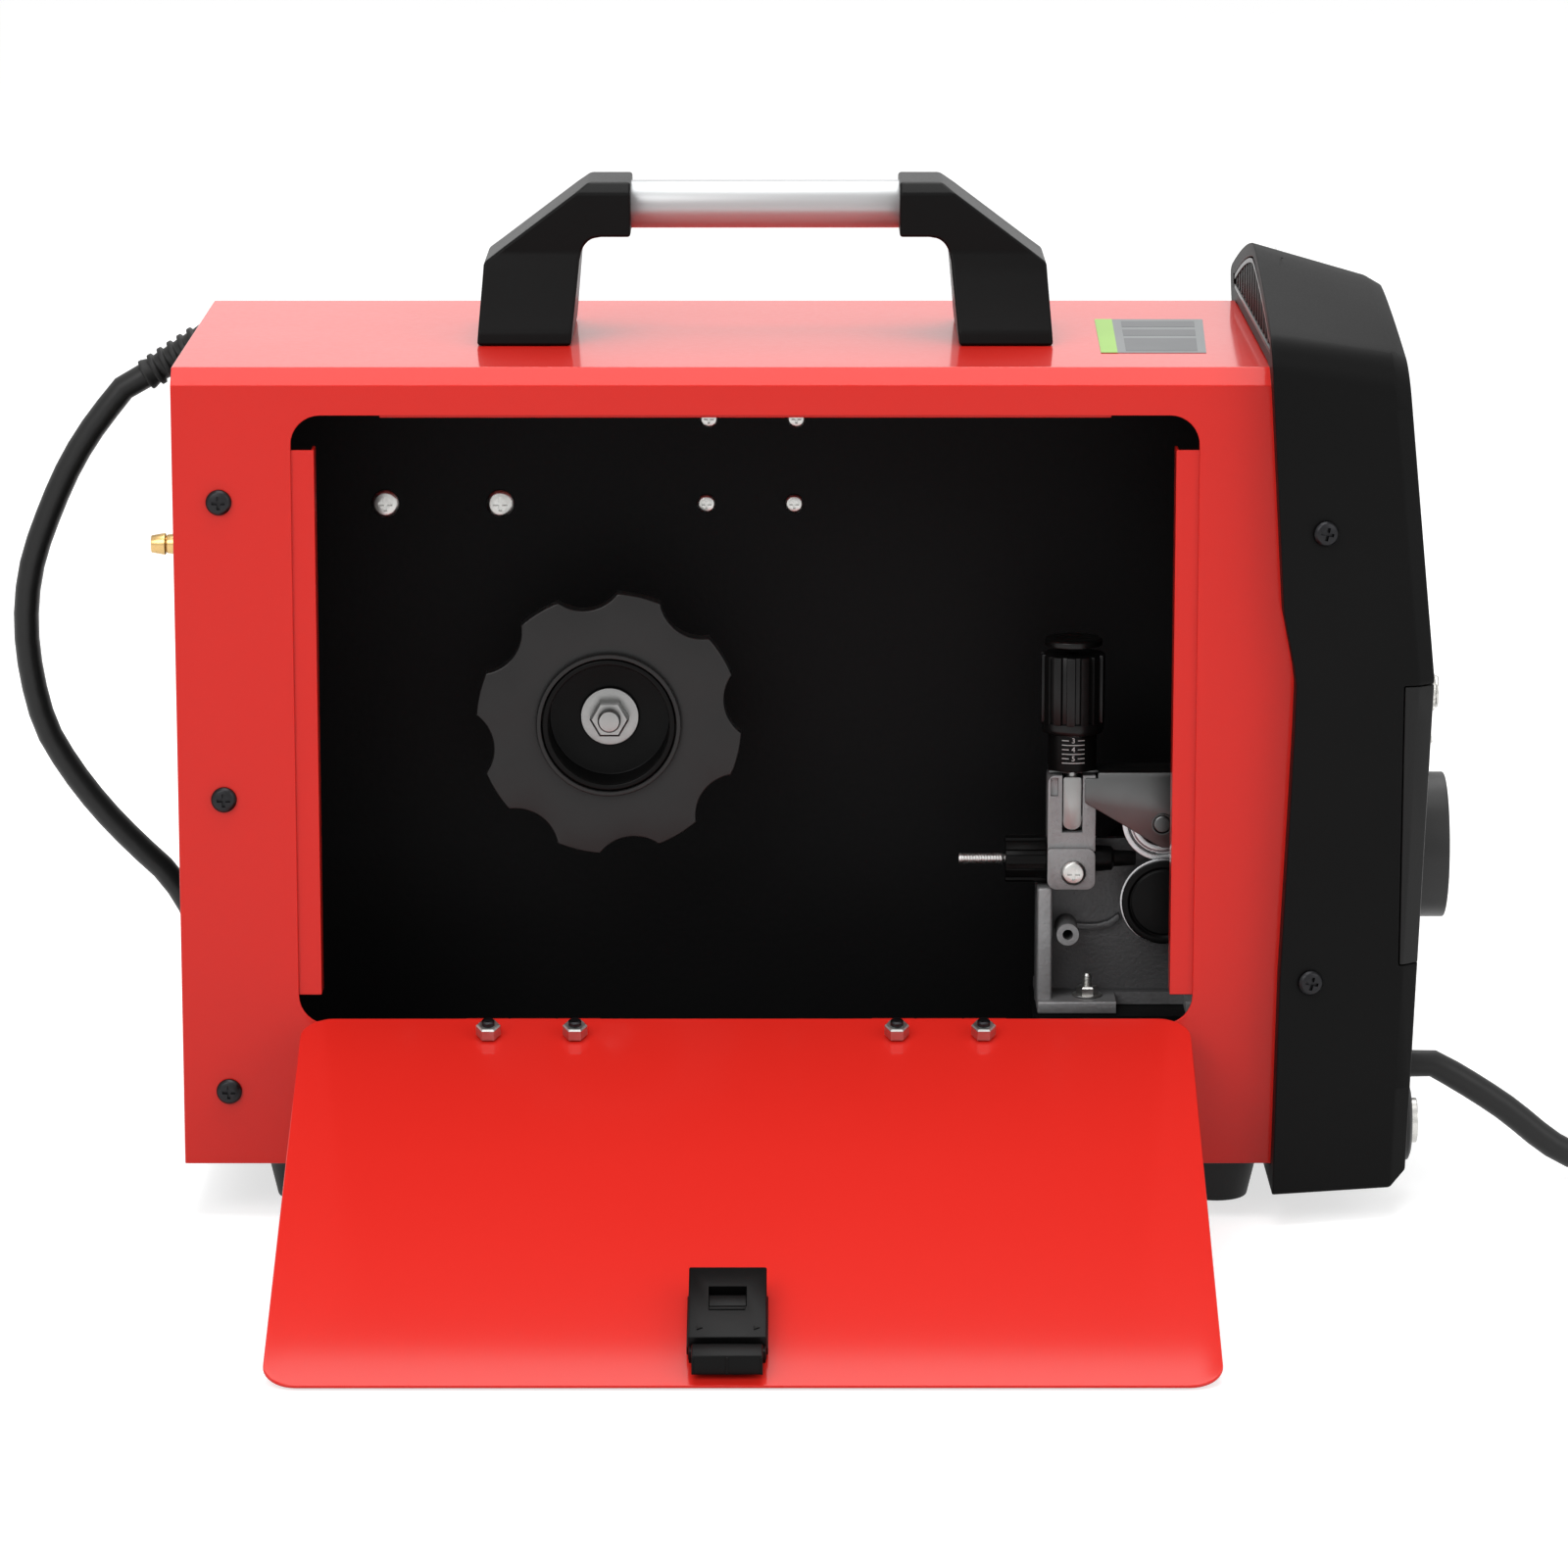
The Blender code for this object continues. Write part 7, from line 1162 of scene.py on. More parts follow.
# ---------------------------------------------------------------- handle tube
# Thin-walled aluminium tube, brushed along its length, with its ends inside the legs.
TUBE_HALF = 0.0641
brushed = Finish("brushed_aluminium")
lines = brushed.noise(240.0, 5.0, brushed.place((0.04, 1.0, 1.0)))
streak = brushed.noise(60.0, 3.0, brushed.place((0.02, 1.0, 1.0)))
brushed.set(Base_Color=brushed.mix(streak, (0.30, 0.31, 0.315), (0.50, 0.51, 0.515)),
            Metallic=0.45, Roughness=lines * 0.18 + 0.26,
            Normal=brushed.bump(lines, 0.35, 0.00012))
piece("grip_tube", lathe(((0, -TUBE_HALF), (0.009, -TUBE_HALF), (0.009, TUBE_HALF),
                          (0, TUBE_HALF)), (HANDLE_MIDDLE_X, 0, HANDLE_Z + 0.0486), (1, 0, 0),
                         72, 0.0003), brushed.material, "case", "handle_tube")

# ---------------------------------------------------------------- top label
# A plain grey foil label on the case top, with one green end and three blank panels.
LABEL_CORNERS = ((0.1110, -0.0560), (0.1500, -0.0560), (0.1545, 0.0360), (0.1130, 0.0360))


def foil_part(low_u, low_v, high_u, high_v, rise):
    """A thin panel of the label, from shares of its length and depth."""
    (ax, ay), (bx, by), (cx, cy), (dx, dy) = LABEL_CORNERS
    spots = []
    for u, v in ((low_u, low_v), (high_u, low_v), (high_u, high_v), (low_u, high_v)):
        near, deep = (ax + (bx - ax) * u, ay + (by - ay) * u), (dx + (cx - dx) * u, dy)
        spots.append((near[0] + (deep[0] - near[0]) * v, near[1] + (deep[1] - near[1]) * v))
    shape = bmesh.new()
    rings = [[shape.verts.new((x, y, CASE_TOP + z)) for x, y in spots] for z in (-0.0001, rise)]
    shape.faces.new(rings[0][::-1])
    shape.faces.new(rings[1])
    for k in range(4):
        shape.faces.new((rings[0][k], rings[0][(k + 1) % 4], rings[1][(k + 1) % 4], rings[1][k]))
    return shape


foil = Finish("grey_foil_label")
gloss = foil.noise(30.0, 2.0)
foil.set(Base_Color=foil.mix(gloss, (0.10, 0.11, 0.115), (0.14, 0.15, 0.155)), Roughness=0.32)
piece("top_label", foil_part(0, 0, 1, 1, 0.00018), foil.material, "case")
green = Finish("green_foil")
shade = green.noise(30.0, 2.0)
green.set(Base_Color=green.mix(shade, (0.20, 0.42, 0.03), (0.26, 0.50, 0.05)), Roughness=0.35)
piece("top_label_band", foil_part(0.0, 0.0, 0.16, 1.0, 0.00024), green.material, "case")
panels = [foil_part(0.24, low, 0.92, high, 0.00024)
          for low, high in ((0.05, 0.42), (0.50, 0.68), (0.76, 0.94))]
pale_ink = Finish("pale_label_panel")
fade = pale_ink.noise(60.0, 2.0)
pale_ink.set(Base_Color=pale_ink.mix(fade, (0.06, 0.065, 0.07), (0.09, 0.095, 0.10)),
             Roughness=0.4)
piece("top_label_panels", together(*panels), pale_ink.material, "case")

# ---------------------------------------------------------------- spool hub
# Moulded hub cup with a friction bolt, and the eight-lobed nut that holds the spool.
HUB_AT = (-0.0723, 0, 0.178)
hub = ((0.0228, 0.049), (0.025, 0.049), (0.025, -0.0097), (0.031, -0.0097), (0.031, -0.0147),
       (0.0043, -0.0147), (0.0043, 0.030), (0.0228, 0.030))
piece("hub_cup", lathe(hub, HUB_AT, (0, -1, 0), 72, 0.0006, True), SATIN_PLASTIC, "spool",
      "spool_hub")
outline = []
for i in range(8):
    a = math.radians(99 + 45 * i)
    x, z = 0.0601 * math.cos(a), 0.0601 * math.sin(a)
    reach = math.acos((0.0601 ** 2 + 0.016 ** 2 - 0.050 ** 2) / (2 * 0.0601 * 0.016))
    bite = [a + math.pi + reach * (1 - k / 10) for k in range(21)]
    outline += [(x + 0.016 * math.cos(b), z + 0.016 * math.sin(b)) for b in bite]
    ends = [math.atan2(outline[-1][1], outline[-1][0])]
    width = math.radians(45) - 2 * abs((ends[0] - a + math.pi) % (2 * math.pi) - math.pi)
    outline += [(0.050 * math.cos(ends[0] + width * k / 8), 0.050 * math.sin(ends[0] + width * k / 8))
                for k in range(1, 8)]
bore = [(0.0254 * math.cos(math.radians(5 * k)), 0.0254 * math.sin(math.radians(5 * k)))
        for k in range(72)]
flange = flat_sheet(outline, [bore], lambda u, v: (HUB_AT[0] + u, -0.0385, HUB_AT[2] + v))
drawn = bmesh.ops.extrude_face_region(flange, geom=flange.faces[:])["geom"]
bmesh.ops.translate(flange, verts=[v for v in drawn if isinstance(v, bmesh.types.BMVert)],
                    vec=(0, -0.0085, 0))
bmesh.ops.recalc_face_normals(flange, faces=flange.faces)
lips = [e for e in flange.edges if len(e.link_faces) == 2 and e.calc_face_angle(0) > 1.2
        and abs(e.verts[0].co.y - e.verts[1].co.y) < 1e-6]
bmesh.ops.bevel(flange, geom=lips, offset=0.0009, offset_type="OFFSET", affect="EDGES",
                segments=3, profile=0.5, material=-1, clamp_overlap=True)
collar = lathe(((0.0254, 0.0495), (0.0272, 0.0495), (0.0272, 0.0460), (0.0254, 0.0460)),
               HUB_AT, (0, -1, 0), 96, 0.0005, True)
lobed = plastic("lobed_nut_plastic", 0.0115, 0.34, 300.0, 0.28)
piece("hub_lobed_nut", together(flange, collar), lobed, "spool",
      "hub_flange_nut", angle=30)
hub_bolt = together(
    lathe(((0, 0.0425), (0.004, 0.0425), (0.004, -0.0165), (0.0075, -0.0165), (0.0075, -0.022),
           (0, -0.022)), HUB_AT, (0, -1, 0), 40, 0.0005),
    lathe(((0.0041, 0.0318), (0.011, 0.0318), (0.011, 0.0303), (0.0041, 0.0303)), HUB_AT,
          (0, -1, 0), 64, 0.0004, True),
    lathe(((0.0041, 0.0383), (0.0066, 0.0383), (0.0075, 0.0377), (0.0075, 0.0318),
           (0.0041, 0.0318)), HUB_AT, (0, -1, 0), 6, 0, True),
    lathe([(0.0040, 0.0384)] + [(r, 0.0388 + i * 0.0009 + d) for i in range(4)
                                for r, d in ((0.0043, 0.0), (0.0039, 0.00045))]
          + [(0.0036, 0.0424)], HUB_AT, (0, -1, 0), 40, 0))
GREY_ZINC = metal("grey_zinc", (0.34, 0.34, 0.335), 0.36, 0.10, scale=240.0)
piece("hub_bolt", hub_bolt, GREY_ZINC, "case", "spool_shaft", angle=25)

# ---------------------------------------------------------------- feeder plate
# Die-cast aluminium body of the wire feeder: back plate, end rims, guide clamp, yoke and
# foot, with its draft and cast skin left as they come from the die. Its colour carries
# painted shade, darker from the near rims back towards the plate.
PLATE_REAR, PLATE_FRONT = 0.0895, 0.172
PLATE_LOW, PLATE_HIGH = 0.0665, 0.130
PLATE_Y = -0.028
RIM_Y = -0.046
WIRE = (-0.038, 0.1245)
LEVER_X = 0.1025
cast = Finish("die_cast_aluminium")
skin = cast.noise(700.0, 4.0)
flow = cast.noise(40.0, 4.0)
pits = cast.ramp(cast.noise(1500.0, 2.0), (0.62, 0.0), (0.74, 1.0))
# Painted shade: the colour darkens with depth from the rims' face back to the plate, in place of the
# shade in the recess.
depth = cast.node("ShaderNodeSeparateXYZ", None, {"Vector": cast.place()}, out="Y")
deep = cast.ramp((depth + (0.046 - MACHINE.y)) * 60.0, (0.30, 0.0), (0.95, 1.0))
outer = cast.mix(flow, (0.18, 0.18, 0.183), (0.34, 0.34, 0.345))
inner = cast.mix(flow, (0.07, 0.07, 0.072), (0.13, 0.13, 0.133))
cast.set(Base_Color=cast.mix(deep, outer, inner), Metallic=0.6,
         Roughness=skin * 0.25 + flow * 0.15 + 0.32,
         Normal=cast.bump(skin - pits * 0.5, 0.6, 0.0003))
YOKE_Y = -0.0456
EYE = (0.1012, 0.0965)


def pad(outline, near, far, soft=0.0008, plane=(0, -1, 0)):
    """A plate drawn in X and Z between two depths, with eased edges."""
    shape = flat_sheet(outline, [], lambda u, v: (u, near, v))
    bmesh.ops.dissolve_limit(shape, angle_limit=0.01, verts=shape.verts, edges=shape.edges)
    grown = bmesh.ops.extrude_face_region(shape, geom=shape.faces[:])["geom"]
    bmesh.ops.translate(shape, verts=[v for v in grown if isinstance(v, bmesh.types.BMVert)],
                        vec=(0, far - near, 0))
    bmesh.ops.recalc_face_normals(shape, faces=shape.faces)
    bmesh.ops.bevel(shape, geom=shape.edges[:], offset=soft, offset_type="OFFSET",
                    affect="EDGES", segments=2, profile=0.5, material=-1, clamp_overlap=True)
    return shape


def rounded_outline(low, high, corners, steps=6):
    """Corner points of an upright rectangle, with a radius for each corner from the low left."""
    places = ((low[0], low[1], 180), (high[0], low[1], 270), (high[0], high[1], 0),
              (low[0], high[1], 90))
    points = []
    for (x, z, start), r in zip(places, corners):
        if r <= 0:
            points.append((x, z))
            continue
        cx = x + r if x == low[0] else x - r
        cz = z + r if z == low[1] else z - r
        points += [(cx + r * math.cos(math.radians(start + 90 * k / steps)),
                    cz + r * math.sin(math.radians(start + 90 * k / steps)))
                   for k in range(steps + 1)]
    return points


plate = flat_sheet([(PLATE_REAR, PLATE_LOW), (PLATE_FRONT, PLATE_LOW), (PLATE_FRONT, 0.1545),
                    (0.153, 0.1545), (0.146, PLATE_HIGH), (PLATE_REAR, PLATE_HIGH)], [],
                   lambda u, v: (u, PLATE_Y, v))
plate = walled(turn_to(plate, (0, -1, 0)), 0.004)
root = PLATE_Y + 0.001
for low, high, soft in (
        ((PLATE_REAR + 0.0001, RIM_Y, PLATE_LOW + 0.0001), (0.0953, root, 0.1147), 0.0012),
        ((0.165, RIM_Y, 0.1145), (PLATE_FRONT - 0.0001, root, 0.133), 0.0012),
        ((PLATE_REAR + 0.0002, -0.050, PLATE_LOW), (PLATE_FRONT - 0.0002, -0.006, 0.0713), 0.0008)):
    plate = carve(plate, box(low, high, soft, 3), "UNION")
plate = carve(plate, pad(rounded_outline((0.0932, 0.1145), (0.1112, PLATE_HIGH + 0.0002),
                                         (0.0034, 0.0030, 0.0030, 0.0012)),
                         -0.048, root, 0.0007), "UNION")
plate = carve(plate, pad(rounded_outline((0.0933, 0.1288), (0.1113, 0.158),
                                         (0, 0, 0.0006, 0.0028)), YOKE_Y, root, 0.0006), "UNION")
rib = [(0.1040, 0.0952), (0.1085, 0.0946), (0.1135, 0.0948), (0.1180, 0.0958), (0.1222, 0.0992),
       (0.1210, 0.1012), (0.1172, 0.0985), (0.1132, 0.0974), (0.1085, 0.0972), (0.1040, 0.0978)]
plate = carve(plate, pad(rib, PLATE_Y - 0.0030, root, 0.0005), "UNION")
for x, z, r, reach in ((0.163, 0.147, 0.004, -0.0478), (*EYE, 0.0042, RIM_Y)):
    plate = carve(plate, rod((x, root, z), (x, reach, z), r, 40), "UNION")
plate = carve(plate, box((LEVER_X - 0.0039, -0.056, 0.136), (LEVER_X + 0.0039, -0.0335, 0.168)))
plate = carve(plate, box((0.0942, YOKE_Y - 0.001, 0.1500), (0.0972, YOKE_Y + 0.0022, 0.1572),
                         0.0004))
plate = carve(plate, box((0.1195, -0.052, PLATE_LOW - 0.001), (0.146, -0.034, 0.0723)))
for start, end, r in (((0.084, *WIRE), (0.117, *WIRE), 0.0053),
                      ((0.160, *WIRE), (0.177, *WIRE), 0.003),
                      ((EYE[0], -0.048, EYE[1]), (EYE[0], -0.019, EYE[1]), 0.002),
                      ((0.1375, -0.037, 0.109), (0.1375, -0.017, 0.109), 0.0052),
                      ((0.109, -0.040, 0.060), (0.109, -0.040, 0.075), 0.0022),
                      ((0.158, -0.040, 0.060), (0.158, -0.040, 0.075), 0.0022)):
    plate = carve(plate, rod(start, end, r, 32))
piece("feeder_casting", plate, cast.material, "case", "feeder_plate", angle=30)
clamp_screw = copies(cross_head(SCREW_HEAD_R, 0.0022), [((0.1030, -0.048, 0.121), (0, -1, 0))])
piece("clamp_screw", clamp_screw, ZINC, "case", angle=40)

# ---------------------------------------------------------------- feeder bolts
# Two plated studs with washers and hexagon nuts hold the casting to its bracket.
for node, x in (("feeder_bolt_rear", 0.109), ("feeder_bolt_front", 0.158)):
    top = 0.0802
    bolt = together(
        lathe([(0, 0.0620), (0.0042, 0.0620), (0.0042, 0.0647), (0.0019, 0.0648),
               (0.0019, 0.0755)] + [(r, 0.0755 + i * 0.0005 + d) for i in range(8)
                                    for r, d in ((0.0019, 0.0), (0.0016, 0.00025))]
              + [(0.0013, top), (0, top)], (x, -0.040, 0), (0, 0, 1), 28, 0),
        lathe(((0.0020, 0.0716), (0.0056, 0.0716), (0.0056, 0.0723), (0.0020, 0.0723)),
              (x, -0.040, 0), (0, 0, 1), 40, 0.0002, True),
        lathe(((0.0020, 0.0723), (0.0042, 0.0723), (0.0042, 0.0747), (0.0036, 0.0753),
               (0.0020, 0.0753)), (x, -0.040, 0), (0, 0, 1), 6, 0, True))
    piece(node + "_set", bolt, ZINC, "case", node, angle=25)

# ---------------------------------------------------------------- drive and pressure rollers
# Hardened rollers with a wire groove; the drive roller is under a black screw-on cap.
DRIVE = (0.1375, 0, 0.109)
PRESS = (0.1365, 0, 0.1396)
near, far = 0.043, 0.033
TURNED_STEEL = metal("turned_steel", (0.50, 0.50, 0.51), 0.30, 0.12, scale=900.0)
groove = [(0.015, near), (0.015, 0.0388), (0.0142, 0.038), (0.015, 0.0372), (0.015, far)]
drive = [(0, near)] + groove + [(0.006, far), (0.006, 0.0283), (0.004, 0.0283), (0.004, 0.0142),
                                (0, 0.0142)]
piece("drive_roller_steel", lathe(drive, DRIVE, (0, -1, 0), 64, 0.0003), TURNED_STEEL,
      "drive_roller", "drive_roller")
cap = lathe(((0, 0.0464), (0.0122, 0.0464), (0.0128, 0.0457), (0.0136, 0.0466),
             (0.0160, 0.0464), (0.0160, 0.0436), (0, 0.0436)), DRIVE, (0, -1, 0), 64, 0.0004)
piece("roller_cap_moulding", cap, SATIN_PLASTIC, "drive_roller", "roller_cap")
ring = lathe(((0.0120, 0.0442), (0.0166, 0.0442), (0.0166, 0.0433), (0.0120, 0.0433)), DRIVE,
             (0, -1, 0), 72, 0.0002, True)
piece("roller_cap_ring", ring, TURNED_STEEL, "drive_roller")
idler = [(0.0044, near), (0.0062, near), (0.0066, near - 0.0007), (0.0088, near - 0.0007),
         (0.0092, near), (0.0112, near), (0.0116, near - 0.0006), (0.0124, near - 0.0006),
         (0.0128, near)] + groove + [(0.0044, far)]
piece("pressure_roller_steel", lathe(idler, PRESS, (0, -1, 0), 64, 0.0003, True), TURNED_STEEL,
      "pressure_roller", "pressure_roller")

# ---------------------------------------------------------------- pressure arm
# Plated channel pressed from 1.2 mm steel, hinged on the casting, with the idler's pin.
ARM_TOP = 0.1595
arm_low = ((0.1365, 0.1304), (0.143, 0.1304), (0.160, 0.139), (0.1675, 0.1425), (0.169, 0.149),
           (0.1685, ARM_TOP - 0.0003))
arm_near = ((0.112, ARM_TOP - 0.0003), (0.112, 0.1572), (0.1072, 0.1572),
            (0.1072, 0.1478)) + arm_low
arm_far = ((0.112, ARM_TOP - 0.0003), (0.112, 0.1444)) + arm_low
arm = []
for y, side in ((-0.0472, arm_near), (-0.0300, arm_far)):
    arm.append(pad(side, y, y + SHEET, 0.00035))
arm += [box((0.1121, -0.0471, ARM_TOP - SHEET), (0.1684, -0.0289, ARM_TOP), 0.0005),
        box((0.0935, -0.0425, ARM_TOP - SHEET + 0.00005), (0.1135, -0.0302, ARM_TOP - 0.00005),
            0.0003),
        lathe(((0, 0.0291), (0.0034, 0.0291), (0.0034, 0.0478), (0.0028, 0.0482), (0, 0.0482)),
              PRESS, (0, -1, 0), 40, 0.0002),
        lathe(((0.0036, 0.0471), (0.0041, 0.0471), (0.0041, 0.0477), (0.0036, 0.0477)), PRESS,
              (0, -1, 0), 40, 0.0001, True)]
arm = together(*arm)
PLATED = metal("plated_pressing", (0.115, 0.118, 0.118), 0.34, 0.05, scale=120.0)
piece("pressure_arm_channel", arm, PLATED, "pressure_arm", "pressure_arm", angle=25)

# ---------------------------------------------------------------- tension unit
# Swing bolt in the yoke's slot, with a scaled spring barrel and a ribbed black knob on it.
LEVER_Y = -0.040
PIVOT_Z = 0.1405
tongue = pad(rounded_outline((LEVER_X - 0.0035, PIVOT_Z - 0.0038), (LEVER_X + 0.0035, 0.157),
                             (0.0034, 0.0034, 0.001, 0.001)), LEVER_Y - 0.004, LEVER_Y + 0.004,
             0.0006)
swing = together(tongue,
                 rod((LEVER_X - 0.0035, LEVER_Y, PIVOT_Z), (LEVER_X + 0.0035, LEVER_Y, PIVOT_Z),
                     0.004, 40),
                 rod((LEVER_X, LEVER_Y, 0.156), (LEVER_X, LEVER_Y, 0.204), 0.0025, 32),
                 rod((LEVER_X - 0.0065, LEVER_Y, PIVOT_Z), (LEVER_X + 0.0065, LEVER_Y, PIVOT_Z),
                     0.0015, 24))
piece("swing_bolt_steel", swing, GREY_ZINC, "tension_lever", "swing_bolt", angle=25)
barrel = ((0.0029, 0.189), (0.00915, 0.189), (0.00915, ARM_TOP + GAP), (0.0029, ARM_TOP + GAP))
piece("tension_barrel_body", lathe(barrel, (LEVER_X, LEVER_Y, 0), (0, 0, 1), 64, 0.0005, True),
      SATIN_PLASTIC, "tension_barrel", "tension_barrel")

ink = Finish("white_scale_ink")
wear = ink.noise(500.0, 3.0)
ink.set(Base_Color=ink.mix(wear, (0.42, 0.42, 0.42), (0.70, 0.70, 0.70)), Roughness=0.5)


def wrapped(shape, radius):
    """Bends a shape drawn flat in X and Z round the barrel's front."""
    for v in shape.verts:
        a = v.co.x / radius
        v.co = Vector((LEVER_X + (radius - v.co.y) * math.sin(a),
                       LEVER_Y - (radius - v.co.y) * math.cos(a), v.co.z))
    return shape


scale = []
marks = [(-0.0044, 0.0044, 0.1633 + i * 0.00345) for i in range(4)]
for i in range(3):
    z = 0.16503 + i * 0.00345
    marks += [(-0.0044, -0.0017, z), (0.0017, 0.0044, z)]
for low, high, z in marks:
    mark = box((low, -0.00006, z), (high, 0.0001, z + 0.00026))
    bmesh.ops.subdivide_edges(mark, edges=[e for e in mark.edges if abs(
        e.verts[0].co.x - e.verts[1].co.x) > 1e-4], cuts=5, use_grid_fill=True)
    scale.append(wrapped(mark, 0.00915))
for i, digit in enumerate("543"):
    text = bpy.data.curves.new("digit", "FONT")
    text.body, text.size, text.extrude = digit, 0.0028, 0.00008
    text.align_x, text.align_y = "CENTER", "CENTER"
    holder = bpy.data.objects.new("digit", text)
    bpy.context.scene.collection.objects.link(holder)
    drawn = bpy.data.meshes.new_from_object(
        holder.evaluated_get(bpy.context.evaluated_depsgraph_get()))
    bpy.data.objects.remove(holder, do_unlink=True)
    bpy.data.curves.remove(text)
    number = bmesh.new()
    number.from_mesh(drawn)
    bpy.data.meshes.remove(drawn)
    bmesh.ops.rotate(number, verts=number.verts, matrix=Matrix.Rotation(math.pi / 2, 3, "X"))
    bmesh.ops.translate(number, verts=number.verts, vec=(0, 0, 0.16514 + i * 0.00345))
    scale.append(wrapped(number, 0.00915))
piece("tension_scale", together(*scale), ink.material, "tension_barrel")

KNOB_LOW, KNOB_TOP = 0.174, 0.210
knob = together(
    ribbed_bar(0.01215, 0.0011, 14, KNOB_LOW + 0.004, KNOB_TOP - 0.0060, 0.0004),
    lathe(((0, 0.0), (0.01185, 0.0), (0.01165, 0.0046), (0.0108, 0.0054), (0, 0.0054)),
          (0, 0, KNOB_TOP - 0.0066), (0, 0, 1), 64, 0.0004),
    lathe(((0.00955, 0.0), (0.0112, 0.0), (0.0118, 0.0015), (0.0118, 0.0044),
           (0.00955, 0.0044)), (0, 0, KNOB_LOW), (0, 0, 1), 64, 0.0004, True),
    lathe(((0, 0.0), (0.0110, 0.0), (0.0110, 0.0020), (0.0102, 0.0026), (0.0060, 0.0026),
           (0.0056, 0.0022), (0, 0.0022)), (0, 0, KNOB_TOP - 0.0026), (0, 0, 1), 64, 0.0003))
knob = carve(knob, rod((0, 0, KNOB_LOW - 0.003), (0, 0, KNOB_TOP - 0.0165), 0.00955, 64))
bmesh.ops.translate(knob, verts=knob.verts, vec=(LEVER_X, LEVER_Y, 0))
KNOB_PLASTIC = plastic("knob_plastic", 0.0040, 0.30, 700.0, 0.22)
piece("tension_knob_body", knob, KNOB_PLASTIC, "tension_knob",
      "tension_knob", angle=28)

# ---------------------------------------------------------------- wire guide
# Steel inlet tube with a thread, clamped in the casting, and its ribbed black nut.
thread = [(0.0009, 0.060), (0.0017, 0.060)]
for i in range(15):
    x = 0.0604 + i * 0.0011
    thread += [(0.0021, x + 0.0004), (0.0016, x + 0.0009)]
thread += [(0.0016, 0.0776), (0.0016, 0.0935), (0.005, 0.0935), (0.005, 0.1108), (0.0009, 0.1108)]
BRIGHT_ZINC = metal("bright_zinc", (0.86, 0.86, 0.85), 0.38, 0.04, scale=300.0)
piece("inlet_tube", lathe(thread, (0, *WIRE), (1, 0, 0), 32, 0, True), BRIGHT_ZINC, "case",
      "inlet_guide", angle=50)
nozzle = ((0.0009, 0.1108), (0.0050, 0.1108), (0.0050, 0.1122), (0.0046, 0.1178),
          (0.0032, 0.1186), (0.0028, 0.127), (0.0009, 0.127))
piece("inlet_nozzle", lathe(nozzle, (0, *WIRE), (1, 0, 0), 40, 0.0002, True), SATIN_PLASTIC,
      "case", angle=35)
nut = together(stood(ribbed_bar(0.0090, 0.0008, 10, 0.0, 0.0154), (0.0775, *WIRE), (1, 0, 0)))
nut = carve(nut, rod((0.074, *WIRE), (0.097, *WIRE), 0.0019, 24))
piece("guide_nut_body", nut, SATIN_PLASTIC, "case", "guide_nut", angle=28)

# ---------------------------------------------------------------- strain relief
# Ribbed rubber boot on a collar in the rear panel, turned down along the cord.
PANEL_X = -0.2295
collar = lathe(((0, 0.0033), (0.0095, 0.0033), (0.0095, 0.0003), (0.0075, 0.0003),
                (0.0075, -0.0077), (0, -0.0077)), (PANEL_X, 0.078, 0.3065), (-1, 0, 0), 48,
               0.0006)
pitch = RELIEF_LENGTH / 6
boot = [(0, -0.001), (0.0068, -0.001)]
for i in range(5):
    low = (i + 0.75) * pitch
    r = 0.0062 + 0.0016 * (1 - low / RELIEF_LENGTH)
    boot += [(r - 0.0013, low - 0.0006), (r, low), (r, low + 0.35 * pitch),
             (r - 0.0013, low + 0.42 * pitch)]
boot += [(0.0062, RELIEF_LENGTH - 0.0010), (0.0062, RELIEF_LENGTH), (0, RELIEF_LENGTH)]
boot = lathe(boot, RELIEF_AT, relief_heading, 48, 0.0002)
piece("strain_relief_boot", together(collar, boot), RUBBER, "case", "strain_relief")

# ---------------------------------------------------------------- gas inlet
# Turned brass hose barb with its lock nut; the valve's body is behind the panel.
GAS_AT = (0.040, 0.232)
tip = 0.0215 + 0.0005
r = 0.00435
barb = ((0, tip - 0.012), (0.0021, tip - 0.012), (0.0021, tip), (r * 0.78, tip),
        (r, tip - 0.0055), (0.0031, tip - 0.006), (r * 0.85, tip - 0.0062), (r, tip - 0.0115),
        (0.0031, tip - 0.012), (0.0031, 0.0032), (0.0046, 0.0030), (0.0046, -0.0045),
        (0, -0.0045))
gas = together(lathe(barb, (PANEL_X, *GAS_AT), (-1, 0, 0), 48, 0.0002),
               lathe(((0.0032, 0.0003), (0.0075, 0.0003), (0.0075, 0.0024), (0.0066, 0.0030),
                      (0.0032, 0.0030)), (PANEL_X, *GAS_AT), (-1, 0, 0), 6, 0, True),
               box((-0.2268, 0.028, 0.212), (-0.1890, 0.052, 0.252), 0.001))
piece("gas_barb", gas, BRASS, "case", "gas_valve", angle=28)

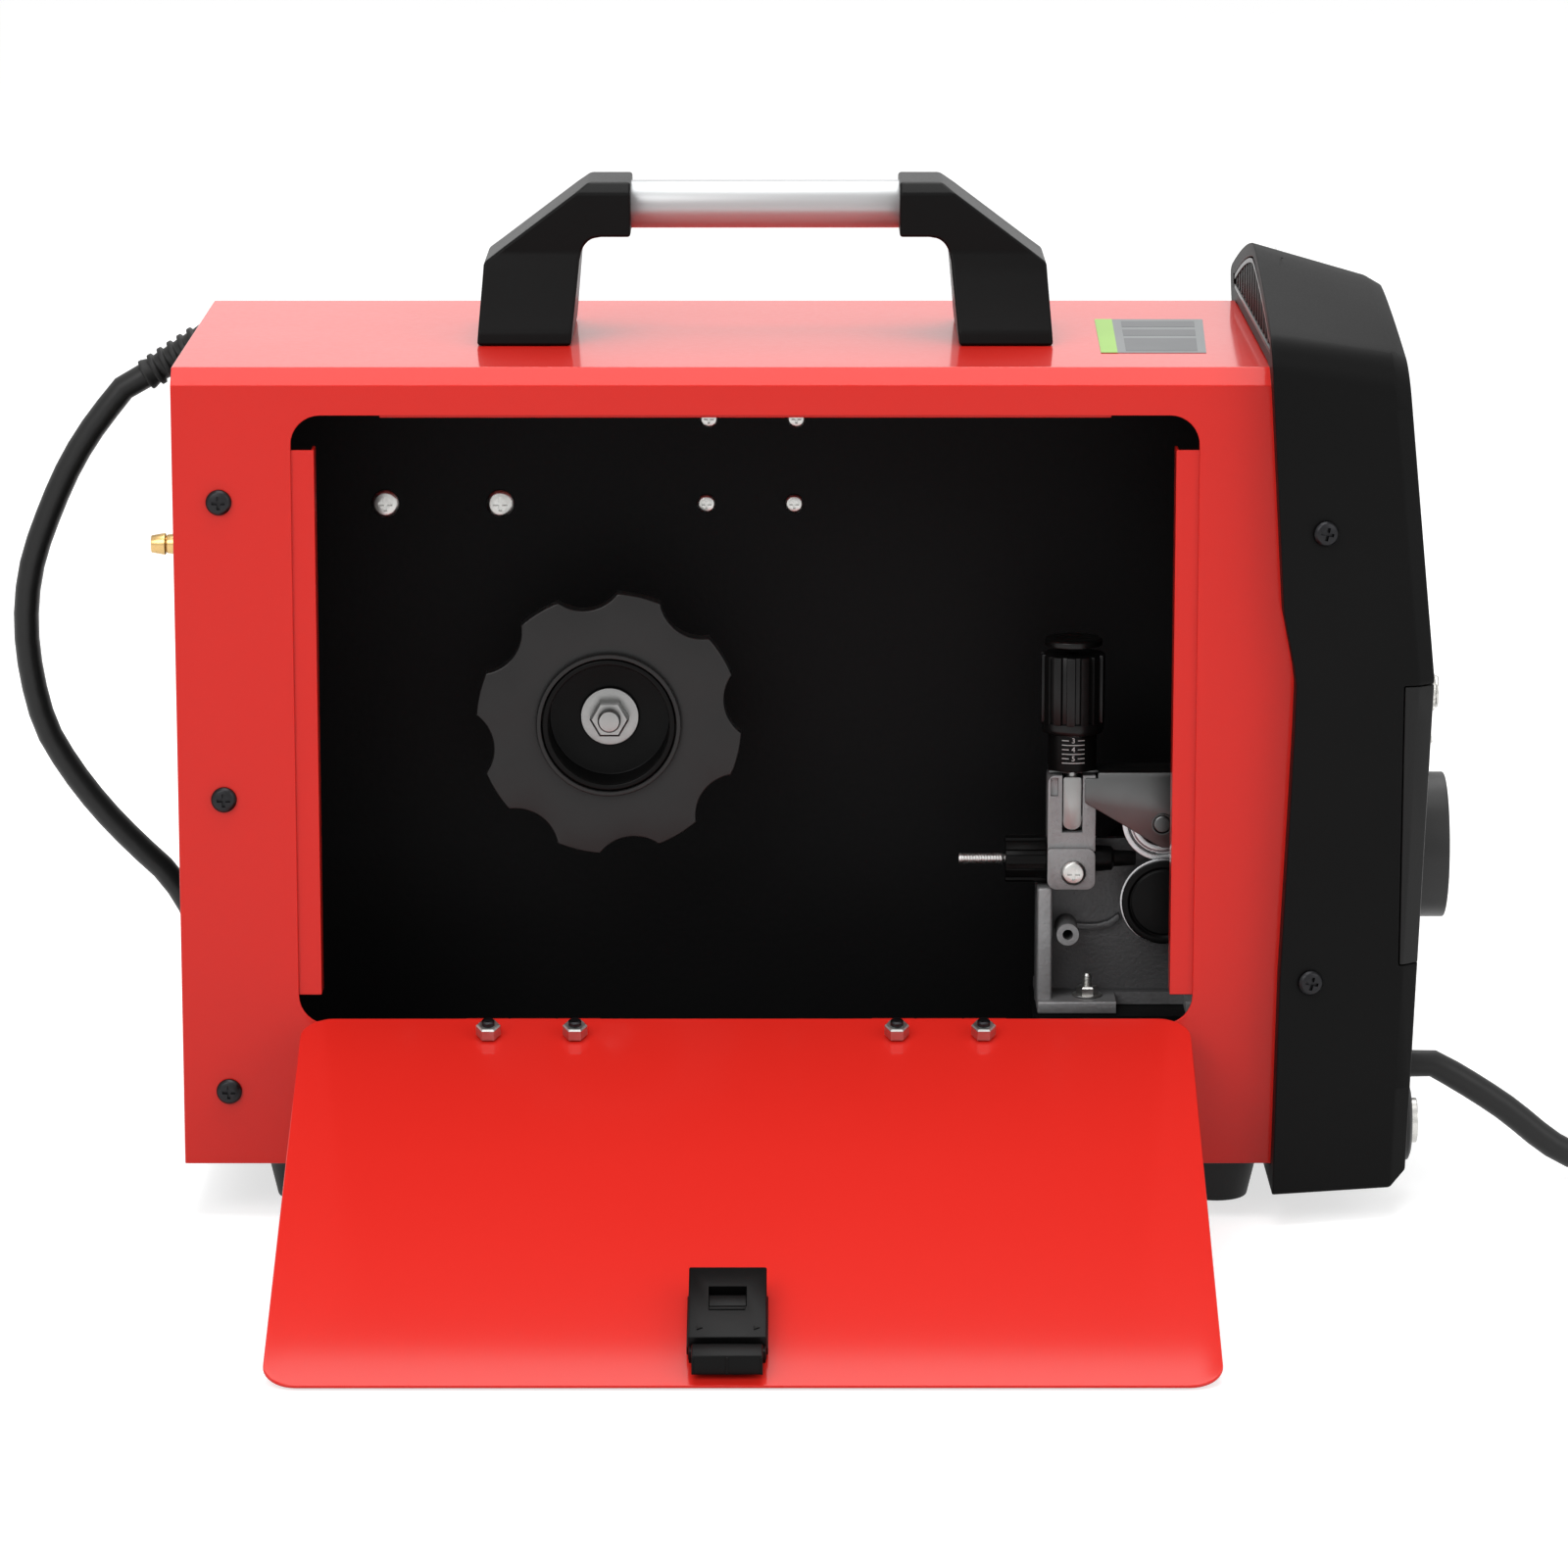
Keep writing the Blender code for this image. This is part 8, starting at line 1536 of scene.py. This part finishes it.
# ---------------------------------------------------------------- mains switch
# Snap-in rocker switch in the rear panel: a moulded frame and a dished rocker.
SWITCH_AT = (0.045, 0.276)
y, z = SWITCH_AT
face = PANEL_X - GAP
switch = carve(box((face - 0.0018, y - 0.011, z - 0.018), (face, y + 0.011, z + 0.018), 0.0006),
               box((face - 0.0009, y - 0.00925, z - 0.0155),
                   (face + 0.024, y + 0.00925, z + 0.0155), 0.0003), "UNION")
switch = carve(switch, box((face - 0.01, y - 0.0075, z - 0.0115),
                           (-0.2255 + 0.0055, y + 0.0075, z + 0.0115)))
piece("switch_frame", switch, BLACK_PLASTIC, "case", "power_switch", angle=28)
ROCKER_X = CASE_REAR + 0.0045
half = 0.01015
rocker_side = [(ROCKER_X - 0.0067, half), (ROCKER_X - 0.0053, half * 0.5), (ROCKER_X - 0.0047, 0),
               (ROCKER_X - 0.0053, -half * 0.5), (ROCKER_X - 0.0067, -half),
               (ROCKER_X - 0.001, -half), (ROCKER_X + 0.0035, -0.004),
               (ROCKER_X + 0.0035, 0.004), (ROCKER_X - 0.001, half)]
rocker = flat_sheet(rocker_side, [], lambda u, v: (u, y - 0.00675, z + v))
bmesh.ops.dissolve_limit(rocker, angle_limit=0.02, verts=rocker.verts, edges=rocker.edges)
drawn = bmesh.ops.extrude_face_region(rocker, geom=rocker.faces[:])["geom"]
bmesh.ops.translate(rocker, verts=[v for v in drawn if isinstance(v, bmesh.types.BMVert)],
                    vec=(0, 0.0135, 0))
bmesh.ops.recalc_face_normals(rocker, faces=rocker.faces)
bmesh.ops.rotate(rocker, verts=rocker.verts, cent=(ROCKER_X, 0, z),
                 matrix=Matrix.Rotation(-math.radians(8), 3, "Y"))
piece("switch_rocker", rocker, SATIN_PLASTIC, "power_rocker", "power_rocker",
      ease=0.0004, angle=30)

# ---------------------------------------------------------------- inside the case
# The fan, its rotor, the drive motor, the heat sink and the inverter board keep their packed
# shape; only their finishes are given here.
dress("fan_frame", BLACK_PLASTIC)
dress("fan_rotor", BLACK_PLASTIC)
dress("feeder_motor", BLACK_COAT)
dress("heat_sink", metal("extruded_aluminium", (0.60, 0.60, 0.61), 0.36, 0.08, scale=300.0))
board = Finish("lacquered_board")
trace = board.ramp(board.noise(260.0, 1.0), (0.48, 0.0), (0.52, 1.0))
board.set(Base_Color=board.mix(trace * 0.4, (0.012, 0.085, 0.035), (0.03, 0.16, 0.07)),
          Roughness=trace * 0.15 + 0.3, Normal=board.bump(trace, 0.2, 0.0001))
dress("inverter_board", board.material)
